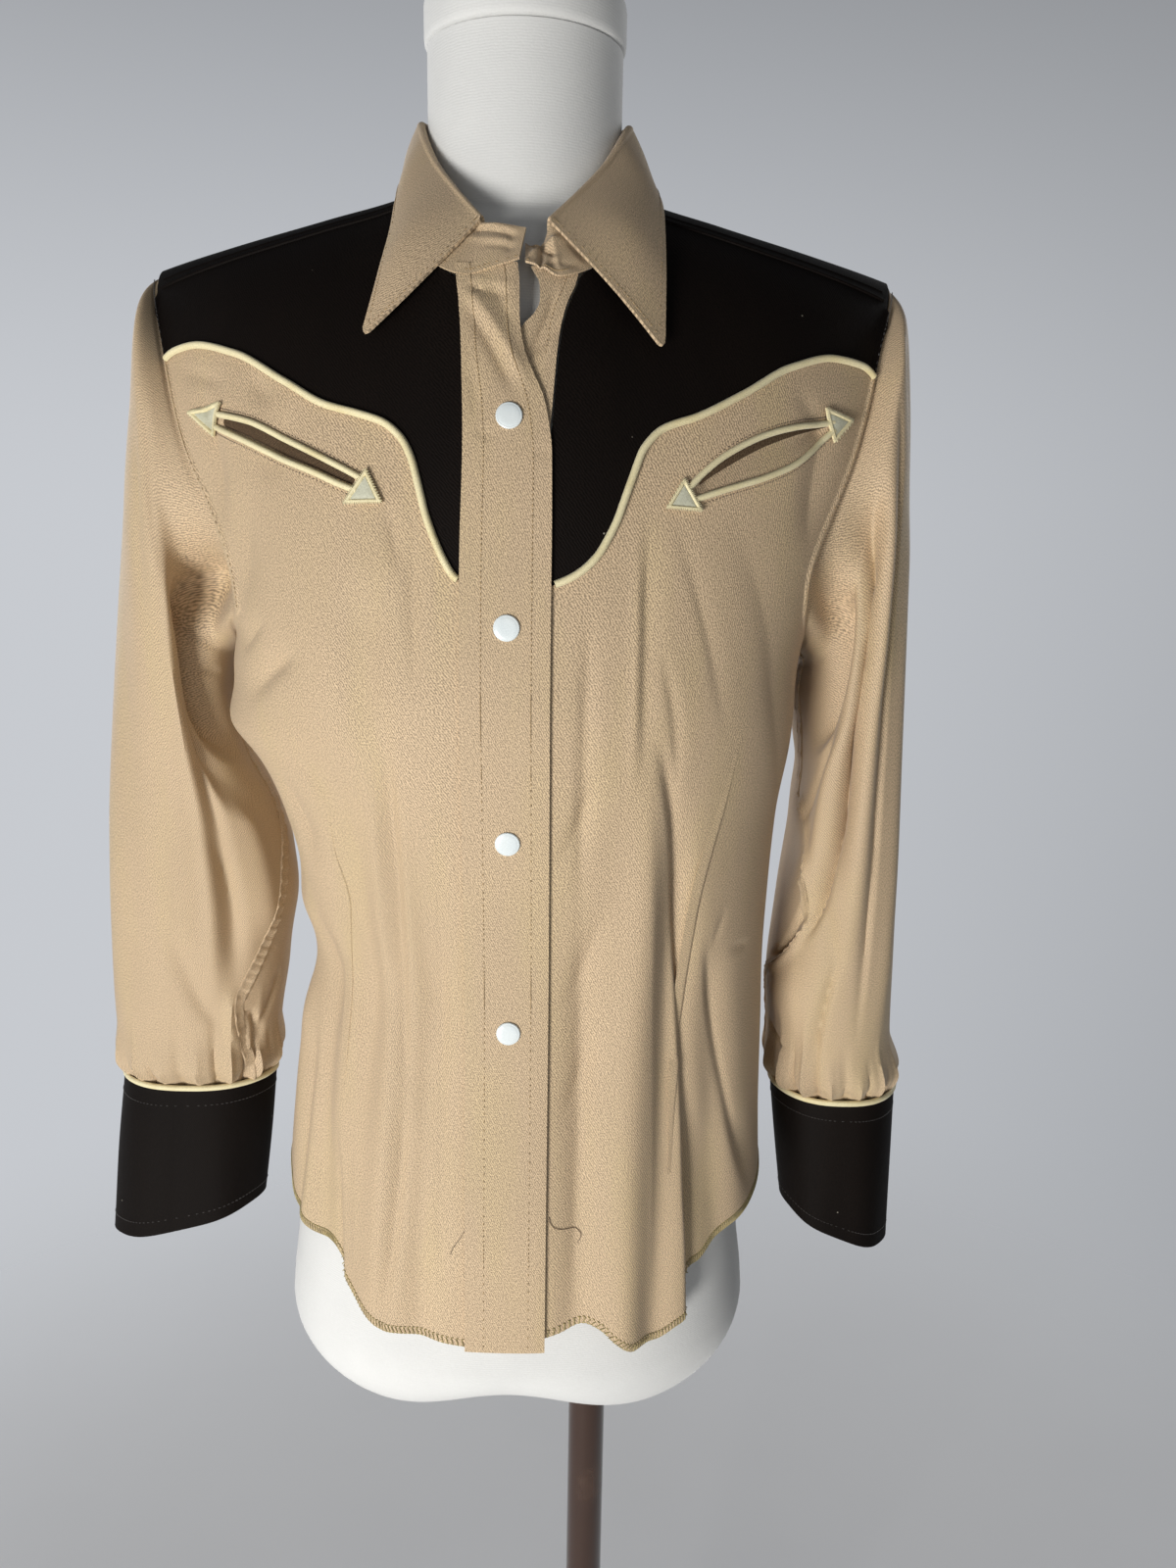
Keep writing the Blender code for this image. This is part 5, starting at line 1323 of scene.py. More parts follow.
def grid_cells(rows: int, columns: int, closed: bool) -> tuple[Array, Array]:
    """The cells of a grid, by point number and by the number of their flat places.

    A grid closed round its columns joins the last column to the first, but its flat places go on
    to one column more.

    Args:
        rows: the number of rows of points.
        columns: the number of columns of points.
        closed: whether the grid closes round.

    Returns:
        Two arrays of four corners for each cell.
    """
    across = columns if closed else columns - 1
    r, c = (part.ravel() for part in np.meshgrid(np.arange(rows - 1), np.arange(across), indexing="ij"))
    after = (c + 1) % columns

    def corners(wide: int, right: Array) -> Array:
        """The four corners' numbers in rows of so many points."""
        low, high = r * wide, (r + 1) * wide
        return np.stack([low + c, low + right, high + right, high + c], -1)

    return corners(columns, after), corners(across + 1, c + 1)


def flat_places(grid: Array, closed: bool) -> Array:
    """Each point's place on the flat cloth: its distance along its row and along its column."""
    if closed:
        grid = np.concatenate([grid, grid[:, :1]], 1)
    across = np.linalg.norm(np.diff(grid, axis=1), axis=-1)
    down = np.linalg.norm(np.diff(grid, axis=0), axis=-1)
    u = np.concatenate([np.zeros((len(grid), 1)), np.cumsum(across, 1)], 1)
    v = np.concatenate([np.zeros((1, grid.shape[1])), np.cumsum(down, 0)], 0)
    return np.stack([u, v], -1)


def straight_places(grid: Array, closed: bool) -> Array:
    """Flat places whose rows and columns stay straight: the mean distances across and down."""
    places = flat_places(grid, closed)
    u, v = places[..., 0].mean(0), places[..., 1].mean(1)
    return np.stack(np.broadcast_arrays(u[None], v[:, None]), -1)


def border_of(rows: int, columns: int) -> Array:
    """The numbers of the grid's outer points, once round."""
    numbers = np.arange(rows * columns).reshape(rows, columns)
    return np.concatenate([numbers[0], numbers[1:, -1], numbers[-1, -2::-1], numbers[-2:0:-1, 0]])


@dataclass
class Sheet:
    """A piece of cloth as a grid: its outer points and the directions outwards from them."""

    name: str
    outside: Array
    outwards: Array
    thickness: float
    closed: bool = False
    places: Array | None = None  # each point's place on the flat cloth, where the rows are uneven

    def faces_out(self) -> bool:
        """Whether the grid's cells turn the way that its directions say."""
        across = np.diff(self.outside, axis=1)[:-1]
        along = np.diff(self.outside, axis=0)[:, :-1]
        return float((np.cross(across, along) * self.outwards[:-1, :-1]).sum()) > 0

    def build(self) -> bpy.types.Object:
        """Makes the cloth: two grids a thickness apart, joined by a rim round the open edges."""
        outside, outwards, places = self.outside, self.outwards, self.places
        if places is None:
            places = straight_places(outside, self.closed)
        if not self.faces_out():
            outside, outwards, places = outside[:, ::-1], outwards[:, ::-1], places[:, ::-1]
        rows, columns = outside.shape[:2]
        inside = outside - outwards * self.thickness
        cells, flat_cells = grid_cells(rows, columns, self.closed)
        flat = places.reshape(-1, 2)
        count = rows * columns
        faces = [cells, cells[:, ::-1] + count]
        flats = [flat[flat_cells], flat[flat_cells[:, ::-1]]]
        for edge, rim_flat in self.rims(rows, columns):
            a, b = edge, np.roll(edge, -1)
            faces.append(np.stack([b, a, a + count, b + count], -1))
            p, q = flat[rim_flat], np.roll(flat[rim_flat], -1, 0)
            flats.append(np.stack([q, p, p, q], 1))
        points = np.concatenate([outside.reshape(-1, 3), inside.reshape(-1, 3)])
        return place_mesh(self.name, points, faces, flats)

    def rims(self, rows: int, columns: int) -> list[tuple[Array, Array]]:
        """The open edges, each as point numbers and as numbers of flat places."""
        if not self.closed:
            edge = border_of(rows, columns)
            return [(edge, edge)]
        first = np.arange(columns)
        last = first[::-1] + (rows - 1) * columns
        wide = columns + 1
        return [(first, first), (last, first[::-1] + (rows - 1) * wide)]


def tube_normals(rings: Array) -> Array:
    """Outwards on a grid of closed rings that run down a tube."""
    around = np.roll(rings, -1, 1) - np.roll(rings, 1, 1)
    return unit(np.cross(around, np.gradient(rings, axis=0)))


def grid_normals(grid: Array) -> Array:
    """The direction across a grid, from its neighbours' places along rows and columns."""
    return unit(np.cross(np.gradient(grid, axis=1), np.gradient(grid, axis=0)))


HALF_TURN = np.linspace(0, np.pi, 13)
CORD = np.stack([np.cos(HALF_TURN), np.sin(HALF_TURN)], -1)  # a half-round section
LIP = np.array(  # a layer that rises gently and ends in a wall
    [(1.0, -0.3), (0.96, 0.55), (0.84, 0.95), (0.6, 1.0), (0.1, 0.72), (-0.45, 0.3), (-1.0, -0.1)]
)
HALF_FELLED = ((1.0, -0.4), (0.95, 0.7), (0.8, 1.0), (0.6, 0.62))
# A flat seam between two rows of stitches
FELLED = np.array([*HALF_FELLED, (0.0, 0.95), *((-across, up) for across, up in HALF_FELLED[::-1])])


def sweep(
    name: str,
    path: Array,
    outwards: Array,
    width: Array,
    height: Array,
    off: float,
    closed: bool = False,
    section: Array = CORD,
) -> bpy.types.Object:
    """A strip with one section carried along a line on the cloth.

    A point (s, t) of the section lies s half widths across the line and t heights above it.

    Args:
        name: the piece's name.
        path: the line's points.
        outwards: the directions away from the cloth at those points.
        width: the strip's width, one number or one for each point.
        height: its height, likewise.
        off: how far its base stands off the line.
        closed: whether the line closes on itself.
        section: the section's points from one edge over to the other.

    Returns:
        The new object.
    """
    ahead = np.roll(path, -1, 0) - np.roll(path, 1, 0) if closed else np.gradient(path, axis=0)
    across = unit(np.cross(outwards, ahead))
    half, rise = (np.broadcast_to(size, len(path))[:, None, None] for size in (width, height))
    aside, above = section[None, :, :1], section[None, :, 1:]
    section = across[:, None] * aside * half / 2 + outwards[:, None] * above * rise
    rings = (path[:, None] + outwards[:, None] * off + section).transpose(1, 0, 2)
    if closed:
        rings = np.concatenate([rings, rings[:, :1]], 1)
    flat = flat_places(rings, False)
    rows, columns = rings.shape[:2]
    cells, _ = grid_cells(rows, columns, False)
    under = np.stack([np.arange(columns - 1), np.arange(1, columns)], -1)
    base = np.concatenate([under[:, ::-1], under + (rows - 1) * columns], 1)
    faces, flats = [cells, base], [flat.reshape(-1, 2)[cells], flat.reshape(-1, 2)[base]]
    if not closed:
        ends = np.arange(rows) * columns
        for cap in (ends[None, ::-1], ends[None] + columns - 1):
            faces.append(cap)
            flats.append(flat.reshape(-1, 2)[cap])
    obj = place_mesh(name, rings, faces, flats)
    recalculate(obj, closed)
    return obj


def recalculate(obj: bpy.types.Object, weld: bool) -> None:
    """Welds a closed strip's two ends if asked, and turns a closed mesh's faces outwards."""
    mesh = bmesh.new()
    mesh.from_mesh(obj.data)
    if weld:
        bmesh.ops.remove_doubles(mesh, verts=mesh.verts, dist=1e-6)
    bmesh.ops.recalc_face_normals(mesh, faces=mesh.faces)
    mesh.to_mesh(obj.data)
    mesh.free()


def turned(foot: Array, outwards: Array, profile: Columns, radius: float, height: float) -> Array:
    """Rings of points turned about the direction outwards from a foot, by a profile."""
    across = unit(np.cross(UP, outwards))
    up = np.cross(outwards, across)
    turn = once_round(fine(SNAP_SIDES))
    spoke = np.cos(turn)[:, None] * across + np.sin(turn)[:, None] * up
    radii = (profile["radius"] * radius)[:, None, None]
    heights = (profile["height"] * height)[:, None, None]
    return foot + spoke[None] * radii + outwards * heights


def solid_rings(name: str, rings: Array) -> bpy.types.Object:
    """A closed solid of rings from bottom to top, with a point in the middle of each end."""
    rows, columns = rings.shape[:2]
    points = np.concatenate([rings.reshape(-1, 3), rings[:1].mean(1), rings[-1:].mean(1)])
    cells, _ = grid_cells(rows, columns, True)
    first = np.arange(columns)
    after = (first + 1) % columns
    low = np.stack([np.full(columns, rows * columns), after, first], -1)
    last = (rows - 1) * columns
    high = np.stack([np.full(columns, rows * columns + 1), last + first, last + after], -1)
    around = np.arctan2(points[:, 1], points[:, 0]) * 0.1
    flat = np.stack([around, points[:, 2]], -1)
    faces = [cells, low, high]
    obj = place_mesh(name, points, faces, [flat[f] for f in faces])
    recalculate(obj, False)
    return obj


def thread_bits(
    centres: Array, ahead: Array, outwards: Array, length: float, radius: float
) -> tuple[Array, list[Array]]:
    """Many short bits of thread, each a capsule of four rings that dips into the cloth at its ends.

    Args:
        centres: where each bit's middle lies.
        ahead: the direction that it runs in.
        outwards: the direction away from the cloth.
        length: its length.
        radius: its thickness, halved.

    Returns:
        The points of all the bits, and their faces.
    """
    sides = 5
    across = unit(np.cross(outwards, ahead))
    stations = np.array([-0.5, -0.3, 0.3, 0.5])
    swell, lift = np.array([0.35, 1.0, 1.0, 0.35]), np.array([-0.9, 0.35, 0.35, -0.9])
    turn = once_round(sides)
    middle = centres[:, None] + ahead[:, None] * (stations * length)[None, :, None]
    middle = middle + outwards[:, None] * (lift * radius)[None, :, None]
    ring = across[:, None, None] * np.cos(turn)[None, None, :, None]
    ring = ring + outwards[:, None, None] * np.sin(turn)[None, None, :, None]
    points = middle[:, :, None] + ring * (swell * radius)[None, :, None, None]
    cells, _ = grid_cells(len(stations), sides, True)
    first = np.arange(sides)
    starts = (np.arange(len(centres)) * len(stations) * sides)[:, None, None]
    quads = (cells[None] + starts).reshape(-1, 4)
    caps = np.stack([first[::-1], first + (len(stations) - 1) * sides])
    caps = (caps[None] + starts).reshape(-1, sides)
    return points.reshape(-1, 3), [quads, caps]


@dataclass
class Stitching:
    """A row of stitches along a line on the cloth, or many rows joined as one piece."""

    name: str
    pitch: float = 0.0024
    length: float = 0.0017
    radius: float = 0.00025
    points: list[Array] = field(default_factory=list)
    faces: list[Array] = field(default_factory=list)
    count: int = 0

    def row(self, path: Array, outwards: Array, turn: float = 0.0, length: float | None = None) -> None:
        """Adds a row along a line, each stitch turned from it by an angle in degrees."""
        number = max(2, int(length_of(path) / self.pitch))
        both = spaced(np.concatenate([path, outwards], -1), number + 1)
        middle = (both[1:] + both[:-1]) / 2
        centres, out = middle[:, :3], unit(middle[:, 3:])
        ahead = unit(np.diff(both[:, :3], axis=0))
        side = np.cross(out, ahead)
        angle = np.radians(turn)
        ahead = ahead * np.cos(angle) + side * np.sin(angle)
        points, faces = thread_bits(centres, ahead, out, length or self.length, self.radius)
        self.points.append(points)
        self.faces += [f + self.count for f in faces]
        self.count += len(points)

    def build(self) -> bpy.types.Object:
        """Joins the rows as one mesh."""
        flats = [np.zeros((*f.shape, 2)) for f in self.faces]
        return place_mesh(self.name, np.concatenate(self.points), self.faces, flats, 80.0)


# ---- The shirt's body as one surface ----


def side_word(side: int) -> str:
    """The wearer's side in words."""
    return "left" if side > 0 else "right"


@dataclass
class Blank:
    """The surface that the shirt's body hangs in, with its folds and creases."""

    sections: Columns = BODY
    ridge: Columns = RIDGE
    armhole: Columns = ARMHOLE
    folds: Columns = BODY_FOLDS
    swells: Columns = BODY_SWELLS
    front_creases: Columns = FRONT_CREASES
    back_creases: Columns = BACK_CREASES
    pressed_height: float = 0.0013  # of the seam allowance under the armhole's edge
    pressed_reach: float = 0.0068
    armhole_stitch_in: float = 0.0046

    def half_width(self, side: Array, z: Array) -> Array:
        """How far the section reaches to one side, x being positive on the wearer's left."""
        left, right = self.sections.reads("z", z, "left", "right")
        return np.where(np.asarray(side) >= 0, left, right)

    def drawn_in(self, x: Array, section_y: Array, z: Array) -> Array:
        """Draws a section in towards the ridge on a quarter circle above the bust."""
        top = self.ridge.read("x", "z", np.abs(x))
        return RIDGE_Y + (section_y - RIDGE_Y) * shoulder_share(top, z)

    def bare(self, angle: Array, z: Array) -> Array:
        """The surface without folds: |x / a|^n + |y / b|^n = 1 at each height, n being SQUARE."""
        sine, cosine = np.sin(angle), np.cos(angle)
        x = np.sign(sine) * self.half_width(sine, z) * np.abs(sine) ** (2 / SQUARE)
        front, back = self.sections.reads("z", z, "front", "back")
        depth = np.where(cosine > 0, front, -back)
        y = self.drawn_in(x, -depth * np.abs(cosine) ** (2 / SQUARE), z)
        return np.stack(np.broadcast_arrays(x, y, z), -1)

    def normal(self, angle: Array, z: Array) -> Array:
        """Outwards from the bare surface, from small steps round it and up it."""
        turn, climb = 0.01, 0.0005
        across = self.bare(angle + turn, z) - self.bare(angle - turn, z)
        up = self.bare(angle, z + climb) - self.bare(angle, z - climb)
        return unit(np.cross(across, up))

    def relief(self, angle: Array, z: Array) -> Array:
        """The large folds', the swells' and the creases' heights added up."""
        degrees = np.degrees(angle)
        total = np.zeros(np.broadcast(angle, z).shape)
        for fold in self.folds.each():
            along = (fold["z_top"] - z) / (fold["z_top"] - fold["z_end"])
            strength = ease(along / 0.35) * (1 - fold["fades"] * ease((along - 0.6) / 0.4))
            total = total + fold_height(fold, degrees, along, strength)
        total = total + swell_heights(self.swells, "z", degrees, z)
        x = self.bare(angle, z)[..., 0]
        facing = np.cos(angle)
        front = crease_relief(self.front_creases, x, z) * ease(facing / 0.25)
        back = crease_relief(self.back_creases, x, z) * ease(-facing / 0.25)
        return total + front + back

    def surface(self, angle: Array, z: Array, off: Array | float = 0.0) -> tuple[Array, Array]:
        """Points of the cloth's outside, or moved out from it, and the directions outwards."""
        outwards = self.normal(angle, z)
        lift = self.relief(angle, z) + off
        return self.bare(angle, z) + outwards * lift[..., None], outwards

    def places(self, angle: Array, z: Array) -> Array:
        """Places on the flat cloth from the angle, at the body's usual girth, and the height."""
        return np.stack(np.broadcast_arrays(angle * FLAT_RADIUS, z), -1)

    def angle_of(self, x: Array, z: Array) -> Array:
        """The angle round the front at which the section reaches a given x."""
        share = np.clip(np.abs(x) / self.half_width(x, z), 0.0, 1.0)
        return np.sign(x) * np.arcsin(share ** (SQUARE / 2))

    def on_front(self, line: Array, off: float = 0.0) -> tuple[Array, Array]:
        """A line given by x and z laid on the front, and the directions outwards."""
        x, z = line[:, 0], line[:, 1]
        return self.surface(self.angle_of(x, z), z, np.full(z.shape, off))

    def over_ridge(self, x: Array, over: Array) -> tuple[Array, Array]:
        """The angle and height of a point by its x and its angle over the shoulders' ridge."""
        top = self.ridge.read("x", "z", np.abs(x))
        z = BUST_Z + (top - BUST_Z) * np.cos(over)
        front = self.angle_of(x, z)
        return np.where(over <= 0, front, np.pi - front), z

    def ridge_point(self, x: Array, over: Array) -> Array:
        """A point near the ridge: z follows cos(over) and y sin(over) from the ridge's line."""
        top = self.ridge.read("x", "z", np.abs(x))
        z = BUST_Z + (top - BUST_Z) * np.cos(over)
        front, back = self.sections.reads("z", z, "front", "back")
        section = np.where(over <= 0, -front, back) * round_share(x, self.half_width(x, z))
        y = RIDGE_Y + (section - RIDGE_Y) * np.abs(np.sin(over))
        return np.stack(np.broadcast_arrays(x, y, z), -1)

    def ridge_normal(self, x: Array, over: Array) -> Array:
        """Outwards near the ridge, from small steps in x and over it."""
        step_x, step_over = 0.001, np.radians(1.0)
        across = self.ridge_point(x + step_x, over) - self.ridge_point(x - step_x, over)
        back = self.ridge_point(x, over + step_over) - self.ridge_point(x, over - step_over)
        return unit(np.cross(across, back))

    def placket_edge(self, side: int, z: Array) -> Array:
        """Where a front stops under the placket."""
        if side > 0:
            return PLACKET.read("z", "under_left", z) + 3 * SEAM
        return PLACKET.read("z", "over_right", z) + UNDER_PLACKET

    def neck_edge(self, z: Array) -> Array:
        """The neckline's x at a height in front."""
        front = (NECKLINE["over"] <= -10) & (NECKLINE["x"] > 0.02)
        x, over = NECKLINE["x"][front], np.radians(NECKLINE["over"][front])
        return smooth(z, self.over_ridge(x, over)[1], x)

    def inner_angle(self, side: int, z: Array) -> Array:
        """A front's inner edge: the placket's line and, above its end, the neckline."""
        neck_z = self.over_ridge(NECKLINE["x"][2], np.radians(NECKLINE["over"][2]))[1]
        placket_x = np.abs(self.placket_edge(side, np.minimum(z, neck_z)))
        x = np.where(z > neck_z, np.maximum(self.neck_edge(z) - UNDER_COLLAR, placket_x), placket_x)
        return self.angle_of(side * x, z)

    def seam_gap(self, side: int, angle: Array, z: Array) -> Array:
        """Half the clear gap at an edge, as an angle: three times as much at the side seams."""
        return SEAM * 0.5 / self.half_width(side, z) * (1 + 2 * (angle > SIDE_FROM))

    def side_angle(self, side: int, z: Array) -> Array:
        """A front's outer edge: the side seam and, above it, the armhole."""
        angle = np.radians(self.armhole.read("z", "front_" + side_word(side), z))
        return side * (angle - self.seam_gap(side, angle, z))

    def armhole_rise(self, side: int, angle: Array, z: Array) -> Array:
        """The seam allowance pressed under the armhole's edge lifts the cloth beside it."""
        away = (np.abs(self.side_angle(side, z)) - np.abs(angle)) * self.half_width(side, z)
        rise = self.pressed_height * ease((self.pressed_reach - away) / 0.0020)
        return rise * ease((away + 0.0004) / 0.0016) * ease((z - 1.02) / 0.02)

    def armhole_line(self, side: int, z: Array) -> tuple[Array, Array]:
        """The row of stitches beside the armhole."""
        angle = self.side_angle(side, z)
        angle = angle - side * self.armhole_stitch_in / self.half_width(side, z)
        return self.surface(angle, z, self.armhole_rise(side, angle, z))

    def across_front(self, side: int, share: Array, z: Array) -> Array:
        """The angle a share of the way from a front's inner edge to its outer edge.

        Below the yoke's seam the inner columns follow the outer edge averaged over 3 cm up and
        down, and the difference comes back with the share's cube, so that no cell is squashed
        where the armhole ends.
        """
        edge = self.side_angle(side, z)
        steps = np.linspace(-0.03, 0.03, 7)
        even = sum(self.side_angle(side, z + step) for step in steps) / len(steps)
        calm = mix(even, edge, ease((z - 1.03) / 0.02))
        return mix(self.inner_angle(side, z), calm, share) + (edge - calm) * share**3

    def seam_height(self, side: int, share: Array) -> Array:
        """The front yoke seam's height against the share of the way across the front."""
        line = SEAM_LEFT if side > 0 else SEAM_RIGHT
        x, z = line["x"], line["z"]
        inner, outer = self.inner_angle(side, z), self.side_angle(side, z)
        at = (self.angle_of(side * x, z) - inner) / (outer - inner)
        at[0], at[-1] = min(at[0], 0.0), max(at[-1], 1.0)
        return smooth(share, at, z)


def pocket_of(side: int) -> tuple[Columns, Columns]:
    """A pocket's welts and its tabs' corners."""
    return (POCKET_LEFT, TABS_LEFT) if side > 0 else (POCKET_RIGHT, TABS_RIGHT)


class Held(Enum):
    """How a piece of cloth is held up, in the frame's words."""

    HUNG = "hung"
    DRAPED = "draped"
    FOLDED = "folded"
    STRETCHED = "stretched"


class Maker:
    """Puts finished pieces into the part: what each rides on, stands for and takes its finish from."""

    def __init__(self, wardrobe: Wardrobe) -> None:
        """Takes the wardrobe that dresses the pieces."""
        self.wardrobe = wardrobe

    def piece(self, obj: bpy.types.Object, finish: Finish, slot: str, *nodes: str) -> bpy.types.Object:
        """Dresses a piece, and has it ride and stand for its nodes."""
        self.wardrobe.dress(obj, finish)
        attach(obj, "root")
        if nodes:
            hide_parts(*nodes)
        log.info("%s: %d faces", obj.name, len(obj.data.polygons))
        return obj

    def cloth(self, sheet: Sheet, finish: Finish) -> bpy.types.Object:
        """Makes a piece of cloth that stands for the node it is named after, cut as it shows."""
        node = sheet.name
        sheet.name = node + "_cloth"
        obj = self.piece(sheet.build(), finish, node, node)
        return obj


# ---- The shirt's pieces ----


# The hem's overlocking, row by row: how far in from the edge and off the cloth it runs, and its
# stitches' turn in degrees and length
OVERLOCK = table(
    "inside    off      turn   length",
    (0.0046 * 0.45, 0.0001, 66.0, 0.0046),
    (0.0003, -0.0003, 24.0, 0.0025),
    (0.0046 * 0.92, 0.0001, -20.0, 0.0020),
)
ARMHOLE_THREADS = (Finish.SEAM_THREAD, Finish.DARK_THREAD)  # on the fronts and on the yokes
# Loose threads on the lower fronts, by x and z
LOOSE_THREADS = (
    (
        (-0.0225, 0.7160),
        (-0.0245, 0.7120),
        (-0.0282, 0.7065),
        (-0.0300, 0.7020),
        (-0.0292, 0.7045),
    ),
    (
        (0.0215, 0.7245),
        (0.0235, 0.7190),
        (0.0290, 0.7165),
        (0.0350, 0.7160),
        (0.0390, 0.7120),
        (0.0370, 0.7070),
    ),
)


def overlock(rows: Stitching, points: Array, outwards: Array, side: int) -> None:
    """Adds a hem's overlocking: slanted stitches across its edge, and a bead along it."""
    rows.pitch, rows.radius = 0.0019, 0.00034
    inwards, out = unit(points[1] - points[0]), outwards[0]
    for line in OVERLOCK.each():
        path = points[0] + inwards * line["inside"] + out * line["off"]
        rows.row(path, out, turn=line["turn"] * side, length=line["length"])


@dataclass
class Fronts:
    """The two fronts below the yokes, with their darts and overlocked hems."""

    blank: Blank
    columns: int = 130
    rows: int = 200
    dart_width: float = 0.0064
    dart_height: float = 0.0008
    dart_stations: int = 120
    stitched: tuple[float, float] = (1.034, 1.196)  # the heights of the armhole's stitches
    hem_at: float = 0.66  # the height at which the hem's angles are read
    pocket_depth: float = 0.0034

    def grid(self, side: int) -> tuple[Array, Array]:
        """The angles and heights of a front's points: even shares across, from hem to yoke."""
        hem = HEM_LEFT if side > 0 else HEM_RIGHT
        share = np.linspace(0, 1, fine(self.columns) + 1)
        up = np.linspace(0, 1, fine(self.rows) + 1)[:, None]
        low = np.degrees(np.abs(self.blank.across_front(side, share, np.full(share.shape, self.hem_at))))
        bottom = hem.read("angle", "z", low)
        z = mix(bottom, self.blank.seam_height(side, share) - SEAM / 2, up)
        return self.blank.across_front(side, share, z), z

    def pocket_dip(self, side: int, angle: Array, z: Array) -> Array:
        """The pocket's mouth: the cloth sinks below the upper welt and comes up to the lower one."""
        welts, _ = pocket_of(side)
        x = np.abs(self.blank.bare(angle, z)[..., 0])
        upper, lower = (welts.read(name + "_x", name + "_z", x) for name in ("upper", "lower"))
        share = (upper - z) / np.maximum(upper - lower, 1e-5)
        inner, outer = welts["lower_x"].min(), welts["upper_x"].max()
        within = ease((x - inner) / 0.006) * ease((outer - x) / 0.006)
        return -self.pocket_depth * within * ease(share / 0.12) * ease((1.0 - share) / 0.75)

    def build(self, maker: Maker) -> None:
        """Makes both fronts."""
        hem = Stitching("hem_overlock_front")
        seams = {finish: Stitching(f"armhole_{finish.value.name}") for finish in ARMHOLE_THREADS}
        for side in (-1, 1):
            angle, z = self.grid(side)
            lift = self.pocket_dip(side, angle, z) + self.blank.armhole_rise(side, angle, z)
            points, outwards = self.blank.surface(angle, z, lift)
            places = self.blank.places(angle, z)
            sheet = Sheet(f"front_{side_word(side)}", points, outwards, CLOTH, places=places)
            maker.cloth(sheet, Finish.TAN)
            overlock(hem, points, outwards, side)
            edge_z = float(self.blank.seam_height(side, np.ones(1))[0])
            ends = (self.stitched[0], edge_z, self.stitched[1])
            for finish, low, high in zip(ARMHOLE_THREADS, ends[:-1], ends[1:]):
                seams[finish].row(*self.blank.armhole_line(side, np.linspace(low, high, 120)))
        maker.piece(hem.build(), Finish.HEM_THREAD, "front_right")
        for finish, rows in seams.items():
            maker.piece(rows.build(), finish, "front_right")
        self.build_darts(maker)
        self.build_loose(maker)

    def build_loose(self, maker: Maker) -> None:
        """Makes the loose threads that lie on the lower fronts."""
        for number, line in enumerate(LOOSE_THREADS, 1):
            path, outwards = self.blank.on_front(resample(np.array(line), 40), 0.0004)
            obj = sweep(f"loose_thread_{number}", path, outwards, 0.0003, 0.0003, 0.0)
            maker.piece(obj, Finish.WELT_THREAD, "front_right" if number == 1 else "front_left")

    def build_darts(self, maker: Maker) -> None:
        """Makes each waist dart's fold, a low lip that tapers at both ends."""
        for side, dart in ((-1, DART_RIGHT), (1, DART_LEFT)):
            line = spaced(resample(dart.line("x", "z"), 60), fine(self.dart_stations))
            path, outwards = self.blank.on_front(line)
            taper = ease(np.minimum(np.linspace(0, 3, len(path)), np.linspace(3, 0, len(path))))
            width = self.dart_width * (0.3 + 0.7 * taper)
            height = self.dart_height * (0.02 + 0.98 * taper)
            across = unit(np.cross(outwards, np.gradient(path, axis=0)))
            path = path - across * width[:, None] / 2
            obj = sweep(f"dart_{side_word(side)}", path, outwards, width, height, 0.0, section=LIP)
            maker.piece(obj, Finish.TAN, f"front_{side_word(side)}")


def closing(rows: int) -> Array:
    """Shares of the way up that come closer together towards the shoulder."""
    return 1 - (1 - np.linspace(0, 1, rows + 1)[:, None]) ** 1.3


def shoulder_x(share: Array) -> Array:
    """The shoulder seam's stations from the neckline out to the armhole."""
    return mix(SHOULDER_FROM, SHOULDER_TO, share)


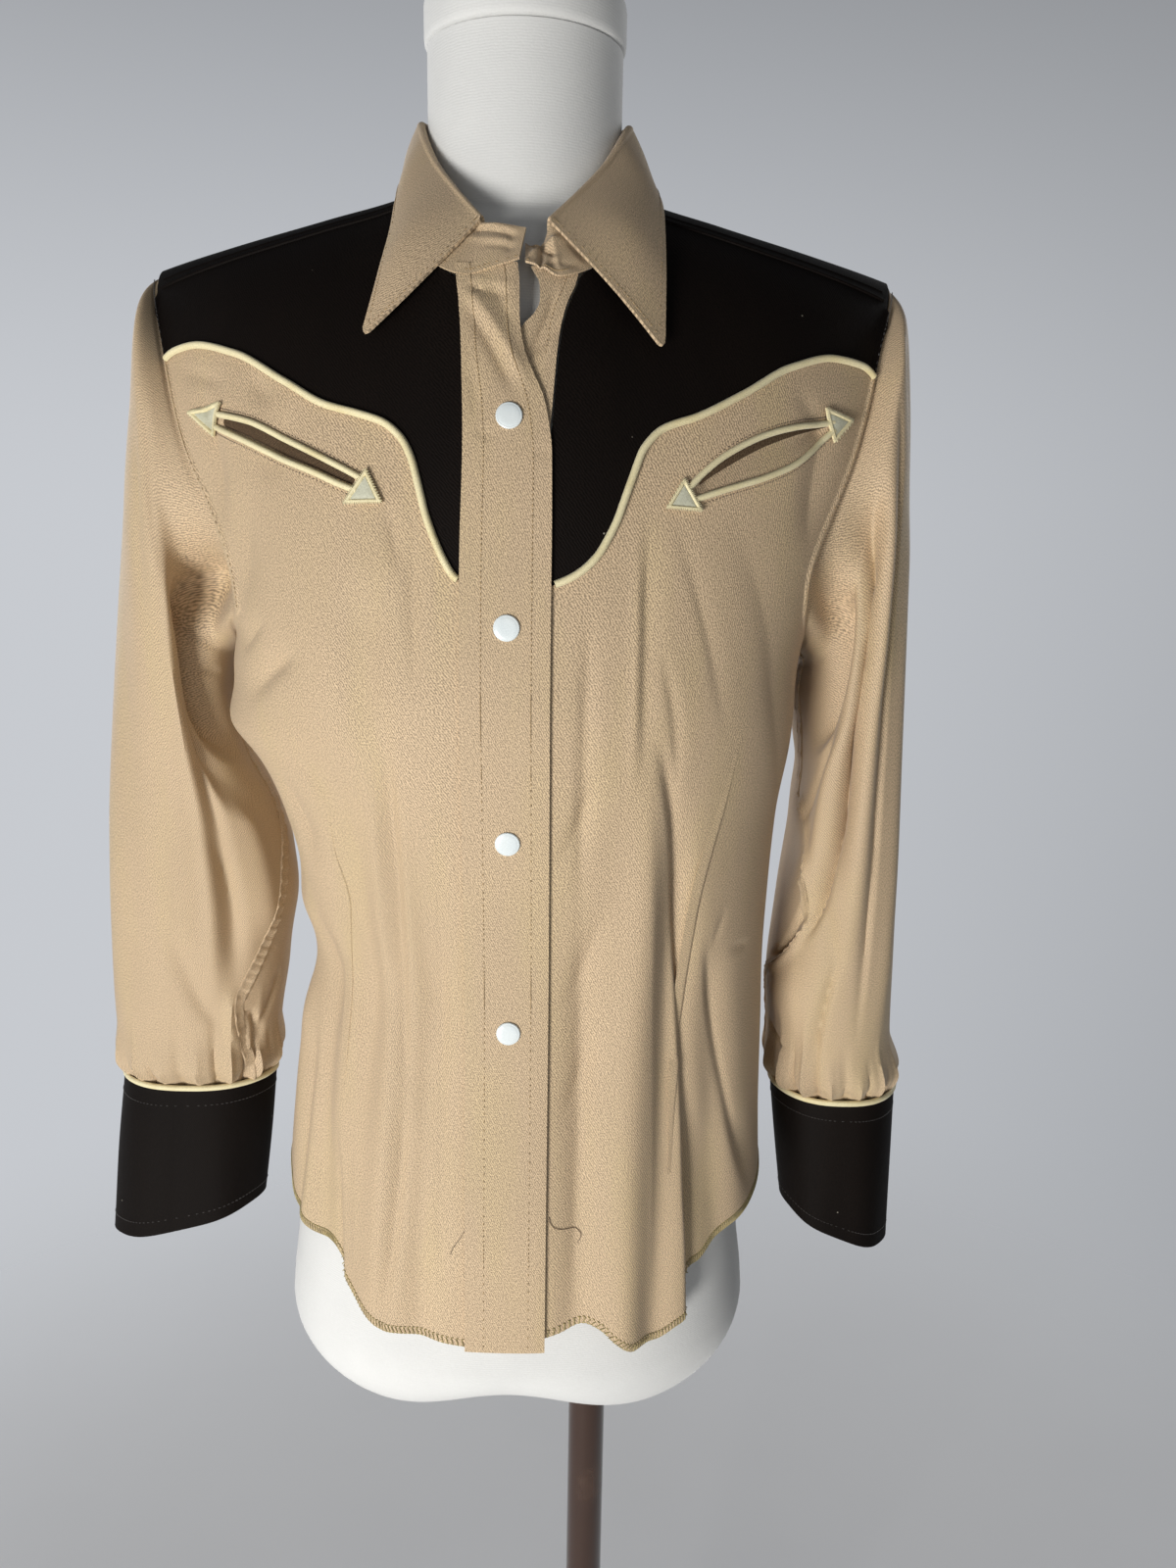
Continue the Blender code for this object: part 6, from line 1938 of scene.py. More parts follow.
@dataclass
class Yokes:
    """The dark front and back yokes, with the cream piping along their lower edges."""

    blank: Blank
    columns: int = 72
    rows: int = 60
    neck_columns: int = 44
    front_cord_stations: int = 220
    back_cord_stations: int = 260
    cord_from: float = 0.0215  # the front cords come out from under the placket here
    seam_width: float = 0.0074  # of the shoulder seams' pressed edges
    seam_height: float = 0.0010

    def shoulder_over(self, x: Array) -> Array:
        """How far in front of the ridge the shoulder seam lies, as an angle over it."""
        top = self.blank.ridge.read("x", "z", x)
        return -np.arccos(1 - SHOULDER_DROP / (top - BUST_Z))

    def front(self, side: int) -> Sheet:
        """A front yoke, from its seam up to the shoulder seam."""
        share = np.linspace(0, 1, fine(self.columns) + 1)
        up = closing(fine(self.rows))
        x = shoulder_x(share)
        top_angle, top = self.blank.over_ridge(side * x, self.shoulder_over(x))
        z = mix(self.blank.seam_height(side, share) + SEAM / 2, top, up)
        shift = top_angle - self.blank.across_front(side, share, top)
        angle = self.blank.across_front(side, share, z) + shift * ease((up - 0.5) / 0.5)
        points, outwards = self.blank.surface(angle, z, self.blank.armhole_rise(side, angle, z))
        places = self.blank.places(angle, z)
        return Sheet(f"front_{side_word(side)}_yoke", points, outwards, CLOTH, places=places)

    def build_shoulder_seam(self, maker: Maker, sheet: Sheet, side: int) -> None:
        """Makes the shoulder seam's pressed edge, a low lip along the front yoke's top."""
        path, outwards = sheet.outside[-1, 2:-2], sheet.outwards[-1, 2:-2]
        name = f"{side_word(side)}_shoulder_seam"
        obj = sweep(name, path, outwards, self.seam_width, self.seam_height, 0.0, section=FELLED)
        maker.piece(obj, Finish.BROWN, f"front_{side_word(side)}_yoke")

    def back_columns(self) -> Array:
        """The back's columns as shares, from the wearer's left armhole at -1 to the right."""
        outer = np.linspace(-1, -NECK_SHARE, fine(self.columns) + 1)
        inner = np.linspace(-NECK_SHARE, NECK_SHARE, fine(self.neck_columns) + 1)
        return np.concatenate([outer, inner[1:-1], -outer[::-1]])

    def back_angle(self, share: Array, z: Array) -> Array:
        """The angle round the body of a share of the back's width, at a height."""
        reach = np.radians(self.blank.armhole.read("z", "back", z))
        return np.pi + share * (reach - self.blank.seam_gap(1, reach, z))

    def back_seam(self, share: Array) -> Array:
        """The back yoke seam's height."""
        return BACK_SEAM.read("share", "z", np.abs(share))

    def arm_edge_x(self, side: Array, over: Array) -> Array:
        """The back armhole's x against the angle over the ridge."""
        tip = self.blank.ridge.read("x", "z", 0.19)
        z = BUST_Z + (tip - BUST_Z) * np.cos(over)
        reach = np.radians(self.blank.armhole.read("z", "back", z))
        reach = reach - SEAM * 0.5 / self.blank.half_width(side, z)
        return self.blank.half_width(side, z) * np.sin(reach) ** (2 / SQUARE)

    def back(self) -> Sheet:
        """The back yoke, up over the ridge to the shoulder seams, and round the neckline."""
        share = self.back_columns()
        side = np.where(share <= 0, 1.0, -1.0)
        low_z = self.back_seam(share) + SEAM / 2
        low_x = np.abs(self.blank.bare(self.back_angle(share, low_z), low_z)[..., 0])
        top = self.blank.ridge.read("x", "z", low_x)
        low_over = np.arccos((low_z - BUST_Z) / (top - BUST_Z))
        behind = NECKLINE["over"] > -20
        neck_x, neck_over = NECKLINE["x"][behind], np.radians(NECKLINE["over"][behind])
        step = np.abs(share) / NECK_SHARE
        shoulder = shoulder_x(np.clip((step - 1) * NECK_SHARE / (1 - NECK_SHARE), 0, 1))
        along_neck = np.radians(BACK_NECK.read("step", "over", np.clip(step, 0, 1)))
        high_over = np.where(step <= 1, along_neck, self.shoulder_over(shoulder))
        neck_line = smooth(high_over, neck_over, neck_x) - UNDER_COLLAR
        high_x = np.where(step <= 1, np.maximum(neck_line, 0.0), shoulder)
        low_part = low_x / self.arm_edge_x(side, low_over)
        high_part = high_x / self.arm_edge_x(side, high_over)
        up = closing(fine(self.rows))
        over = mix(low_over, high_over, up)
        x = side * mix(low_part, high_part, up) * self.arm_edge_x(side, over)
        points, outwards = self.blank.ridge_point(x, over), self.blank.ridge_normal(x, over)
        return Sheet("back_yoke", points, outwards, CLOTH)

    def build(self, maker: Maker) -> None:
        """Makes the yokes and their piping."""
        for side in (-1, 1):
            sheet = self.front(side)
            maker.cloth(sheet, Finish.BROWN)
            self.build_shoulder_seam(maker, sheet, side)
            self.build_front_piping(maker, side)
        maker.cloth(self.back(), Finish.BROWN)
        share = np.linspace(-0.972, 0.972, fine(self.back_cord_stations))
        z = self.back_seam(share)
        path, outwards = self.blank.surface(self.back_angle(share, z), z)
        obj = sweep("back_cord", path, outwards, PIPING_WIDTH, PIPING_HEIGHT, 2 * SEAM)
        maker.piece(obj, Finish.PIPING, "back_piping", "back_piping")

    def build_front_piping(self, maker: Maker, side: int) -> None:
        """Makes the piping along a front yoke's seam, from under the placket to the armhole."""
        share = np.linspace(0.0, 0.975, fine(self.front_cord_stations))
        z = self.blank.seam_height(side, share)
        path, outwards = self.blank.surface(self.blank.across_front(side, share, z), z)
        keep = np.abs(path[:, 0]) > self.cord_from
        path, outwards = path[keep], outwards[keep]
        word = side_word(side)
        obj = sweep(f"{word}_yoke_cord", path, outwards, PIPING_WIDTH, PIPING_HEIGHT, 2 * SEAM)
        maker.piece(obj, Finish.PIPING, f"front_{word}_piping", f"front_{word}_piping")


@dataclass
class Back:
    """The back below its yoke, in one piece from side seam to side seam."""

    blank: Blank
    yokes: Yokes
    rows: int = 112

    def build(self, maker: Maker) -> None:
        """Makes the back and its overlocked hem."""
        share = self.yokes.back_columns()
        up = np.linspace(0, 1, fine(self.rows) + 1)[:, None]
        bottom = HEM_BACK.read("angle", "z", np.abs(share) * 90)
        z = mix(bottom, self.yokes.back_seam(share) - SEAM / 2, up)
        angle = self.yokes.back_angle(share, z)
        points, outwards = self.blank.surface(angle, z)
        sheet = Sheet("back_panel", points, outwards, CLOTH, places=self.blank.places(angle, z))
        maker.cloth(sheet, Finish.TAN)
        hem = Stitching("hem_overlock_back")
        overlock(hem, points, outwards, 1)
        maker.piece(hem.build(), Finish.HEM_THREAD, "back_panel")


@dataclass
class Placket:
    """The band of the opening and the band under it, with two rows of stitches and four snaps."""

    blank: Blank
    rows: int = 270
    columns: int = 22
    stitch_lines: tuple[float, float] = (-0.0122, 0.0112)  # from the centre line
    centre_in: float = 0.0222  # the centre line's distance from the upper band's right edge
    width: float = 0.0422
    under_stitch_in: float = 0.0050
    under_stitch_from: float = 1.15  # below this the upper band hides the under one's stitches

    def top(self) -> float:
        """The height where the bands meet the neckline."""
        return float(PLACKET["z"][-1])

    def band(self, name: str, low: str, high: str, off: float, bottom: float) -> Sheet:
        """One band as a sheet, its own creases added to the body's."""
        rows, columns = fine(self.rows), fine(self.columns)
        z = np.broadcast_to(np.linspace(bottom, self.top(), rows)[:, None], (rows, columns))
        left, right = PLACKET.reads("z", z, low, high)
        x = mix(left, right, np.linspace(0, 1, columns))
        lift = off + crease_relief(PLACKET_CREASES, x, z)
        points, outwards = self.blank.surface(self.blank.angle_of(x, z), z, lift)
        return Sheet(name, points, outwards, CLOTH, places=np.stack([x, z], -1))

    def stitch(self, rows: Stitching, x: Array, z: Array, off: float) -> None:
        """Adds a row of stitches down a band."""
        lift = off + crease_relief(PLACKET_CREASES, x, z)
        rows.row(*self.blank.surface(self.blank.angle_of(x, z), z, lift))

    def build(self, maker: Maker) -> None:
        """Makes both bands, their stitching and the snaps."""
        over = self.band("placket", "over_right", "over_left", OVER_FRONTS, PLACKET_BOTTOM)
        under = self.band("under_placket", "under_right", "under_left", 0.0, UNDER_PLACKET_BOTTOM)
        maker.cloth(over, Finish.TAN)
        maker.cloth(under, Finish.TAN)
        rows = Stitching("placket_stitching")
        z = np.linspace(PLACKET_BOTTOM + 0.001, self.top(), 400)
        left, right = PLACKET.reads("z", z, "over_right", "over_left")
        for line in self.stitch_lines:
            x = mix(left, right, (line + self.centre_in) / self.width)
            self.stitch(rows, x, z, OVER_FRONTS)
        z = z[z > self.under_stitch_from]
        self.stitch(rows, PLACKET.read("z", "under_left", z) - self.under_stitch_in, z, 0.0)
        maker.piece(rows.build(), Finish.SEAM_THREAD, "placket")
        for number, height in enumerate(SNAP_HEIGHTS, 1):
            at = np.array([height])
            lift = OVER_FRONTS + crease_relief(PLACKET_CREASES, np.zeros(1), at)
            foot, outwards = self.blank.surface(np.zeros(1), at, lift)
            build_snap(maker, f"snap_{number}", foot[0], outwards[0])


SNAP_PROFILE = table(
    "radius height",
    (0.30, -0.10),
    (0.86, -0.10),
    (0.96, 0.02),
    (1.00, 0.20),
    (0.985, 0.38),
    (0.93, 0.50),
    (0.89, 0.53),
    (0.86, 0.51),
    (0.82, 0.56),
    (0.66, 0.63),
    (0.40, 0.66),
    (0.12, 0.67),
)


def build_snap(maker: Maker, node: str, foot: Array, outwards: Array) -> None:
    """Makes a snap's cap: a low dome in a fine rim, square to the cloth."""
    rings = turned(foot, outwards, SNAP_PROFILE, SNAP_RADIUS, SNAP_HEIGHT)
    maker.piece(solid_rings(node + "_cap", rings), Finish.SNAP, node, node)


@dataclass
class Collar:
    """The collar's stand and its pointed fall, stitched along the fall's edges."""

    blank: Blank
    stand_stations: int = 130
    fall_stations: int = 84
    stitch_in: float = 0.0048
    tip_radius: float = 0.0022
    turn_radius: float = 0.0023  # of the fall's turn over the stand
    turn_rows: int = 9
    fold_reach: float = 0.0022  # how far the stand stays inside the fold
    stand_rows: int = 24
    fall_rows: int = 44
    stand_stitch_up: float = 0.12  # the share of the stand's height
    tip_reach: float = 0.02  # only what lies this near the tip's circle is drawn to it
    tip_left: float = 0.12  # the share of a point's distance from the circle that stays

    def on_shirt(self, x: Array, over: Array, off: Array) -> Array:
        """A line on the shirt near the ridge, moved out from it."""
        return self.blank.ridge_point(x, over) + self.blank.ridge_normal(x, over) * off[..., None]

    def whole(self, left: Array, right: Array) -> Array:
        """A whole line from its halves, each from the centre back: the wearer's left comes first."""
        return np.concatenate([left[::-1], right[1:] * np.array([-1.0, 1.0, 1.0])])

    def half_stand(self, end: Columns) -> tuple[Array, Array]:
        """Half of the stand's foot and fold, from the centre back to its own end."""
        feet = {name: np.append(COLLAR[name], end[name]) for name in end.names}
        foot = self.on_shirt(feet["foot_x"], np.radians(feet["over"]), feet["foot_off"])
        fold = np.stack([feet["fold_x"], feet["fold_y"], feet["fold_z"]], -1)
        return resample(foot, fine(self.stand_stations)), resample(fold, fine(self.stand_stations))

    def stand(self) -> tuple[Array, Array]:
        """The stand's points, upright from the neckline to just under the fold, and outwards."""
        left, right = self.half_stand(STAND_END_LEFT), self.half_stand(STAND_END_RIGHT)
        low, high = (self.whole(a, b) for a, b in zip(left, right))
        up = np.linspace(0, 1, fine(self.stand_rows))[:, None, None]
        high = high - unit(high * LEVEL) * self.fold_reach - UP * STAND_DROP
        grid = mix(low, high, up)
        outwards = grid_normals(grid)
        outwards = outwards * np.sign((outwards * LEVEL * grid).sum(-1, keepdims=True))
        front = ease(-grid[..., 1] / 0.04)
        relief = crease_relief(STAND_CREASES, grid[..., 0], grid[..., 2]) * front
        grid = grid + outwards * relief[..., None]
        return grid, outwards

    def fall(self) -> tuple[Array, Array]:
        """The fall's points from its fold down to its edge, bowed a little outwards.

        Its front edges sag instead: over the last stations the bow's height changes from
        FALL_RISE to minus the side's own sag.
        """
        fold = resample(COLLAR.line("fold_x", "fold_y", "fold_z"), fine(self.fall_stations))
        edges = []
        for free in (FALL_LEFT, FALL_RIGHT):
            edge = self.on_shirt(free["x"], np.radians(free["over"]), free["off"])
            edges.append(resample(edge, fine(self.fall_stations)))
        top, rim = self.whole(fold, fold), self.whole(*edges)
        down = np.linspace(0, 1, fine(self.fall_rows))[:, None, None]
        bow = np.sin(down * np.pi)
        outwards = unit((mix(top, rim, 0.5) - np.array([0.0, 0.005, 0.0])) * LEVEL)
        along = np.linspace(-1, 1, top.shape[0])
        sag = np.where(along < 0, FALL_SAG_LEFT, FALL_SAG_RIGHT)
        rise = mix(FALL_RISE, -sag, ease((np.abs(along) - 0.8) / 0.2) ** 2)
        grid = mix(top, rim, down) + bow * rise[:, None] * UP
        swell = FALL_SWELL + FALL_FRONT * ease((np.abs(along) - 0.72) / 0.22)
        grid = grid + outwards * bow * swell[:, None]
        grid = np.concatenate([self.turn_over(top, outwards), grid])
        normals = grid_normals(grid)
        normals = normals * np.sign((normals * outwards).sum(-1, keepdims=True).mean())
        for end, step in ((0, 1), (-1, -1)):
            grid = self.rounded(grid, end, step)
        return grid, normals

    def turn_over(self, fold: Array, outwards: Array) -> Array:
        """The rows that turn over the stand's top: a half circle from its inside up to the fold."""
        turn = np.radians(np.linspace(180.0, 0.0, self.turn_rows)[:-1])[:, None, None]
        up, out = UP * self.turn_radius, outwards * self.turn_radius
        arch = fold - out + out * np.cos(turn) + up * np.sin(turn)
        return np.concatenate([arch[:1] - up * 1.6, arch])

    def rounded(self, grid: Array, end: int, step: int) -> Array:
        """Rounds the tip at one end: what lies beyond a circle in the corner is drawn to it."""
        tip = grid[-1, end]
        up, along = unit(grid[-6, end] - tip), unit(grid[-1, end + 4 * step] - tip)
        bisector = unit(up + along)
        half = np.arccos(np.clip((up * bisector).sum(), -1, 1))
        centre = tip + bisector * self.tip_radius / np.sin(half)
        away = grid - centre
        distance = np.linalg.norm(away, axis=-1)
        beyond = (away @ -bisector > self.tip_radius * np.sin(half)) & (distance > self.tip_radius)
        near = beyond & (distance < self.tip_reach)
        drawn = self.tip_radius + (distance - self.tip_radius) * self.tip_left
        moved = centre + away * (drawn / distance)[..., None]
        return np.where(near[..., None], moved, grid)

    def build(self, maker: Maker) -> None:
        """Makes the stand, the fall and their stitching."""
        grid, outwards = self.stand()
        sheet = Sheet("collar_stand", grid, outwards, CLOTH)
        maker.cloth(sheet, Finish.TAN)
        rows = Stitching("collar_stitching")
        low = max(2, int(len(grid) * self.stand_stitch_up))
        rows.row(grid[low], outwards[low])
        grid, outwards = self.fall()
        sheet = Sheet("collar_fall", grid, outwards, STIFF_CLOTH)
        maker.cloth(sheet, Finish.TAN)
        self.stitch_fall(rows, grid, outwards)
        maker.piece(rows.build(), Finish.SEAM_THREAD, "collar_fall")

    def stitch_fall(self, rows: Stitching, grid: Array, outwards: Array) -> None:
        """Adds the row of stitches that runs inside the fall's front and lower edges."""
        inset = int(round(len(grid) * (1 - self.stitch_in / length_of(grid[:, 0]))))
        step = np.linalg.norm(grid[-10, 2] - grid[-10, 1])
        side_in = max(1, int(round(self.stitch_in / step)))
        last = grid.shape[1] - 1
        for column in (side_in, last - side_in):
            down = slice(self.turn_rows, inset)
            rows.row(grid[down, column], outwards[down, column])
        lower = slice(side_in, last - side_in + 1)
        rows.row(grid[inset - 1, lower], outwards[inset - 1, lower])


# Each sleeve's tables, by its side
SLEEVE_TABLES = {
    -1: (
        SLEEVE_RIGHT,
        CUFF_RIGHT,
        SLEEVE_FOLDS_RIGHT,
        SLEEVE_CREASES_RIGHT,
        SLEEVE_SWELLS_RIGHT,
        SLEEVE_SEAM_RIGHT,
    ),
    1: (
        SLEEVE_LEFT,
        CUFF_LEFT,
        SLEEVE_FOLDS_LEFT,
        SLEEVE_CREASES_LEFT,
        SLEEVE_SWELLS_LEFT,
        SLEEVE_SEAM_LEFT,
    ),
}


@dataclass
class Sided:
    """A part of the shirt that each side has."""

    blank: Blank
    side: int

    @property
    def word(self) -> str:
        """The wearer's side in words."""
        return side_word(self.side)


@dataclass
class Sleeve(Sided):
    """One sleeve with its cuff, the piping between them and the cuff's snaps."""

    lines: Columns
    cuff_lines: Columns
    folds: Columns
    creases: Columns
    swells: Columns
    seam: Columns
    sides: int = 150
    rows: int = 176
    arc: float = 0.0008  # metres round the sleeve for each degree
    length: float = 0.46
    bloused: float = 0.0030  # how far the sleeve swells over the cuff
    felled_width: float = 0.0068
    felled_height: float = 0.0008
    seam_stations: int = 190
    cuff_sides: int = 132
    cuff_rows: int = 34
    armhole_groove: float = 0.0008  # how deep the cloth sinks beside the armhole
    snap_facing: float = 270.0  # degrees round the cuff, its back
    armhole_middle: tuple[float, float] = (0.12, 1.10)  # x and z that its edge is tucked towards

    def armhole_loop(self, around: Array) -> Array:
        """The armhole's edge, once round: 0 at the shoulder tip, 90 degrees in front."""
        armhole = self.blank.armhole
        top, bottom = armhole["z"][-1], armhole["z"][0]
        z = mix(bottom, top, (1 + np.cos(around)) / 2)
        front = np.radians(armhole.read("z", "front_" + self.word, z))
        back = np.pi - np.radians(armhole.read("z", "back", z))
        points = self.blank.surface(self.side * np.where(np.sin(around) >= 0, front, back), z)[0]
        x, height = self.armhole_middle
        away = unit(points - np.array([self.side * x, RIDGE_Y, height]))
        inwards = np.array([self.side * -0.4, 0.0, 0.0])
        return points + (inwards - away) * SLEEVE_TUCK

    def ovals(self, lines: Columns, around: Array, edge: float = 0.9, face: float = 0.9) -> Array:
        """One ring for each row: an oval whose plane holds the outer and the inner line.

        Across it follows |cos|^edge and front to back |sin|^face, so a smaller edge and a larger
        face press it flatter.
        """
        outer = np.stack([self.side * lines["outer_x"], lines["outer_z"]], -1)
        inner = np.stack([self.side * lines["inner_x"], lines["inner_z"]], -1)
        middle, reach = (outer + inner) / 2, (outer - inner) / 2
        cosine, sine = np.cos(around), np.sin(around)
        along = np.sign(cosine) * np.abs(cosine) ** edge
        depth = np.sign(sine) * np.abs(sine) ** face
        x = middle[:, :1] + reach[:, :1] * along
        z = middle[:, 1:] + reach[:, 1:] * along
        y = lines["middle_y"][:, None] - lines["depth"][:, None] * depth
        return np.stack([x, y, z], -1)

    def relief(self, around: Array, share: Array) -> Array:
        """The sleeve's folds, creases and gathers added up."""
        degrees = np.degrees(around)
        total = np.zeros(np.broadcast(around, share).shape)
        for fold in self.folds.each():
            along = (share - fold["from"]) / (fold["to"] - fold["from"])
            strength = ease(along / 0.3) * (1 - ease((along - 0.75) / 0.25))
            total = total + fold_height(fold, degrees, along, strength)
        total = total + swell_heights(self.swells, "share", degrees, share)
        x = turned_from(degrees, 0.0) * self.arc
        for turn in (-360.0, 0.0, 360.0):
            total = total + crease_relief(self.creases, x + turn * self.arc, -share * self.length)
        for gather in GATHERS.each():
            away = turned_from(degrees, gather["angle"])
            up = (1 - share) * self.length / gather["reach"]
            strength = np.clip(1 - up, 0, 1) ** 1.2 * (0.35 + 0.65 * ease((1 - share) / 0.015))
            total = total + gather["height"] * strength * np.exp(-((away / gather["width"]) ** 2))
        swell = ease((share - 0.90) / 0.06) * (1 - 1.6 * ease((share - 0.965) / 0.035))
        groove = self.armhole_groove * np.exp(-(((share - 0.018) / 0.008) ** 2))
        return total + self.bloused * swell - groove

    def rings(self, around: Array, share: Array) -> tuple[Array, Array]:
        """The sleeve's rings at shares of its length, and the directions outwards."""
        controls = np.concatenate([self.armhole_loop(around)[None], self.ovals(self.lines, around)])
        stations = np.arange(len(controls)) / (len(controls) - 1)
        rings = smooth(share, stations, controls)
        outwards = tube_normals(rings) * self.side
        return rings + outwards * self.relief(around, share[:, None])[..., None], outwards

    def build(self, maker: Maker) -> None:
        """Makes the sleeve and what is sewn to its end."""
        share = np.linspace(0, 1, fine(self.rows) + 1)
        rings, outwards = self.rings(once_round(fine(self.sides)), share)
        sheet = Sheet(f"sleeve_{self.word}", rings, outwards, CLOTH, closed=True)
        maker.cloth(sheet, Finish.TAN)
        self.build_seam(maker, rings)
        self.build_cuff(maker)

    def build_seam(self, maker: Maker, rings: Array) -> None:
        """Makes the felled seam down the sleeve's inner side, a little puckered."""
        line = self.seam.line("angle", "share") * np.array([0.01, 1.0])
        line = spaced(resample(line, 80), fine(self.seam_stations))
        rows, columns = line[:, 1] * (len(rings) - 1), line[:, 0] * 100 / 360 * rings.shape[1]
        r, c = rows.astype(int).clip(0, len(rings) - 2), columns.astype(int)
        down, aside = (rows - r)[:, None], (columns - c)[:, None]
        above, below = (mix(rings[row, c], rings[row, c + 1], aside) for row in (r, r + 1))
        near = mix(above, below, down)
        around, ahead = rings[r, c + 2] - rings[r, c - 2], rings[r + 1, c] - rings[r, c]
        outwards = unit(np.cross(around, ahead)) * self.side
        along = np.arange(len(near))
        pucker = 1 + 0.35 * np.sin(along * 1.1) + 0.25 * np.sin(along * 2.3 + 1.0)
        name = f"{self.word}_sleeve_seam"
        height = self.felled_height * pucker
        obj = sweep(name, near, outwards, self.felled_width, height, 0.00005, section=FELLED)
        maker.piece(obj, Finish.TAN, f"sleeve_{self.word}")

    def build_cuff(self, maker: Maker) -> None:
        """Makes the cuff, its piping and its snaps."""
        around = once_round(fine(self.cuff_sides))
        pressed = self.ovals(self.cuff_lines, around, 0.80, 1.15)
        rings = resample(pressed, fine(self.cuff_rows))
        outwards = tube_normals(rings) * self.side
        down = np.linspace(0, 1, len(rings))[:, None]
        wave = 0.0012 * np.sin(3 * around + 0.8) * down**2 + 0.0005 * np.sin(7 * around) * down
        rings = rings + outwards * wave[..., None]
        rings[..., 2] += 0.0012 * np.sin(2 * around + 2.0) * down**3
        sheet = Sheet(f"cuff_{self.word}", rings, outwards, STIFF_CLOTH, closed=True)
        maker.cloth(sheet, Finish.BROWN)
        path, flat = rings[0] + UP * 0.0004, unit(outwards[0] * LEVEL)
        name, node = f"{self.word}_cuff_cord", f"cuff_piping_{self.word}"
        cord = sweep(name, path, flat, PIPING_WIDTH, PIPING_HEIGHT * 0.8, -0.0004, closed=True)
        maker.piece(cord, Finish.PIPING, node, node)
        rows = Stitching(f"cuff_stitching_{self.word}")
        rows.row(rings[-4], outwards[-4])
        rows.row(rings[4], outwards[4])
        maker.piece(rows.build(), Finish.DARK_THREAD, f"cuff_{self.word}")
        solid = resample(self.ovals(self.cuff_lines, np.radians([self.snap_facing])), 4)
        for number, row in enumerate((1, 2), 1):
            foot = solid[row, 0] + np.array([0.0, 3 * SEAM, 0.0])
            build_snap(maker, f"cuff_snap_{self.word}_{number}", foot, np.array([0.0, 1.0, 0.0]))


# An arrow tab's cross-sections, by the share of the way in from its edge and by height
TAB_RIM = ((0.0, 0.15), (0.0, 0.7), (0.04, 1.0), (0.15, 1.15), (0.27, 1.0), (0.34, 0.55), (0.7, 0.5))
TAB_SATIN = ((0.33, 0.45), (0.36, 0.72), (0.45, 0.80), (0.8, 0.86))


@dataclass
class Pocket(Sided):
    """A smile pocket's two piped welts, its arrow tabs and the stitching round it."""

    mouth: float  # the share of the gap between the welts that is open
    mouth_depth: float = -0.0010
    welt_stations: int = 110
    mouth_stations: int = 90
    tab_side_stations: int = 18

    def welt_line(self, part: str, count: int) -> Array:
        """The upper or the lower welt's line by x and z."""
        line = pocket_of(self.side)[0].line(part + "_x", part + "_z")
        return resample(line * np.array([self.side, 1.0]), count)

    def build(self, maker: Maker) -> None:
        """Makes the welts, the tabs and the stitching."""
        rows = Stitching(f"pocket_stitching_{self.word}", pitch=0.0019, length=0.0012, radius=0.00024)
        for part, away in (("upper", 0.0031), ("lower", -0.0030)):
            line = self.welt_line(part, fine(self.welt_stations))
            path, outwards = self.blank.on_front(line)
            name, node = f"{self.word}_{part}_welt", f"welt_{self.word}_{part}"
            obj = sweep(name, path, outwards, WELT_WIDTH, WELT_HEIGHT, 2 * SEAM)
            maker.piece(obj, Finish.PIPING, node, node)
            rows.row(*self.blank.on_front(line + np.array([0.0, away])))
        maker.piece(rows.build(), Finish.WELT_THREAD, f"front_{self.word}")
        self.build_mouth(maker)
        for place, tab in zip(("side", "centre"), pocket_of(self.side)[1].each()):
            self.build_tab(maker, place, tab)

    def build_mouth(self, maker: Maker) -> None:
        """Makes the pocket's open mouth: a dark strip between the welts whose colour is painted shade, the
        shadow seen under the upper welt.
        """
        upper, lower = (self.welt_line(part, fine(self.mouth_stations)) for part in ("upper", "lower"))
        gap = np.linalg.norm(upper - lower, axis=1)
        width = np.maximum((gap - WELT_WIDTH * 0.8) * self.mouth, 0.0002)
        share = ((WELT_WIDTH * 0.4 + width / 2) / gap).clip(0, 0.5)[:, None]
        path, outwards = self.blank.on_front(mix(upper, lower, share), self.mouth_depth)
        # painted shade: the strip's dark colour stands for the shadow in the slit under the upper welt
        obj = sweep(f"{self.word}_pocket_mouth", path, outwards, width, 0.0003, 0.0)
        maker.piece(obj, Finish.POCKET_BAG, f"front_{self.word}")

    def raised(self, outline: Array, middle: Array, profile: tuple[tuple[float, float], ...]) -> Array:
        """Rings from an outline in towards its middle, at their heights over the front."""
        rings = []
        for inset, height in profile:
            line = mix(outline, middle, inset)
            rings.append(self.blank.on_front(line, 3 * SEAM + TAB_HEIGHT * height)[0])
        return np.array(rings)

    def build_tab(self, maker: Maker, place: str, tab: dict[str, float]) -> None:
        """Makes an arrow tab: rings of a triangle, raised at its edge and lower in the middle."""
        names = ("tip", "upper", "lower")
        corners = np.array([[self.side * tab[f"{n}_x"], tab[f"{n}_z"]] for n in names])
        share = np.linspace(0, 1, fine(self.tab_side_stations), endpoint=False)[:, None]
        outline = np.concatenate([mix(corners[i], corners[(i + 1) % 3], share) for i in range(3)])
        middle = corners.mean(0)
        node = f"tab_{self.word}_{place}"
        name = f"{self.word}_{place}_arrow"
        rim, satin = (self.raised(outline, middle, profile) for profile in (TAB_RIM, TAB_SATIN))
        maker.piece(solid_rings(name, rim), Finish.PIPING, node, node)
        maker.piece(solid_rings(name + "_satin", satin), Finish.PATCH, node)
        edge = Stitching(f"{name}_stitching", pitch=0.0010, length=0.0020, radius=0.00020)
        closed_line = mix(np.concatenate([outline, outline[:1]]), middle, 0.03)
        path, outwards = self.blank.on_front(closed_line, 3 * SEAM + TAB_HEIGHT * 0.95)
        edge.row(path, outwards, turn=70.0)
        maker.piece(edge.build(), Finish.EDGE_THREAD, node)


# ---- The dress form, its stand and the studio ----


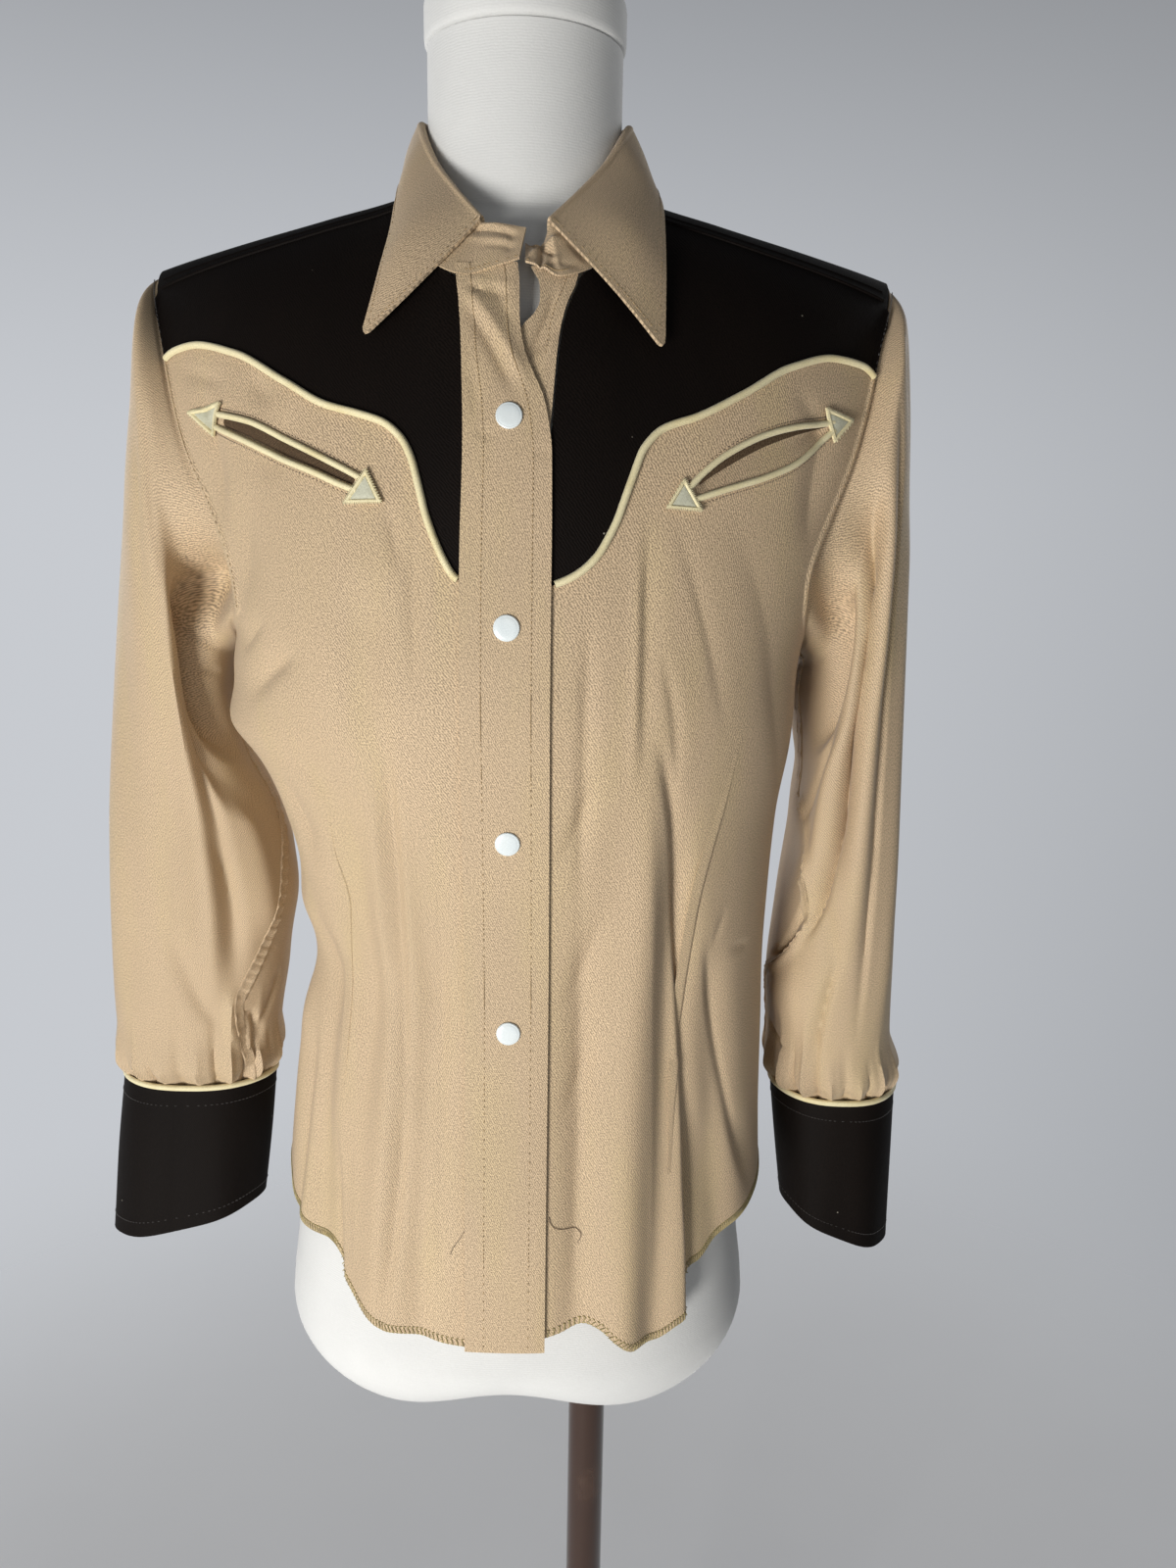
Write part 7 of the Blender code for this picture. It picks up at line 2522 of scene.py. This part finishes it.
@dataclass
class DressForm:
    """The limbless form: a smooth torso with two lobes below, and the cap on its neck."""

    sides: int = 120
    sections: Columns = FORM
    ridge: Columns = RIDGE

    def neck_radius(self, angle: Array, spare: Array | float = 0.0) -> Array:
        """The round neck seen from the form's axis, which lies a little behind the neck's own."""
        behind = RIDGE_Y - NECK_Y
        lean = behind * np.sin(angle)
        return -lean + np.sqrt(lean**2 + (NECK_RADIUS + spare) ** 2 - behind**2)

    def axis_y(self, z: Array) -> Array:
        """The form's axis moves back to the shoulders' ridge above the waist."""
        return RIDGE_Y * ease((z - 0.88) / 0.12)

    def radius(self, angle: Array, z: Array) -> Array:
        """How far the form reaches from its axis: each reach is halved back until it fits."""
        shape = np.broadcast(angle, z).shape
        near, far = np.zeros(shape), np.full(shape, 0.26)
        wide, front, back = self.sections.reads("z", z, "side", "front", "back")
        for _ in range(30):
            middle = (near + far) / 2
            x, y = middle * np.cos(angle), self.axis_y(z) + middle * np.sin(angle)
            rounding, top = round_share(x, wide), self.ridge.read("x", "form_z", np.abs(x))
            draw = shoulder_share(top, z)
            low_y = RIDGE_Y + (-front * rounding - RIDGE_Y) * draw
            high_y = RIDGE_Y + (back * rounding - RIDGE_Y) * draw
            inside = (y >= low_y) & (y <= high_y) & (np.abs(x) < wide) & (z < top)
            near, far = np.where(inside, middle, near), np.where(inside, far, middle)
        return np.maximum(near, np.where(z > BUST_Z, self.neck_radius(angle), 0.0))

    def torso(self) -> Array:
        """The torso's rings, from the rounded lobes up over the shoulders and the neck."""
        around = once_round(fine(self.sides))
        curl = np.radians(np.linspace(88.0, 4.0, fine(22)))[:, None]
        lobes_z = LOBE_START - (LOBE_START - LOBE_BOTTOM) * np.sin(curl)
        body_z = np.linspace(LOBE_START, 1.16, fine(36))
        top_z = np.linspace(1.165, 1.2535, fine(44))
        neck_z = np.linspace(1.258, NECK_TOP - 0.0012, fine(12))
        z = np.concatenate([lobes_z[:, 0], body_z, top_z, neck_z])[:, None]
        radius = self.radius(around, np.maximum(z, LOBE_START))
        lobes = slice(0, len(curl))
        radius[lobes] *= np.cos(curl) ** 0.75
        x, y = radius * np.cos(around), self.axis_y(z) + radius * np.sin(around)
        z = z + np.zeros(x.shape)
        z[lobes] += ARCH_HEIGHT * np.sin(curl) * np.exp(-((x[lobes] / ARCH_WIDTH) ** 2))
        return np.stack([x, y, z], -1)

    def cap(self) -> Array:
        """The neck cap's rings: a plain disc with softly rounded edges, wrapped in the cover."""
        around = once_round(fine(self.sides))
        profile = table(
            "spare   height",
            (-0.0020, -0.03),
            (0.0002, 0.00),
            (0.0012, 0.06),
            (0.0015, 0.16),
            (0.0015, 0.80),
            (0.0010, 0.92),
            (-0.0004, 0.985),
            (-0.0030, 1.00),
            (-0.0250, 1.00),
        )
        radius = self.neck_radius(around, profile["spare"][:, None])
        x, y = radius * np.cos(around), self.axis_y(np.array(NECK_TOP)) + radius * np.sin(around)
        z = mix(NECK_TOP, CAP_TOP, profile["height"])[:, None] + np.zeros(x.shape)
        return np.stack([x, y, z], -1)

    def build(self, maker: Maker) -> None:
        """Makes the torso and the cap."""
        maker.piece(solid_rings("torso_cover", self.torso()), Finish.COVER, "form_torso", "form_torso")
        maker.piece(solid_rings("neck_cap_cover", self.cap()), Finish.COVER, "form_neck_cap", "form_neck_cap")


@dataclass
class Stand:
    """The pole and the base, which keep their solids and get their enamel."""

    nodes: tuple[str, str] = ("pole", "base")

    def build(self, maker: Maker) -> None:
        """Dresses the two solids."""
        for name in self.nodes:
            node = frame["nodes"][name]
            maker.wardrobe.dress(node, Finish.ENAMEL)
            node.data.shade_smooth()
            node.data.set_sharp_from_angle(angle=np.radians(40))


@dataclass(frozen=True)
class Lamp:
    """A soft square light, aimed at the chest."""

    name: str
    place: tuple[float, float, float]
    size: float
    power: float
    colour: Colour = (1.0, 1.0, 1.0)

    def light(self, aim: Array) -> None:
        """Hangs the light and turns it to the aim."""
        data = bpy.data.lights.new(self.name, "AREA")
        data.size, data.energy, data.color = self.size, self.power, self.colour
        back = unit(np.array(self.place) - aim)
        side = unit(np.cross(UP, back))
        set_pose(add_object(self.name, data), side, np.cross(back, side), back, np.array(self.place))


def set_pose(obj: bpy.types.Object, right: Array, up: Array, back: Array, place: Array) -> None:
    """Sets an object's place and its three axes."""
    rows = [[right[i], up[i], back[i], place[i]] for i in range(3)]
    obj.matrix_world = Matrix([*rows, [0.0, 0.0, 0.0, 1.0]])


@dataclass
class Studio:
    """A plain pale floor, soft lights and the camera."""

    camera_place: tuple[float, float, float] = (0.038 + FORM_X, -0.66, 1.08)
    tilt: float = 12.7  # degrees down
    roll: float = 1.0  # degrees
    focal: float = 1202.0  # in pixels of a frame 1600 high
    frame_height: float = 1600.0
    sensor: float = 36.0
    floor_half: float = 4.0
    aim_z: float = 0.98
    lamps: tuple[Lamp, ...] = (
        Lamp("key", (-1.00, -1.85, 0.30), 0.75, 48.0, (1.0, 0.985, 0.96)),
        Lamp("fill", (0.50, -2.20, 0.60), 1.6, 5.0),
        Lamp("rim", (1.50, 1.60, 1.60), 1.2, 16.0),
        Lamp("back_fill", (-1.50, 1.80, 1.20), 1.4, 18.0),
    )
    bright_side: Colour = (0.575, 0.595, 0.630)
    dim_side: Colour = (0.125, 0.130, 0.136)
    overhead: Colour = (0.085, 0.088, 0.095)
    toward_dim: tuple[float, float, float] = (0.6, -0.8, 0.0)
    turn: tuple[float, float] = (-1.0, 0.5)  # how far a direction points that way, bright to dim
    climb: tuple[float, float] = (-0.02, 0.80)  # the sines of the elevations from which it darkens

    def build(self, wardrobe: Wardrobe) -> None:
        """Sets up the floor, the lights, the background and the camera."""
        half = self.floor_half
        points = np.array([[-half, -half, 0], [half, -half, 0], [half, half, 0], [-half, half, 0]])
        floor = place_mesh("floor", points, [np.array([[0, 1, 2, 3]])])
        wardrobe.dress(floor, Finish.FLOOR)
        for lamp in self.lamps:
            lamp.light(np.array([FORM_X, 0.0, self.aim_z]))
        self.build_sky()
        bpy.context.scene.view_settings.view_transform = "Standard"
        self.build_camera()

    def build_sky(self) -> None:
        """Lights the studio from all round like a pale room, less from one side and from overhead."""
        world = bpy.data.worlds.new("studio_sky")
        world.use_nodes = True
        tree = Tree(world.node_tree)
        looking = tree.add("ShaderNodeTexCoord").outputs["Generated"]
        parts = tree.add("ShaderNodeSeparateXYZ")
        tree.put(looking, parts.inputs[0])
        turned_by = tree.add("ShaderNodeVectorMath", operation="DOT_PRODUCT")
        tree.put(looking, turned_by.inputs[0])
        tree.put(self.toward_dim, turned_by.inputs[1])
        across = tree.step(turned_by.outputs["Value"], *self.turn)
        up = tree.step(parts.outputs[2], *self.climb)
        colour = tree.blend(across, self.bright_side, self.dim_side)
        colour = tree.blend(up, colour, self.overhead)
        tree.put(colour, world.node_tree.nodes["Background"].inputs["Color"])
        bpy.context.scene.world = world

    def build_camera(self) -> None:
        """Places the camera, tilted down and rolled a little."""
        tilt, roll = np.radians(self.tilt), np.radians(self.roll)
        ahead = np.array([0.0, np.cos(tilt), -np.sin(tilt)])
        level, above = np.array([1.0, 0.0, 0.0]), np.array([0.0, np.sin(tilt), np.cos(tilt)])
        right = level * np.cos(roll) + above * np.sin(roll)
        up = above * np.cos(roll) - level * np.sin(roll)
        data = bpy.data.cameras.new("camera")
        data.sensor_width = self.sensor
        data.lens = self.focal / self.frame_height * self.sensor
        data.clip_start, data.clip_end = 0.01, 100.0
        camera = add_object("camera", data)
        set_pose(camera, right, up, -ahead, np.array(self.camera_place))
        bpy.context.scene.camera = camera


def clear_startup() -> None:
    """Removes the startup scene's own objects, and keeps the frame's."""
    kept = {*frame["nodes"].values(), *frame["bodies"].values()}
    for obj in [o for o in bpy.data.objects if o not in kept]:
        bpy.data.objects.remove(obj, do_unlink=True)


def main() -> None:
    """Builds every sub-assembly in order, then the studio."""
    logging.basicConfig(level=logging.INFO, format="%(name)s %(message)s")
    clear_startup()
    wardrobe = Wardrobe()
    maker = Maker(wardrobe)
    blank = Blank()
    yokes = Yokes(blank)
    DressForm().build(maker)
    Stand().build(maker)
    Fronts(blank).build(maker)
    yokes.build(maker)
    Back(blank, yokes).build(maker)
    Placket(blank).build(maker)
    Collar(blank).build(maker)
    for side, tables in SLEEVE_TABLES.items():
        Sleeve(blank, side, *tables).build(maker)
    for side, mouth in ((-1, 0.8), (1, 0.22)):
        Pocket(blank, side, mouth).build(maker)
    Studio().build(wardrobe)


if __name__ == "__main__":
    main()
